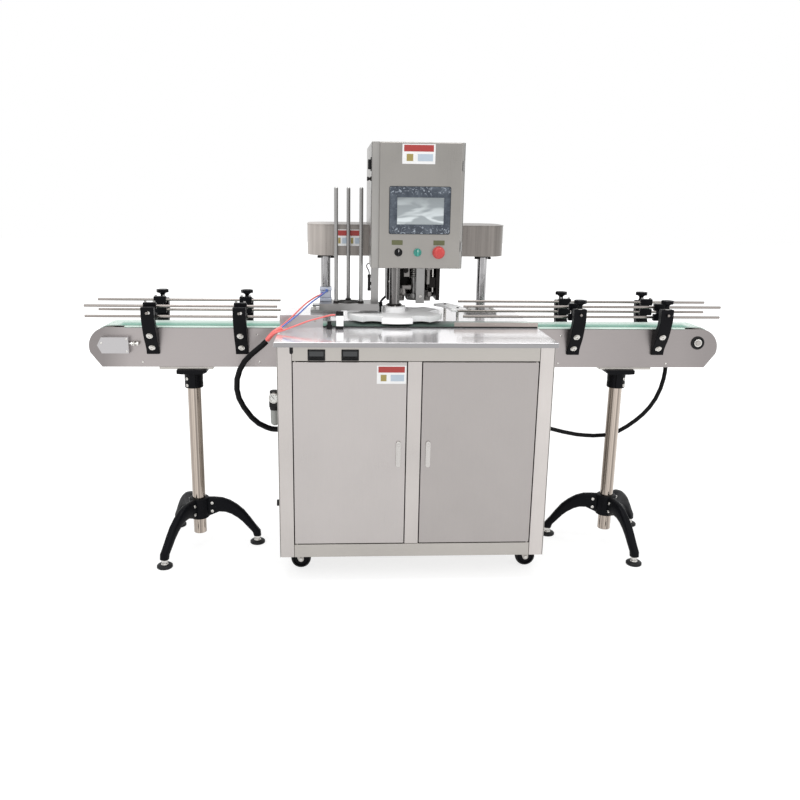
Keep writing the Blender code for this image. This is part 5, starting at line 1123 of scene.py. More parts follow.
@dataclass
class Cabinet(Assembly):
    """Tube frame, side sheets, doors, panel meters, casters and the filter regulator.

    Attributes:
        half: Half the width over the tubes.
        front: Front face of the frame.
        back: Rear face of the frame.
        bottom: Height of the frame's underside.
        top: Height of the frame's upper side.
        fascia: Height of the fascia's lower edge.
        tube: Size of the square tube.
        post_x: Middle of the middle post.
        fold: Radius of the tube's corners.
        seam: Gap between tubes that meet.
    """

    half: float = 0.4825
    front: float = -0.414
    back: float = 0.406
    bottom: float = 0.100
    top: float = 0.8974
    fascia: float = 0.8324
    tube: float = 0.050
    post_x: float = -0.006
    fold: float = 0.0025
    seam: float = 0.0004

    def build(self) -> None:
        """Make all of the cabinet."""
        self.posts()
        self.rails()
        self.skin()
        # The doors take the painted lit and painted shaded copies of one sheet.
        for name, side, finish in (("left", -1, LIT_LEFT_DOOR_STEEL), ("right", 1, SHADED_RIGHT_DOOR_STEEL)):
            self.door(name, side, finish)
            self.pull(name)
        self.label("door", (-0.1385, 0.7530), (-0.0365, 0.8175), self.front, "left_door")
        self.lock()
        for name in ("left_speed_meter", "right_speed_meter"):
            self.meter(name)
        for place in ("front_left", "front_right", "rear_left", "rear_right"):
            self.caster(place)
        self.filter_regulator()

    def posts(self) -> None:
        """Make the corner posts and the middle post of the frame."""
        h, t, shapes = self.half, self.tube, []
        for x0 in (-h, h - t):
            for y0 in (self.front, self.back - t):
                shapes.append(block((x0, y0, self.bottom), (x0 + t, y0 + t, self.top), self.fold))
        x0, gap = self.post_x - t / 2, self.seam
        shapes.append(block((x0, self.front + gap, self.bottom + t + gap),
                            (x0 + t, self.front + t, self.fascia - gap), self.fold))
        self.bench.put("frame_posts", shapes, TUBE_STEEL, replaces=["cabinet_frame"])

    def rails(self) -> None:
        """Make the rails, the fascia, the conveyor saddle and the floor sheet."""
        h, t, gap, front, back = self.half, self.tube, self.seam, self.front, self.back
        inner, slot_front, slot_back = h - t - gap, -0.109, 0.051
        saddle_top, rail = 0.7447, self.top - t
        shapes = [
            block((-inner, front + gap, self.bottom), (inner, front + t, self.bottom + t), self.fold),
            block((-inner, front + gap, self.fascia), (inner, front + t, self.top), self.fold),
            block((-inner, back - t, self.bottom), (inner, back - gap, self.bottom + t), self.fold),
            block((-inner, back - t, rail), (inner, back - gap, self.top), self.fold),
            block((-inner, slot_front - t, rail), (inner, slot_front, self.top), self.fold),
            block((-inner, front + t, self.bottom), (inner, back - t, self.bottom + 0.003), 0.0),
        ]
        for x0, x1 in ((-h + gap, -h + t), (h - t, h - gap)):
            shapes += [
                block((x0, front + t, self.bottom), (x1, back - t, self.bottom + t), self.fold),
                block((x0, front + t, rail), (x1, slot_front - t, self.top), self.fold),
                block((x0, slot_back + t, rail), (x1, back - t, self.top), self.fold),
                block((x0, slot_front - t, saddle_top - t), (x1, slot_front, self.top), self.fold),
                block((x0, slot_back, saddle_top - t), (x1, slot_back + t, self.top), self.fold),
                block((x0, slot_front, saddle_top - t), (x1, slot_back, saddle_top), self.fold),
            ]
        self.bench.put("frame_rails", shapes, RAIL_STEEL)

    def skin(self) -> None:
        """Repaint the side and back sheet and add its rivets and the small gland on the left."""
        self.bench.repaint("cabinet_skin", SKIN_STEEL)
        rivets = []
        for x in (-0.455, -0.30, -0.15, 0.0, 0.15, 0.30, 0.455):
            for z in (0.125, 0.872):
                rivets.append(screw((x, 0.4078, z), Axis.Y, 1, 0.0045, 0.0015, Head.DOME))
        for side in (-1, 1):
            for y in (-0.39, -0.20, 0.12, 0.25, 0.38):
                for z in (0.125, 0.66):
                    rivets.append(screw((side * 0.4843, y, z), Axis.X, side, 0.0045, 0.0015, Head.DOME))
        self.bench.put("skin_rivets", rivets, BOLT_STEEL)
        stub = turned([(0.0, -0.4840), (0.0145, -0.4840), (0.0145, -0.4925), (0.012, -0.4940), (0.012, -0.5010),
                       (0.0, -0.5010)], (-0.300, 0.2685), Axis.X, 24)
        self.bench.put("side_blanking_gland", stub, BLACK_NYLON)

    def door(self, name: str, side: int, finish: Finish) -> None:
        """Make a folded door with its stiffener and pivot pins.

        Args:
            name: "left" or "right".
            side: -1 or 1, the side of its hinge.
            finish: Its sheet.
        """
        low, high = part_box(name + "_door")
        pin = 0.0022
        z0, z1 = low.z + pin, high.z - pin
        pan = block((low.x, low.y, z0), (high.x, high.y, z1), 0.003, [Face.BACK])
        self.bench.put(name + "_door_sheet", pan, finish, name + "_door", [name + "_door"], sheet=0.0015)
        middle = (low.x + high.x) / 2
        channel = block((middle - 0.03, low.y + 0.0016, z0 + 0.01), (middle + 0.03, low.y + 0.018, z1 - 0.01), 0.002)
        x = low.x + 0.008 if side < 0 else high.x - 0.008
        pins = rod(0.003, low.z, high.z, (x, -0.410), Axis.Z, steps=16)
        hinge = low.x + 0.0016 if side < 0 else high.x - 0.016
        spine = block((hinge, low.y + 0.0016, z0 + 0.002), (hinge + 0.0144, high.y - 0.001, z1 - 0.002), 0.001)
        self.bench.put(name + "_door_stiffener", (channel, pins, spine), HIDDEN_STEEL, name + "_door")

    def pull(self, name: str) -> None:
        """Make the flat latch pull of a door.

        Args:
            name: "left" or "right".
        """
        low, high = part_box(name + "_door_lever")
        x, half = (low.x + high.x) / 2, (high.x - low.x) / 2
        outline = arc((x, high.z - half), half, 0, 180, 12) + arc((x, low.z + half), half, 180, 360, 12)
        plate = prism(outline, low.y + 0.001, high.y, Axis.Y, 0.0018)
        inset = rounded_rectangle(x - half * 0.5, x + half * 0.5, low.z + 0.014, high.z - 0.034, half * 0.45, 4)
        rib = prism(inset, low.y, low.y + 0.003, Axis.Y, 0.0008)
        lock = turned([(0.0, low.y), (0.0055, low.y), (0.0062, low.y + 0.0008), (0.0062, high.y), (0.0, high.y)],
                      (x, 0.530), Axis.Y, 24)
        self.bench.put(name + "_door_pull", (plate, rib, lock), PULL_STEEL, name + "_lever", [name + "_door_lever"])

    def lock(self) -> None:
        """Make the small cam lock between the left post and the fascia."""
        base = prism(rounded_rectangle(-0.4395, -0.4275, 0.858, 0.889, 0.0055, 6), self.front - 0.003, self.front,
                     Axis.Y, 0.0008)
        cam = prism(rounded_rectangle(-0.4365, -0.4305, 0.862, 0.884, 0.003, 4), self.front - 0.0075,
                    self.front - 0.0028, Axis.Y, 0.001)
        self.bench.put("fascia_lock", (base, cam), BLACK_ABS)

    def meter(self, name: str) -> None:
        """Make a panel meter: bezel, smoked window and three keys.

        Args:
            name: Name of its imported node.
        """
        low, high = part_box(name)
        face = self.front - 0.0003
        x, z = (low.x + high.x) / 2, (low.z + high.z) / 2
        w, h = (high.x - low.x) / 2, (high.z - low.z) / 2
        rim = 0.005
        shapes = [
            block((x - w, low.y, z + h - rim), (x + w, face, z + h), 0.0012),
            block((x - w, low.y, z - h), (x + w, face, z - h + rim), 0.0012),
            block((x - w, low.y, z - h), (x - w + rim, face, z + h), 0.0012),
            block((x + w - rim, low.y, z - h), (x + w, face, z + h), 0.0012),
            block((x - w + 0.004, face - 0.001, z - h + 0.004), (x + w - 0.004, high.y, z + h - 0.004), 0.001),
        ]
        for k in (-1, 0, 1):
            key_x, key_z = x + k * 0.013, z - h + 0.0095
            shapes.append(block((key_x - 0.004, low.y + 0.0012, key_z - 0.002), (key_x + 0.004, face, key_z + 0.002),
                                0.0008))
        self.bench.put(name + "_case", shapes, BLACK_ABS, replaces=[name])
        pane = block((x - w + rim, low.y + 0.0018, z - 0.004), (x + w - rim, face, z + h - rim), 0.0006)
        self.bench.put(name + "_window", pane, GREY_WINDOW)

    def caster(self, place: str) -> None:
        """Make a swivel caster: plate, race, fork, axle bolt, tyre and wheel centre.

        Args:
            place: Such as "front_left".
        """
        low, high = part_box("caster_fork_" + place)
        wheel_low, wheel_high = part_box("caster_wheel_" + place)
        x, y, top = low.x + 0.030, (low.y + high.y) / 2, high.z
        axle_x, axle_z = (wheel_low.x + wheel_high.x) / 2, (wheel_low.z + wheel_high.z) / 2
        radius, half = (wheel_high.z - wheel_low.z) / 2, (wheel_high.y - wheel_low.y) / 2
        body = "fork_" + place
        shapes = [
            block((x - 0.030, y - 0.030, top - 0.004), (x + 0.030, y + 0.030, top), 0.0012),
            turned([(0, top - 0.0125), (0.017, top - 0.0125), (0.021, top - 0.009), (0.021, top - 0.0045),
                    (0.015, top - 0.004), (0, top - 0.004)], (x, y), Axis.Z, 28),
            block((x - 0.014, y - 0.017, top - 0.0165), (x + 0.026, y + 0.017, top - 0.012), 0.0012),
        ]
        for side in (-1, 1):
            outline = [(x - 0.012, top - 0.014), *arc((axle_x, axle_z), 0.011, 200, 350, 8), (x + 0.026, top - 0.014)]
            y0, y1 = sorted((y + side * (half + 0.002), y + side * (half + 0.005)))
            shapes.append(prism(outline, y0, y1, Axis.Y, 0.0006))
        self.bench.put("caster_fork_steel_" + place, shapes, RAIL_STEEL, body, ["caster_fork_" + place])
        ends = half + 0.005
        bolt = [rod(0.0038, y - ends, y + ends, (axle_x, axle_z), Axis.Y, steps=16)]
        for side in (-1, 1):
            bolt.append(screw((axle_x, y + side * ends, axle_z), Axis.Y, side, 0.0068, 0.004, Head.HEXAGON))
        self.bench.put("caster_axle_" + place, bolt, BOLT_STEEL, body)
        tyre = [(radius - 0.008, y - half), (radius - 0.0035, y - half), (radius - 0.001, y - half + 0.003),
                (radius, y - half + 0.008)]
        self.bench.put("caster_tyre_" + place, turned(mirrored(tyre, y), (axle_x, axle_z), Axis.Y, 48), TYRE_RUBBER,
                       "wheel_" + place, ["caster_wheel_" + place])
        hub = [(0.0042, y - half + 0.001), (0.010, y - half + 0.001), (0.011, y - half + 0.004),
               (radius - 0.010, y - half + 0.005), (radius - 0.0078, y - half + 0.001)]
        centre = turned(mirrored(hub, y), (axle_x, axle_z), Axis.Y, 40)
        self.bench.put("caster_wheel_centre_" + place, centre, BLACK_NYLON, "wheel_" + place, slot="wheel_rubber")

    def filter_regulator(self) -> None:
        """Make the filter regulator on the left side: body, knob, bowl and gauge."""
        low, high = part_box("filter_regulator")
        x, y = (low.x + high.x) / 2, -0.264
        body_low, gauge_z = 0.632, 0.672
        shapes = [
            block((low.x + 0.002, y - 0.019, body_low), (high.x, y + 0.019, high.z - 0.016), 0.003),
            turned([(0, high.z - 0.018), (0.0165, high.z - 0.018), (0.0175, high.z - 0.012), (0.0175, high.z - 0.003),
                    (0.015, high.z), (0, high.z)], (x, y), Axis.Z, 20),
            turned([(0, body_low + 0.001), (0.0185, body_low + 0.001), (0.0185, body_low - 0.010),
                    (0.0172, body_low - 0.012), (0, body_low - 0.012)], (x, y), Axis.Z, 32),
        ]
        self.bench.put("filter_body", shapes, BLACK_ABS, replaces=["filter_regulator"])
        bowl = [(0, low.z), (0.008, low.z + 0.001), (0.0135, low.z + 0.006), (0.0155, low.z + 0.014),
                (0.016, body_low - 0.011), (0, body_low - 0.011)]
        self.bench.put("filter_bowl", turned(bowl, (x, y), Axis.Z, 32), CLEAR_BOWL)
        front = low.y
        case = [(0, front + 0.003), (0.0155, front + 0.003), (0.0155, front), (0.018, front + 0.0008),
                (0.0188, front + 0.003), (0.0188, front + 0.016), (0.008, front + 0.019), (0.008, y - 0.018),
                (0, y - 0.018)]
        self.bench.put("gauge_case", turned(case, (x, gauge_z), Axis.Y, 40), BOLT_STEEL)
        self.bench.put("gauge_dial", rod(0.0152, front + 0.0022, front + 0.0034, (x, gauge_z), Axis.Y), DIAL_WHITE)
        marks = []
        for k in range(9):
            mark = block((-0.0006, -0.0002, 0.0105), (0.0006, 0.0002, 0.0138), 0.0)
            marks.append(seated(mark, (x, front + 0.0021, gauge_z), -135 + k * 33.75, "Y"))
        needle = seated(block((-0.0007, -0.0003, -0.003), (0.0007, 0.0003, 0.011), 0.0),
                        (x, front + 0.0016, gauge_z), -40, "Y")
        self.bench.put("gauge_needle_and_marks", (needle, *marks), BLACK_ABS)


# Table


@dataclass
class Table(Assembly):
    """Front and rear table pans, the low guards and the can sensors.

    Attributes:
        half: Half the table's width.
        front: Front face of the lip.
        slot_front: Front edge of the conveyor slot.
        top: Height of the table.
        lip: Height of the folded lip.
        sheet: Thickness of the sheet.
    """

    half: float = 0.4935
    front: float = -0.425
    slot_front: float = -0.109
    top: float = 0.900
    lip: float = 0.017
    sheet: float = 0.0023

    def build(self) -> None:
        """Make all of the table."""
        pan = block((-self.half, self.front, self.top - self.lip), (self.half, self.slot_front, self.top), 0.003,
                    [Face.BOTTOM, Face.BACK])
        self.bench.put("table_front_pan", pan, TABLE_STEEL, replaces=["table_front"], sheet=self.sheet)
        self.bench.repaint("table_rear", TABLE_STEEL)
        self.guards()
        self.sensors()

    def guards(self) -> None:
        """Make the two low guards along the slot, their screws and a black strip of painted shadow at their foot."""
        y0, y1 = self.slot_front - 0.003, self.slot_front
        tall = block((-self.half, y0, self.top - 0.001), (-0.330, y1, 0.947), 0.0008)
        self.bench.put("left_slot_guard", tall, COVER_STEEL)
        shapes = [block((0.170, y0, self.top - 0.001), (self.half, y1, 0.921), 0.0008)]
        for x in (0.20, 0.33, 0.46):
            shapes.append(screw((x, y0, 0.911), Axis.Y, -1, 0.0035, 0.0016, Head.DOME))
        for x in (-0.47, -0.36):
            shapes.append(screw((x, y0, 0.925), Axis.Y, -1, 0.0045, 0.002, Head.DOME))
        self.bench.put("right_slot_guard", shapes, GUARD_STEEL)
        # Painted shadow: a thin black strip at the foot of the guards stands in for the shadow gap between guard and
        # table.
        shadow_strip = block((-0.330, y0 - 0.0012, self.top - 0.0005), (self.half - 0.002, y0 + 0.0002, self.top + 0.0055),
                     0.0003)
        self.bench.put("lane_edge_painted_shadow", shadow_strip, FOOT_RUBBER, slot="black_plastic")

    def sensors(self) -> None:
        """Make the two can sensors in front of the lane."""
        y, left, width = -0.151, -0.283, 0.030
        white = [
            block((left + 0.003, y - 0.005, 0.912), (left + width, y + 0.005, 0.951), 0.0012),
            block((left + width - 0.004, y - 0.003, 0.955), (left + width + 0.006, y + 0.003, 0.9635), 0.001),
        ]
        self.bench.put("can_sensor_body", white, WHITE_STAR)
        black = [
            block((left, y - 0.005, self.top), (left + width, y + 0.005, 0.912), 0.001),
            block((left + 0.002, y - 0.005, 0.951), (left + width, y + 0.005, 0.968), 0.0015),
            block((left - 0.034, y - 0.005, self.top), (left - 0.012, y + 0.005, 0.917), 0.001),
            rod(0.0075, 0.917, 0.930, (left - 0.023, y), Axis.Z, 0.001, 20),
            screw((left - 0.030, y - 0.005, 0.908), Axis.Y, -1, 0.003, 0.002),
        ]
        self.bench.put("can_sensor_foot_and_head", black, BLACK_ABS)


# Conveyor


@dataclass
class Conveyor(Assembly):
    """Side plates, bracket arms, guide rails, belt, end rollers and bearing cover.

    Attributes:
        half: Half the conveyor's length.
        plate_front: Outer face of the front plate.
        plate_back: Outer face of the rear plate.
        bottom: Height of the plates' lower edge.
        top: Height of the plates' upper edge.
        sheet: Thickness of the plates.
        nose: Radius of the plates' round ends.
        foot_inset: How far the plates' lower edge ends before their round ends do.
        belt_front: Front edge of the belt.
        belt_back: Rear edge of the belt.
        roller_x: Distance of the end rollers from the middle.
        roller_z: Height of the end rollers' axes.
        arm_x: Distances of the bracket arms from the middle.
        arm_width: Width of an arm along the conveyor.
        upper: Height of the upper guide rods.
        lower: Height of the lower guide rods.
        pin: Height of the cross pins.
        rail_out: How far the guide rods lie outside the plates, by left group and side.
    """

    rail_out: dict[tuple[bool, int], float] = field(
        default_factory=lambda: {(True, -1): 0.021, (True, 1): 0.006, (False, -1): -0.009, (False, 1): 0.002}
    )
    half: float = 1.211
    plate_front: float = -0.104
    plate_back: float = 0.046
    bottom: float = 0.745
    top: float = 0.897
    sheet: float = 0.003
    nose: float = 0.074
    foot_inset: float = 0.045
    belt_front: float = -0.089
    belt_back: float = 0.031
    roller_x: float = 1.131
    roller_z: float = 0.843
    arm_x: Pair = (0.637, 0.971)
    arm_width: float = 0.048
    upper: float = 0.981
    lower: float = 0.942
    pin: float = 0.9615

    def build(self) -> None:
        """Make all of the conveyor."""
        self.plates()
        self.arms()
        self.rails()
        self.belt()
        self.ends()

    def plates(self) -> None:
        """Make the side plates, their screws and the wear strips on them."""
        nose, foot = (self.half - self.nose, self.top - self.nose), self.half - self.foot_inset
        right = arc(nose, self.nose, -18, 90, 24)
        outline = [(foot, self.bottom)] + right + [(-x, z) for x, z in reversed(right)] + [(-foot, self.bottom)]
        for name, outer, side in (("front", self.plate_front, -1), ("rear", self.plate_back, 1)):
            inner = outer - side * self.sheet
            plate = prism(outline, min(inner, outer), max(inner, outer), Axis.Y, 0.0006)
            self.bench.put(name + "_side_plate", plate, PLATE_STEEL, replaces=[name + "_conveyor_plate"])
            heads = []
            for x, z in ((-1.013, 0.7635), (-0.5786, 0.8708), (-0.5732, 0.7642), (0.5828, 0.7600), (1.0118, 0.7606),
                         (0.5881, 0.8688), (0.6211, 0.8748)):
                heads.append(screw((x, outer, z), Axis.Y, side, 0.0042, 0.0022, Head.DOME))
            self.bench.put(name + "_plate_screws", heads, BOLT_STEEL)
        strips = [
            block((-1.075, y0, self.top - 0.003), (1.075, y0 + 0.0125, self.top + 0.0035), 0.0008)
            for y0 in (self.plate_front, self.plate_back - 0.0125)
        ]
        self.bench.put("belt_wear_strips", strips, WEAR_STRIP)

    def arms(self) -> None:
        """Make the eight moulded arms with their bolts, washers and knobs."""
        outer_face = ((0.010, 0.796), (0.014, 0.816), (0.026, 0.836), (0.040, 0.856), (0.050, 0.875), (0.058, 0.896),
                      (0.065, 0.917), (0.070, 0.931), (0.072, 0.940), (0.072, 0.982))
        inner_face = ((0.044, 0.982), (0.044, 0.937), (0.038, 0.915), (0.028, 0.900), (0.014, 0.892), (0.0, 0.8895))
        for depth, outer, side in (("front", self.plate_front, -1), ("rear", self.plate_back, 1)):
            for number, x in enumerate((-self.arm_x[1], -self.arm_x[0], self.arm_x[0], self.arm_x[1]), 1):
                outline = [(outer + side * out, z) for out, z in ((0.0, 0.796), *outer_face, *inner_face)]
                arm = prism(outline, x - self.arm_width / 2, x + self.arm_width / 2, Axis.X, 0.0022)
                self.bench.put(f"{depth}_bracket_arm_{number}", arm, BLACK_NYLON)
                bright = []
                for z, out, slope in ((0.8225, 0.0173, 31.0), (0.8725, 0.0483, 28.0)):
                    washer = rod(0.0120, min(0.0, side * 0.0012), max(0.0, side * 0.0012), (0.0, 0.0), Axis.Y, steps=24)
                    bolt = screw((0.0, side * 0.0010, 0.0), Axis.Y, side, 0.0088, 0.0050)
                    place = (x - 0.001, outer + side * out, z)
                    bright += [seated(shape, place, -side * slope, "X") for shape in (washer, bolt)]
                head = outer + side * 0.058
                if side > 0 or x > 0:
                    self.knob(f"{depth}_clamp_knob_{number}", x, head)
                    bright.append(rod(0.0125, 0.9815, 0.9838, (x, head), Axis.Z, steps=24))
                else:
                    bright.append(screw((x + 0.006, outer - 0.072, 0.962), Axis.Y, -1, 0.0058, 0.0036, Head.HEXAGON))
                self.bench.put(f"{depth}_arm_bolts_{number}", bright, BOLT_STEEL)

    def knob(self, name: str, x: float, y: float) -> None:
        """Make a lobed clamping knob on top of an arm.

        Args:
            name: Name of the piece.
            x: Its place along the conveyor.
            y: Its place across the conveyor.
        """
        outline = [polar((x, y), 0.0225 + 0.0015 * math.cos(math.radians(45 * i)), 7.5 * i) for i in range(48)]
        grip = prism(outline, 1.0035, 1.0155, Axis.Z, 0.0)
        neck = turned([(0, 0.9835), (0.0105, 0.9835), (0.0085, 0.988), (0.0085, 0.996), (0.014, 1.001),
                       (0.021, 1.0045), (0, 1.0045)], (x, y), Axis.Z, 32)
        cap = turned([(0, 1.0135), (0.021, 1.0135), (0.0185, 1.0160), (0.010, 1.0150), (0, 1.0145)], (x, y),
                     Axis.Z, 32)
        self.bench.put(name, (grip, neck, cap), BLACK_NYLON)

    def rails(self) -> None:
        """Make the four guide rails: rods, moulded clamps and cross pins."""
        for left in (True, False):
            span = (-self.half, -0.500) if left else (0.205, self.half)
            arms = [-self.arm_x[1], -self.arm_x[0]] if left else list(self.arm_x)
            for depth, side in (("front", -1), ("rear", 1)):
                face = self.plate_front if side < 0 else self.plate_back
                y = face + side * self.rail_out[(left, side)]
                name = f"{'left' if left else 'right'}_{depth}_rail"
                bright = [rod(0.005, *span, (y, z), Axis.X, 0.001, 20) for z in (self.upper, self.lower)]
                far = face + side * 0.084
                for x in arms:
                    bright.append(rod(0.005, *sorted((y, far)), (x, self.pin), Axis.Y, 0.0008, 20))
                self.bench.put(name + "_rods", bright, ROD_STEEL, name, [name])
                shapes, heads = [], []
                near, end = sorted((y - side * 0.002, face + side * 0.043))
                for x in arms:
                    shapes += [
                        block((x - 0.024, y - 0.009, 0.9290), (x + 0.024, y + 0.009, 0.9545), 0.002),
                        block((x - 0.024, y - 0.009, 0.9685), (x + 0.024, y + 0.009, 0.9940), 0.002),
                        block((x - 0.012, y - 0.007, 0.9535), (x + 0.012, y + 0.007, 0.9695), 0.001),
                        block((x - 0.009, near, 0.9545), (x + 0.009, end, 0.9685), 0.0015),
                    ]
                    heads += [screw((x + k * 0.016, y, 0.9940), Axis.Z, 1, 0.0048, 0.0055) for k in (-1, 1)]
                    heads.append(screw((x + 0.016, y + side * 0.009, 0.9400), Axis.Y, side, 0.0040, 0.0030))
                self.bench.put(name + "_clamps", shapes, BLACK_NYLON, name)
                self.bench.put(name + "_clamp_screws", heads, BLOCK_STEEL, name)

    def belt(self) -> None:
        """Make the belt as a green cover on its pale cloth."""

        def band(outer: float, inner: float) -> Shape:
            """Make one endless layer of the belt.

            Args:
                outer: Radius of its outer side round the rollers.
                inner: Radius of its inner side.

            Returns:
                The shape.
            """
            shape, rings = bmesh.new(), []
            for radius, y in ((outer, self.belt_front), (outer, self.belt_back), (inner, self.belt_back),
                              (inner, self.belt_front)):
                loop = arc((self.roller_x, self.roller_z), radius, -90, 90, 40)
                loop += arc((-self.roller_x, self.roller_z), radius, 90, 270, 40)
                rings.append([shape.verts.new((x, y, z)) for x, z in loop])
            return skin(shape, rings, True)

        self.bench.put("belt_cover", band(0.0600, 0.0590), GREEN_COVER, replaces=["conveyor_belt"])
        self.bench.put("belt_carcass", band(0.0590, 0.0570), BELT_CLOTH)
        self.bench.repaint("conveyor_bed", HIDDEN_STEEL)

    def ends(self) -> None:
        """Dress the end rollers, the bearing cover, the tensioner and the bearing rings."""
        self.bench.repaint("tail_roller", HIDDEN_STEEL)
        self.bench.repaint("drive_roller", HIDDEN_STEEL)
        self.bench.repaint("tail_cover", COVER_STEEL)
        x, z = self.roller_x, self.roller_z
        rings, collars = [], []
        for place, outer, side in ((x, self.plate_front, -1), (x, self.plate_back, 1), (-x, self.plate_back, 1)):
            a, b = outer, outer + side * 0.0045
            rings.append(turned([(0.019, a), (0.026, a), (0.026, b - side * 0.001), (0.025, b), (0.020, b)],
                                (place, z), Axis.Y, 40))
            collars.append(turned([(0.0108, a), (0.0155, a), (0.0155, outer + side * 0.006),
                                   (0.0145, outer + side * 0.007), (0.0108, outer + side * 0.007)], (place, z),
                                  Axis.Y, 40))
            rings.append(turned([(0.0155, a), (0.0192, a), (0.0192, outer + side * 0.001),
                                 (0.0155, outer + side * 0.001)], (place, z), Axis.Y, 40))
        self.bench.put("bearing_seals", rings, BLACK_ABS)
        self.bench.put("bearing_collars", collars, BOLT_STEEL)
        face = self.plate_front - 0.0253
        shapes = [screw((px, face, pz), Axis.Y, -1, 0.0042, 0.002, Head.DOME)
                  for px, pz in ((-1.157, 0.8405), (-1.064, 0.8560), (-1.064, 0.8085))]
        tension_y = self.plate_front - 0.014
        shapes += [
            rod(0.004, -1.0565, -1.021, (tension_y, 0.837), Axis.X, 0.0008, 16),
            hexagon((tension_y, 0.837), 0.0078, -1.049, -1.043, Axis.X, 0.0006),
            hexagon((tension_y, 0.837), 0.0078, -1.0285, -1.022, Axis.X, 0.0006),
            block((-1.040, self.plate_front - 0.022, 0.829), (-1.036, self.plate_front, 0.846), 0.0006),
        ]
        self.bench.put("tail_tensioner_and_screws", shapes, BOLT_STEEL)


# Stands


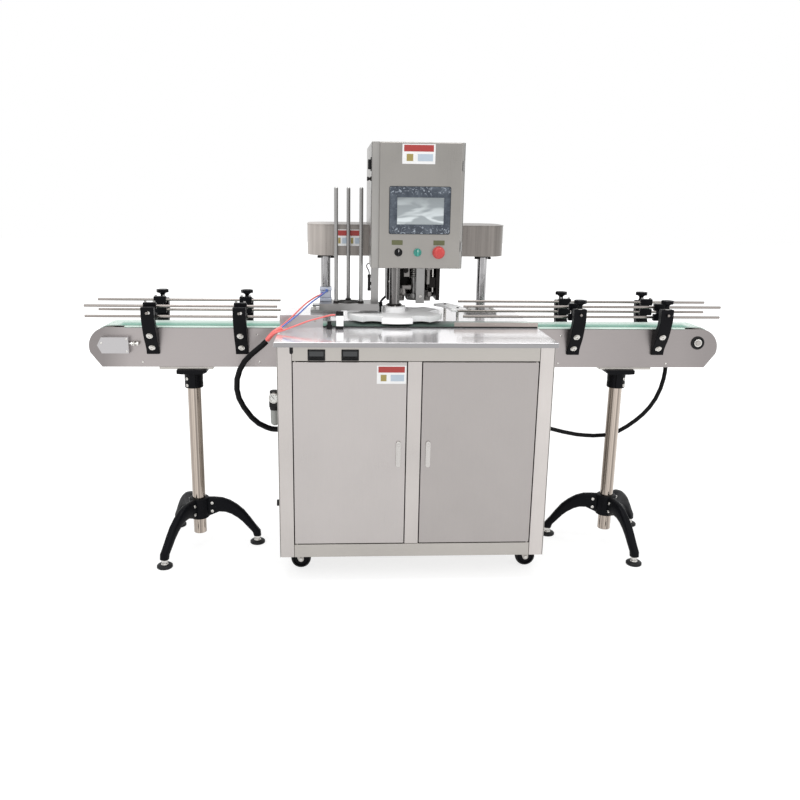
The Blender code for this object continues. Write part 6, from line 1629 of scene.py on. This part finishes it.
@dataclass
class Stand(Assembly):
    """One stand: polished pole with its moulded clamp and saddle, on a cast three-legged base.

    Attributes:
        name: "left" or "right".
        x: Its place along the conveyor.
        first_leg: Direction of its first leg in degrees.
        y: Its place across the conveyor.
        pole: Radius of the pole.
        saddle_top: Height of the saddle plate's upper side.
        hub_top: Height of the hub's upper side.
        hub_bottom: Height of the hub's underside.
        reach: Distance of the feet from the pole.
    """

    name: str
    x: float
    first_leg: float
    y: float = -0.074
    pole: float = 0.0254
    saddle_top: float = 0.7447
    hub_top: float = 0.205
    hub_bottom: float = 0.122
    reach: float = 0.228

    def build(self) -> None:
        """Make all of the stand."""
        self.column()
        self.base()

    def column(self) -> None:
        """Make the pole, the saddle plate and the moulded clamp under it."""
        x, y = self.x, self.y
        low = 0.058
        tube = turned([(self.pole - 0.002, low), (self.pole - 0.0006, low), (self.pole, low + 0.0006),
                       (self.pole, 0.668), (self.pole - 0.002, 0.668)], (x, y), Axis.Z, 48)
        self.bench.put(self.name + "_pole_tube", tube, POLE_STEEL, replaces=[self.name + "_stand_pole"])
        middle = x + math.copysign(0.0215, x)
        saddle = block((middle - 0.1015, -0.104, self.saddle_top - 0.009), (middle + 0.1015, 0.046, self.saddle_top),
                       0.0012)
        self.bench.put(self.name + "_saddle_plate", saddle, RAIL_STEEL)
        flange_top, outward = self.saddle_top - 0.0093, math.copysign(1.0, x)
        edge = [(x + outward * 0.057, flange_top), (x + outward * 0.057, flange_top - 0.016),
                (x + outward * 0.036, flange_top - 0.0178), (x - outward * 0.040, flange_top - 0.0178),
                (x - outward * 0.057, flange_top - 0.010), (x - outward * 0.057, flange_top)]
        flange = prism(edge, y - 0.045, y + 0.045, Axis.Y, 0.002)
        clamp = turned([(0.0256, 0.660), (0.034, 0.660), (0.035, 0.662), (0.035, 0.683), (0.0338, 0.6845),
                        (0.0338, 0.6885), (0.035, 0.690), (0.035, flange_top - 0.010), (0.0256, flange_top - 0.010)],
                       (x, y), Axis.Z, 48)
        lug = block((x - 0.013, y - 0.0385, 0.664), (x + 0.013, y - 0.026, flange_top - 0.012), 0.003)
        self.bench.put(self.name + "_pole_clamp", (flange, clamp, lug), BLACK_NYLON)
        bolts = []
        for z in (0.6725, 0.6985):
            bolt = screw((0.0, -0.0345, 0.0), Axis.Y, -1, 0.0062, 0.0055)
            bolts.append(seated(bolt, (x, y, z), 32 * outward, "Z"))
        self.bench.put(self.name + "_clamp_bolts", bolts, BOLT_STEEL)

    def leg(self) -> Shape:
        """Make one arched leg along +X from the pole, with a rounded section.

        Returns:
            The shape.
        """
        drop = self.hub_top
        top = ((0.032, 0.0), (0.060, -0.001), (0.092, -0.005), (0.122, -0.017), (0.150, -0.036), (0.177, -0.061),
               (0.201, -0.094), (0.222, -0.126), (0.2415, -0.152), (0.243, -0.172))
        bottom = ((0.032, -0.083), (0.054, -0.074), (0.078, -0.064), (0.102, -0.066), (0.125, -0.075),
                  (0.150, -0.092), (0.170, -0.110), (0.190, -0.134), (0.2085, -0.156), (0.213, -0.172))
        shape, rings = bmesh.new(), []
        for (tx, tz), (bx, bz) in zip(top, bottom):
            middle = Vector(((tx + bx) / 2, 0, drop + (tz + bz) / 2))
            half = Vector(((tx - bx) / 2, 0, (tz - bz) / 2))
            ring = []
            for k in range(20):
                turn = 2 * math.pi * k / 20
                u = math.copysign(abs(math.cos(turn)) ** 0.7, math.cos(turn))
                v = math.copysign(abs(math.sin(turn)) ** 0.7, math.sin(turn))
                ring.append(shape.verts.new(middle + half * u + Vector((0, 0.0165 * v, 0))))
            rings.append(ring)
        return capped(skin(shape, rings), rings)

    def base(self) -> None:
        """Make the hub, the legs, the clamp bolts, the studs and the feet."""
        x, y, top = self.x, self.y, self.hub_top
        casting = [turned([(0.0257, self.hub_bottom), (0.037, self.hub_bottom), (0.040, self.hub_bottom + 0.004),
                           (0.040, top - 0.004), (0.036, top), (0.0257, top)], (x, y), Axis.Z, 48)]
        studs, pads, bolts = [], [], []
        for angle in (self.first_leg, self.first_leg + 120, self.first_leg + 240):
            casting.append(seated(self.leg(), (x, y, 0), angle, "Z"))
            centre = polar((x, y), self.reach, angle)
            for z in (0.150, 0.184):
                for side in (-1, 1):
                    bolt = screw((0.052, side * 0.0155, z), Axis.Y, side, 0.0062, 0.0045)
                    bolts.append(seated(bolt, (x, y, 0), angle, "Z"))
            studs.append(rod(0.010, 0.012, 0.036, centre, Axis.Z, 0.0, 20))
            studs.append(hexagon(centre, 0.0145, 0.0245, 0.0325, Axis.Z, 0.0008))
            studs.append(turned([(0, 0.0125), (0.0145, 0.0125), (0.013, 0.0165), (0, 0.0185)], centre, Axis.Z, 28))
            pads.append(turned([(0, 0.0), (0.028, 0.0), (0.030, 0.002), (0.030, 0.0085), (0.027, 0.0115),
                                (0.016, 0.0140), (0, 0.0140)], centre, Axis.Z, 40))
        self.bench.put(self.name + "_base_casting", casting, BASE_IRON, replaces=[self.name + "_stand_base"])
        self.bench.put(self.name + "_foot_studs", studs, BOLT_STEEL)
        self.bench.put(self.name + "_foot_pads", pads, FOOT_RUBBER)
        self.bench.put(self.name + "_base_bolts", bolts, BOLT_STEEL)


# Head


@dataclass
class HeadCasing(Assembly):
    """Gear casing across the top, its columns, the control box and the motor casing.

    Attributes:
        left: Left end of the gear casing.
        right: Right end of the gear casing.
        front: Front face of the gear casing.
        back: Rear face of the gear casing.
        bottom: Height of its underside.
        top: Height of its upper side.
        corner: Radius of its corners.
        box_front: Front face of the control box without its door.
        door_face: Front face of the control box's door.
        switch_z: Height of the switches.
    """

    left: float = -0.400
    right: float = 0.410
    front: float = 0.152
    back: float = 0.425
    bottom: float = 1.150
    top: float = 1.274
    corner: float = 0.082
    box_front: float = -0.069
    door_face: float = -0.0853
    switch_z: float = 1.182

    def build(self) -> None:
        """Make all of the head."""
        self.beam()
        for name in ("left_column", "right_column"):
            self.column(name)
        self.box()
        self.box_door()
        self.screen()
        self.switches()
        self.latches()

    def beam(self) -> None:
        """Make the gear casing, its lid seam and the label on it."""
        lid, sheet, seam = 0.0045, 0.001, 0.0004
        inner = rounded_rectangle(self.left + sheet, self.right - sheet, self.front + sheet, self.back - sheet,
                                  self.corner - sheet, 16)
        outer = rounded_rectangle(self.left, self.right, self.front, self.back, self.corner, 16)
        body = prism(inner, self.bottom, self.top - lid)
        cover = prism(outer, self.top - lid + seam, self.top)
        self.bench.put("gear_casing_shell", (body, cover), BEAM_STEEL, replaces=["head_beam"])
        for name, left in (("beam_left", -0.2790), ("beam_right", -0.2280)):
            self.label(name, (left, 1.1890), (left + 0.0475, 1.2535), self.front + 0.001, "machine")

    def column(self, name: str) -> None:
        """Make a ground column with its foot plate, collar and nuts.

        Args:
            name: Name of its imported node.
        """
        low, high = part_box(name)
        x, y = (low.x + high.x) / 2, (low.y + high.y) / 2
        shaft = rod(0.021, low.z + 0.010, high.z, (x, y), Axis.Z, 0.0, 48)
        self.bench.put(name + "_bar", shaft, COLUMN_STEEL, replaces=[name])
        foot = block((x - 0.065, y - 0.040, low.z), (x + 0.065, y + 0.040, low.z + 0.015), 0.002)
        self.bench.put(name + "_foot_plate", foot, BLOCK_STEEL, slot="polished_steel")
        collar = turned([(0.0212, high.z - 0.012), (0.033, high.z - 0.012), (0.034, high.z - 0.011), (0.034, high.z),
                         (0.0212, high.z)], (x, y), Axis.Z, 48)
        nuts = [collar]
        for side in (-1, 1):
            nuts.append(hexagon((x + side * 0.0275, y - 0.012), 0.008, high.z - 0.020, high.z - 0.011,
                              Axis.Z, 0.0006))
        self.bench.put(name + "_collar_and_nuts", nuts, STATION_IRON)
        heads = [screw((x + a * 0.050, y + b * 0.027, low.z + 0.015), Axis.Z, 1, 0.0065, 0.006)
                 for a in (-1, 1) for b in (-1, 1)]
        self.bench.put(name + "_foot_screws", heads, BOLT_STEEL)

    def box(self) -> None:
        """Make the control box, open at its door, and the motor casing behind it."""
        low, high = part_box("control_box")
        shell = block(low, high, 0.003, [Face.FRONT])
        self.bench.put("control_box_shell", shell, BOX_STEEL, replaces=["control_box"], sheet=0.002)
        rim = []
        left, right = -0.104, 0.168
        bottom, top = low.z + 0.016, high.z - 0.016
        for x0, x1, z0, z1 in ((low.x + 0.002, left, low.z + 0.002, high.z - 0.002),
                               (right, high.x - 0.002, low.z + 0.002, high.z - 0.002),
                               (left, right, low.z + 0.002, bottom), (left, right, top, high.z - 0.002)):
            rim.append(block((x0, low.y, z0), (x1, low.y + 0.002, z1), 0.0))
        self.bench.put("control_box_front_rim", rim, BOX_STEEL)
        low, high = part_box("motor_casing")
        cover = block(low, high, 0.003, [Face.BOTTOM])
        self.bench.put("motor_casing_shell", cover, BOX_STEEL, replaces=["motor_casing"], sheet=0.002)
        vents = []
        for k in range(9):
            z = 1.36 + k * 0.016
            hood = ((high.y - 0.0005, z), (high.y + 0.0024, z), (high.y + 0.0018, z + 0.004),
                    (high.y - 0.0005, z + 0.009))
            vents.append(prism(hood, -0.06, 0.11, Axis.X, 0.0005))
        self.bench.put("motor_casing_vents", vents, BOX_STEEL)

    def box_door(self) -> None:
        """Make the folded door of the control box with its hinge knuckles."""
        low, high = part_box("control_door")
        right = 0.184
        pan = block((low.x, low.y, low.z), (right, self.box_front - 0.0003, high.z), 0.003, [Face.BACK])
        self.bench.put("box_door_sheet", pan, BOX_DOOR_STEEL, "control_door", ["control_door"], sheet=0.002)
        shapes = []
        for z in (1.204, 1.498):
            shapes.append(rod(0.004, z - 0.017, z + 0.017, (0.190, -0.0733), Axis.Z, 0.0006, 20))
            shapes.append(block((0.178, -0.0745, z - 0.017), (0.190, -0.0725, z + 0.017), 0.0004))
        self.bench.put("box_door_hinges", shapes, BLOCK_STEEL, "control_door", slot="polished_steel")
        self.label("box", (-0.0385, 1.5030), (0.0830, 1.5735), self.door_face, "control_door")

    def screen(self) -> None:
        """Make the operator panel: filmed frame, pane and body."""
        low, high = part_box("touch_screen")
        face = self.door_face - 0.0003
        x0, x1, z0, z1 = low.x, high.x, low.z, high.z
        pane = (x0 + 0.0275, x1 - 0.0235, z0 + 0.034, z1 - 0.038)
        hole = rounded_rectangle(*pane, 0.0015, 4)
        rim = rounded_rectangle(x0, x1, z0, z1, 0.006, 4)
        edge = rounded_rectangle(x0 + 0.0012, x1 - 0.0012, z0 + 0.0012, z1 - 0.0012, 0.0055, 4)
        shape, loops = bmesh.new(), []
        for outline, y in ((rim, face), (rim, low.y + 0.0012), (edge, low.y), (hole, low.y), (hole, face)):
            loops.append([shape.verts.new((x, y, z)) for x, z in outline])
        self.bench.put("screen_frame", skin(shape, loops, True), SCREEN_FILM, "control_door", ["touch_screen"])
        border = prism(rounded_rectangle(x0 - 0.0022, x1 + 0.0022, z0 - 0.0022, z1 + 0.0022, 0.007, 4), low.y + 0.002,
                       face + 0.0002, Axis.Y)
        self.bench.put("screen_edge", border, SCREEN_LINE, "control_door")
        glass = block((pane[0] - 0.001, low.y + 0.001, pane[2] - 0.001), (pane[1] + 0.001, face, pane[3] + 0.001),
                      0.0005)
        self.bench.put("screen_pane", glass, SCREEN_PANE, "control_door")
        case = block((x0 + 0.011, face, z0 + 0.011), (x1 - 0.011, high.y, z1 - 0.011), 0.003)
        self.bench.put("screen_case", case, BLACK_ABS, "control_door", slot="screen_grey")

    def switches(self) -> None:
        """Make the selector, the start button, the emergency stop and their tags."""
        face, z = self.door_face - 0.0003, self.switch_z
        for name, x, finish, body in (
            ("selector_switch", -0.047, BLACK_ABS, "selector"), ("start_switch", 0.025, TEAL_PLASTIC, "start"),
        ):
            ring = turned([(0, face - 0.0045), (0.0125, face - 0.0045), (0.0132, face - 0.006), (0.0142, face - 0.006),
                           (0.015, face - 0.005), (0.015, face), (0.011, face), (0.011, face + 0.0304),
                           (0, face + 0.0304)], (x, z), Axis.Y, 36)
            grip = block((x - 0.0042, face - 0.0195, z - 0.0125), (x + 0.0042, face - 0.0040, z + 0.0125), 0.0025)
            nut = hexagon((x, z), 0.013, face + 0.0030, face + 0.0068, Axis.Y, 0.0005)
            self.bench.put(name + "_knob", (ring, grip, nut), finish, body, [name])
            mark = block((x - 0.0007, face - 0.0198, z + 0.002), (x + 0.0007, face - 0.0190, z + 0.0115), 0.0)
            self.bench.put(name + "_pointer", mark, WHITE_CARD, body)
        low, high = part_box("emergency_stop")
        x, front = 0.105, low.y
        cap = turned([(0, front + 0.0008), (0.010, front), (0.0165, front + 0.0012), (0.0200, front + 0.0042),
                      (0.021, front + 0.0075), (0.0208, front + 0.0112), (0.0185, front + 0.012), (0, front + 0.012)],
                     (x, z), Axis.Y, 48)
        self.bench.put("stop_mushroom", cap, RED_PLASTIC, "stop", ["emergency_stop"])
        stem = turned([(0, front + 0.011), (0.0108, front + 0.011), (0.0108, high.y), (0, high.y)], (x, z), Axis.Y, 32)
        self.bench.put("stop_stem", stem, DARK_RED_PLASTIC, "stop")
        collar = turned([(0.0113, face), (0.0235, face), (0.0235, face - 0.002), (0.0215, face - 0.004),
                         (0.0113, face - 0.004)], (x, z), Axis.Y, 48)
        self.bench.put("stop_collar", collar, RED_PLASTIC, "control_door")
        for name, x0, x1 in (("selector", -0.0725, -0.0315), ("stop", 0.0845, 0.1265)):
            tag = block((x0, face - 0.001, 1.2095), (x1, face + 0.0003, 1.2272), 0.0004)
            self.bench.put(name + "_tag", tag, OLIVE_TAG, "control_door")

    def latches(self) -> None:
        """Make the quarter-turn latch and the round knob on the box's left side."""
        side, y = -0.150, -0.045
        plate = block((side - 0.003, y - 0.010, 1.476), (side + 0.0005, y + 0.010, 1.526), 0.001)
        lever = block((side - 0.0125, y - 0.005, 1.4825), (side - 0.002, y + 0.005, 1.5185), 0.002)
        self.bench.put("box_side_latch", (plate, lever), BLACK_ABS)
        knob = turned([(0, side + 0.0005), (0.0085, side + 0.0005), (0.0085, side - 0.003), (0.005, side - 0.004),
                       (0.005, side - 0.009), (0.0075, side - 0.010), (0.0075, side - 0.0145), (0.006, side - 0.016),
                       (0, side - 0.016)], (y, 1.4490), Axis.X, 28)
        self.bench.put("box_side_knob", knob, STATION_IRON)


# Stations on the table


@dataclass
class Stations(Assembly):
    """Star wheel, seaming station, lid magazine with its pusher, and the outfeed guide.

    Attributes:
        star: Middle of the star wheel.
        star_radius: Radius of its lobes.
        pitch: Distance of the can pockets from its middle.
        pocket: Radius of a pocket.
        star_low: Height of its underside.
        star_high: Height of its upper side.
        boss_top: Height of its boss.
        seam: Middle of the seaming station.
        magazine_x: Middle of the lid stack.
    """

    star: Pair = (-0.047, 0.086)
    star_radius: float = 0.193
    pitch: float = 0.185
    pocket: float = 0.040
    star_low: float = 0.912
    star_high: float = 0.934
    boss_top: float = 0.957
    seam: Pair = (0.0455, 0.24621)
    magazine_x: float = -0.232

    def build(self) -> None:
        """Make all of the stations."""
        self.star_wheel()
        self.seamer()
        self.magazine()
        self.cylinder()
        self.guide()
        self.small_levers()

    def star_outline(self) -> list[Pair]:
        """Draw the star: six lobes with a round pocket between each two.

        Returns:
            Its outline.
        """
        reach = (self.pitch ** 2 + self.star_radius ** 2 - self.pocket ** 2) / (2 * self.pitch * self.star_radius)
        mouth = math.degrees(math.acos(reach))
        outline = []
        for i in range(6):
            middle = -90 + i * 60
            outline += arc(self.star, self.star_radius, middle - 30 + mouth, middle + 30 - mouth, 10)
            centre = polar(self.star, self.pitch, middle + 30)
            tip = outline[-1]
            start = math.degrees(math.atan2(tip[1] - centre[1], tip[0] - centre[0]))
            sweep = (middle + 210 - start) % 360
            sweep = sweep - 360 if sweep > 180 else sweep
            outline += arc(centre, self.pocket, start, start + 2 * sweep, 18)[1:-1]
        return outline

    def star_wheel(self) -> None:
        """Make the star, its boss and clamp screws, and dress its shaft."""
        plate = prism(self.star_outline(), self.star_low, self.star_high, Axis.Z, 0.0012)
        boss = turned([(0.0132, self.star_high), (0.045, self.star_high), (0.045, self.boss_top - 0.002),
                       (0.043, self.boss_top), (0.0132, self.boss_top)], self.star, Axis.Z, 48)
        self.bench.put("star_wheel_plate", (plate, boss), WHITE_STAR, "star", ["star_wheel"])
        heads = [screw((*polar(self.star, 0.033, angle), self.boss_top), Axis.Z, 1, 0.0048, 0.004)
                 for angle in (30, 150, 270)]
        self.bench.put("star_boss_screws", heads, BOLT_STEEL, "star")
        self.bench.repaint("star_shaft", SHAFT_STEEL)
        collar = turned([(0.0216, 0.9575), (0.0285, 0.9575), (0.0285, 0.9655), (0.0216, 0.9665)], self.star, Axis.Z, 40)
        self.bench.put("star_shaft_collar", collar, STATION_IRON, "star")

    def seamer(self) -> None:
        """Dress the seaming station and add its springs, screws and front bar."""
        self.bench.repaint("seaming_frame", STATION_IRON)
        for node, finish in (("seaming_spindle", BLOCK_STEEL), ("first_roller_arm", ROLLER_STEEL),
                             ("second_roller_arm", ROLLER_STEEL), ("lifter_plate", BLOCK_STEEL)):
            self.bench.repaint(node, finish)
        bar = block((0.0468, 0.1600, 0.957), (0.0812, 0.1612, 1.1495), 0.0005)
        self.bench.put("seamer_front_bar_face", bar, BLOCK_STEEL)
        coil = [(self.seam[0] + 0.026 * math.cos(0.5 * k), self.seam[1] + 0.026 * math.sin(0.5 * k),
                 1.052 + 0.00066 * k) for k in range(95)]
        self.bench.put("spindle_spring", tube_along(coil, 0.0022, 8), BOLT_STEEL)
        bright = []
        for x, y, z in ((-0.060, 0.176, 1.110), (-0.060, 0.176, 1.045), (-0.030, 0.176, 1.136), (0.020, 0.176, 1.136),
                        (0.110, 0.176, 1.136), (0.064, 0.160, 1.120), (0.064, 0.160, 0.985)):
            bright.append(screw((x, y, z), Axis.Y, -1, 0.0065, 0.006))
        bright.append(rod(0.006, 1.02, 1.135, (-0.040, 0.188), Axis.Z, 0.0, 16))
        bright.append(rod(0.0045, 1.00, 1.135, (0.118, 0.190), Axis.Z, 0.0, 16))
        self.bench.put("seamer_screws_and_pins", bright, BOLT_STEEL)
        grey = [
            block((-0.004, 0.1800, 1.062), (0.022, 0.2000, 1.104), 0.003),
            block((-0.012, 0.1740, 1.010), (0.030, 0.1980, 1.032), 0.005),
            turned([(0, 0.988), (0.016, 0.988), (0.0175, 0.991), (0.0175, 1.003), (0.0145, 1.006), (0.0145, 1.018),
                    (0, 1.018)], (-0.006, 0.186), Axis.Z, 28),
            turned([(0, 1.034), (0.0135, 1.034), (0.0135, 1.060), (0.0115, 1.064), (0.0115, 1.092), (0, 1.092)],
                   (0.097, 0.190), Axis.Z, 28),
            block((0.086, 0.1780, 1.092), (0.112, 0.2000, 1.112), 0.002),
            turned([(0, 0.982), (0.012, 0.982), (0.014, 0.986), (0.014, 1.002), (0, 1.002)], (0.104, 0.188),
                   Axis.Z, 28),
        ]
        self.bench.put("seamer_grey_blocks", grey, ROLLER_STEEL)
        dark = [
            block((-0.052, 0.178, 1.040), (-0.020, 0.200, 1.072), 0.002),
            block((-0.056, 0.178, 0.992), (-0.026, 0.196, 1.016), 0.002),
            block((0.100, 0.178, 1.020), (0.129, 0.200, 1.062), 0.002),
            rod(0.012, 0.178, 0.196, (0.004, 1.090), Axis.Y, 0.001, 24),
        ]
        self.bench.put("seamer_cam_blocks", dark, STATION_IRON)

    def magazine(self) -> None:
        """Dress the lid magazine, and add its rod feet and the hanger's small air cylinder."""
        self.bench.repaint("lid_magazine", BLOCK_STEEL)
        self.bench.repaint("lid_pusher", COLUMN_STEEL)
        x, y = self.magazine_x, self.star[1]
        feet = []
        for angle in (90, 210, 330):
            feet.append(turned([(0.0076, 0.9720), (0.0115, 0.9720), (0.0115, 0.9775), (0.0098, 0.9790),
                                (0.0076, 0.9790)], polar((x, y), 0.0565, angle), Axis.Z, 28))
        ring = turned([(0.0405, 0.9722), (0.0455, 0.9722), (0.0455, 0.9745), (0.0405, 0.9745)], (x, y), Axis.Z, 48)
        self.bench.put("lid_rod_feet", (ring, *feet), STATION_IRON)
        barrel = turned([(0, 1.018), (0.0065, 1.018), (0.0065, 1.028), (0.0058, 1.029), (0.0058, 1.068),
                         (0.0065, 1.069), (0.0065, 1.082), (0, 1.082)], (-0.1495, 0.080), Axis.Z, 24)
        clip = block((-0.1500, 0.078, 1.040), (-0.1412, 0.092, 1.052), 0.0008)
        self.bench.put("stack_sensor_barrel", (barrel, clip), BLACK_ABS)
        lead = [(-0.1495, 0.080, 1.0815), (-0.1500, 0.080, 1.092), (-0.1535, 0.080, 1.101), (-0.1585, 0.081, 1.109),
                (-0.1600, 0.083, 1.118), (-0.1560, 0.086, 1.1235), (-0.1490, 0.090, 1.1240)]
        self.bench.put("stack_sensor_lead", tube_along(lead, 0.0022, 10), BLACK_NYLON)

    def cylinder(self) -> None:
        """Make the pusher's air cylinder with its end plates and two push-in fittings."""
        low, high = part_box("pusher_cylinder")
        front = 0.086
        shapes = [
            block((low.x, front, low.z), (high.x, high.y, low.z + 0.013), 0.0015),
            block((low.x, front, high.z - 0.013), (high.x, high.y, high.z), 0.0015),
            block((low.x + 0.002, front + 0.002, low.z + 0.012), (high.x - 0.002, high.y - 0.002, high.z - 0.012),
                  0.004),
        ]
        self.bench.put("cylinder_barrel", shapes, CYLINDER_METAL, replaces=["pusher_cylinder"])
        fittings = []
        for x, z in ((-0.3182, 1.0165), (-0.3358, 1.0050)):
            fittings.append(turned([(0.0031, low.y), (0.0052, low.y), (0.006, low.y + 0.0015), (0.006, low.y + 0.005),
                                    (0.0048, low.y + 0.006), (0.0048, front + 0.001), (0.0031, front + 0.001)],
                                   (x, z), Axis.Y, 24))
        self.bench.put("cylinder_fittings", fittings, BLUE_PLASTIC)

    def guide(self) -> None:
        """Make the white outfeed guide with its screws and posts."""
        inner = arc(self.star, 0.230, -6, 40, 24)
        outer = arc(self.star, 0.292, 40, -6, 24)
        plate = prism(inner + outer, 0.936, 0.946, Axis.Z, 0.0012)
        self.bench.put("outfeed_guide_plate", plate, WHITE_STAR, replaces=["outfeed_guide"])
        posts, heads = [], []
        for angle in (4.0, 31.0):
            place = polar(self.star, 0.261, angle)
            posts.append(rod(0.006, 0.9003, 0.937, place, Axis.Z, 0.0, 24))
            heads.append(screw((*place, 0.946), Axis.Z, 1, 0.0055, 0.003))
        self.bench.put("outfeed_guide_posts", posts, BOLT_STEEL)
        self.bench.put("outfeed_guide_screws", heads, STATION_IRON)

    def small_levers(self) -> None:
        """Make the black clamp lever beside the star's column."""
        stem = tube_along([(-0.104, 0.060, 0.9725), (-0.1015, 0.060, 0.9795), (-0.096, 0.060, 0.986),
                           (-0.089, 0.060, 0.993), (-0.084, 0.060, 0.998)], 0.0045, 12)
        hub = rod(0.0085, 0.9575, 0.9745, (-0.1045, 0.060), Axis.Z, 0.001, 20)
        stud = rod(0.004, 0.9340, 0.9580, (-0.1045, 0.060), Axis.Z, 0.0, 12)
        self.bench.put("star_clamp_lever", (stem, hub, stud), BLACK_NYLON, "star")


# Studio


SENSOR_WIDTH = 36.0
FRAME_PIXELS = 800


@dataclass
class Studio:
    """Pale floor, soft lights and the camera.

    Attributes:
        floor_size: Side of the floor in metres.
        eye: Place of the camera.
        yaw: Its turn to the right, in radians.
        pitch: Its tilt downward, in radians.
        roll: Its roll, in radians.
        focal: Focal length in pixels of the square frame.
        centre: Principal point in that frame.
    """

    floor_size: float = 40.0
    eye: Point = (-0.272, -3.1112, 1.4019)
    yaw: float = 0.0528
    pitch: float = 0.2401
    roll: float = 0.0125
    focal: float = 797.99
    centre: Pair = (379.35, 387.25)

    def build(self) -> None:
        """Make the studio."""
        self.camera()
        self.world()
        self.floor()
        for name, place, size, power in (
            ("key_light", (-2.2, -3.2, 3.4), 2.6, 40.0),
            ("fill_light", (2.8, -2.6, 2.4), 2.6, 18.0),
            ("top_light", (0.0, 0.1, 4.2), 3.2, 95.0),
        ):
            self.light(name, place, size, power)
        view = bpy.context.scene.view_settings
        view.view_transform = "Standard"

    def camera(self) -> None:
        """Make the camera at the photograph's viewing angle."""
        data = bpy.data.cameras.new("photo_camera")
        data.sensor_width = SENSOR_WIDTH
        data.lens = self.focal / FRAME_PIXELS * SENSOR_WIDTH
        data.shift_x = (FRAME_PIXELS / 2 - self.centre[0]) / FRAME_PIXELS
        data.shift_y = (self.centre[1] - FRAME_PIXELS / 2) / FRAME_PIXELS
        data.clip_end = 100.0
        forward = Vector((math.sin(self.yaw) * math.cos(self.pitch), math.cos(self.yaw) * math.cos(self.pitch),
                          -math.sin(self.pitch)))
        right = Vector((math.cos(self.yaw), -math.sin(self.yaw), 0.0))
        up = right.cross(forward)
        turned_right = math.cos(self.roll) * right + math.sin(self.roll) * up
        turned_up = -math.sin(self.roll) * right + math.cos(self.roll) * up
        rotation = Matrix((turned_right, turned_up, -forward)).transposed()
        made = add_object("photo_camera", data)
        made.matrix_world = Matrix.Translation(self.eye) @ rotation.to_4x4()
        bpy.context.scene.camera = made

    def seen(self, tree: Tree) -> Socket:
        """Tell the rays that see a surface from those that light it.

        Args:
            tree: Node tree that takes the nodes.

        Returns:
            Socket that is 1 for camera, glossy and transmission rays.
        """
        path = add_node(tree, "LightPath").outputs
        first = reckon(tree, "MAXIMUM", path["Is Camera Ray"], path["Is Glossy Ray"])
        return reckon(tree, "MAXIMUM", first, path["Is Transmission Ray"])

    def world(self) -> None:
        """Make a white surround that lights the object softly."""
        world = bpy.data.worlds.new("pale_studio")
        world.use_nodes = True
        bpy.context.scene.world = world
        tree = world.node_tree
        tree.nodes.clear()
        soft = add_node(tree, "Background", {"Color": linear("#f4f4f4"), "Strength": 0.95})
        white = add_node(tree, "Background", {"Color": (1.0, 1.0, 1.0, 1.0), "Strength": 1.0})
        mix = add_node(tree, "MixShader", {0: self.seen(tree), 1: soft.outputs[0], 2: white.outputs[0]})
        add_node(tree, "OutputWorld", {"Surface": mix.outputs[0]})

    def floor(self) -> None:
        """Make the pale floor, which keeps the object's shadow."""
        half = self.floor_size / 2
        shape = bmesh.new()
        shape.faces.new([shape.verts.new((x * half, y * half, 0.0)) for x, y in ((-1, -1), (1, -1), (1, 1), (-1, 1))])
        mesh = to_mesh("studio_floor", shape)
        paint = bpy.data.materials.new("matt_white_studio_floor")
        paint.use_nodes = True
        tree = paint.node_tree
        tree.nodes.clear()
        matt = add_node(tree, "BsdfDiffuse", {"Color": linear("#f7f7f7")})
        away = add_node(tree, "VectorMath", {0: object_place(tree)}, operation="LENGTH")
        fade = reach(tree, away.outputs["Value"], 1.6, 4.0, 0.74, 1.0)
        glow = add_node(tree, "Emission", {"Strength": 1.0, "Color": fade})
        shadow = add_node(tree, "BsdfDiffuse", {"Color": (0.36, 0.36, 0.36, 1.0)})
        both = add_node(tree, "AddShader", {0: glow.outputs[0], 1: shadow.outputs[0]})
        mix = add_node(tree, "MixShader", {0: self.seen(tree), 1: matt.outputs[0], 2: both.outputs[0]})
        add_node(tree, "OutputMaterial", {"Surface": mix.outputs[0]})
        mesh.materials.append(paint)
        add_object("studio_floor", mesh)

    def light(self, name: str, place: Point, size: float, power: float) -> None:
        """Make one soft square lamp that looks at the machine.

        Args:
            name: Name of the lamp.
            place: Where it hangs.
            size: Side of the lamp.
            power: Its power in watts.
        """
        data = bpy.data.lights.new(name, "AREA")
        data.shape = "SQUARE"
        data.size = size
        data.energy = power
        made = add_object(name, data)
        made.location = place
        made.rotation_euler = (Vector((0.0, 0.0, 0.8)) - Vector(place)).to_track_quat("-Z", "Y").to_euler()


def main() -> None:
    """Build the studio, the cords and every sub-assembly, in order."""
    logging.basicConfig(level=logging.INFO, format="%(message)s")
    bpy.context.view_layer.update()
    bench = Bench()
    Studio().build()
    AirAndCables(bench).build()
    Cabinet(bench).build()
    Table(bench).build()
    Conveyor(bench).build()
    Stand(bench, "left", -0.830, -117.0).build()
    Stand(bench, "right", 0.830, -77.0).build()
    HeadCasing(bench).build()
    Stations(bench).build()
    LOG.info("%d pieces", bench.count)


if __name__ == "__main__":
    main()
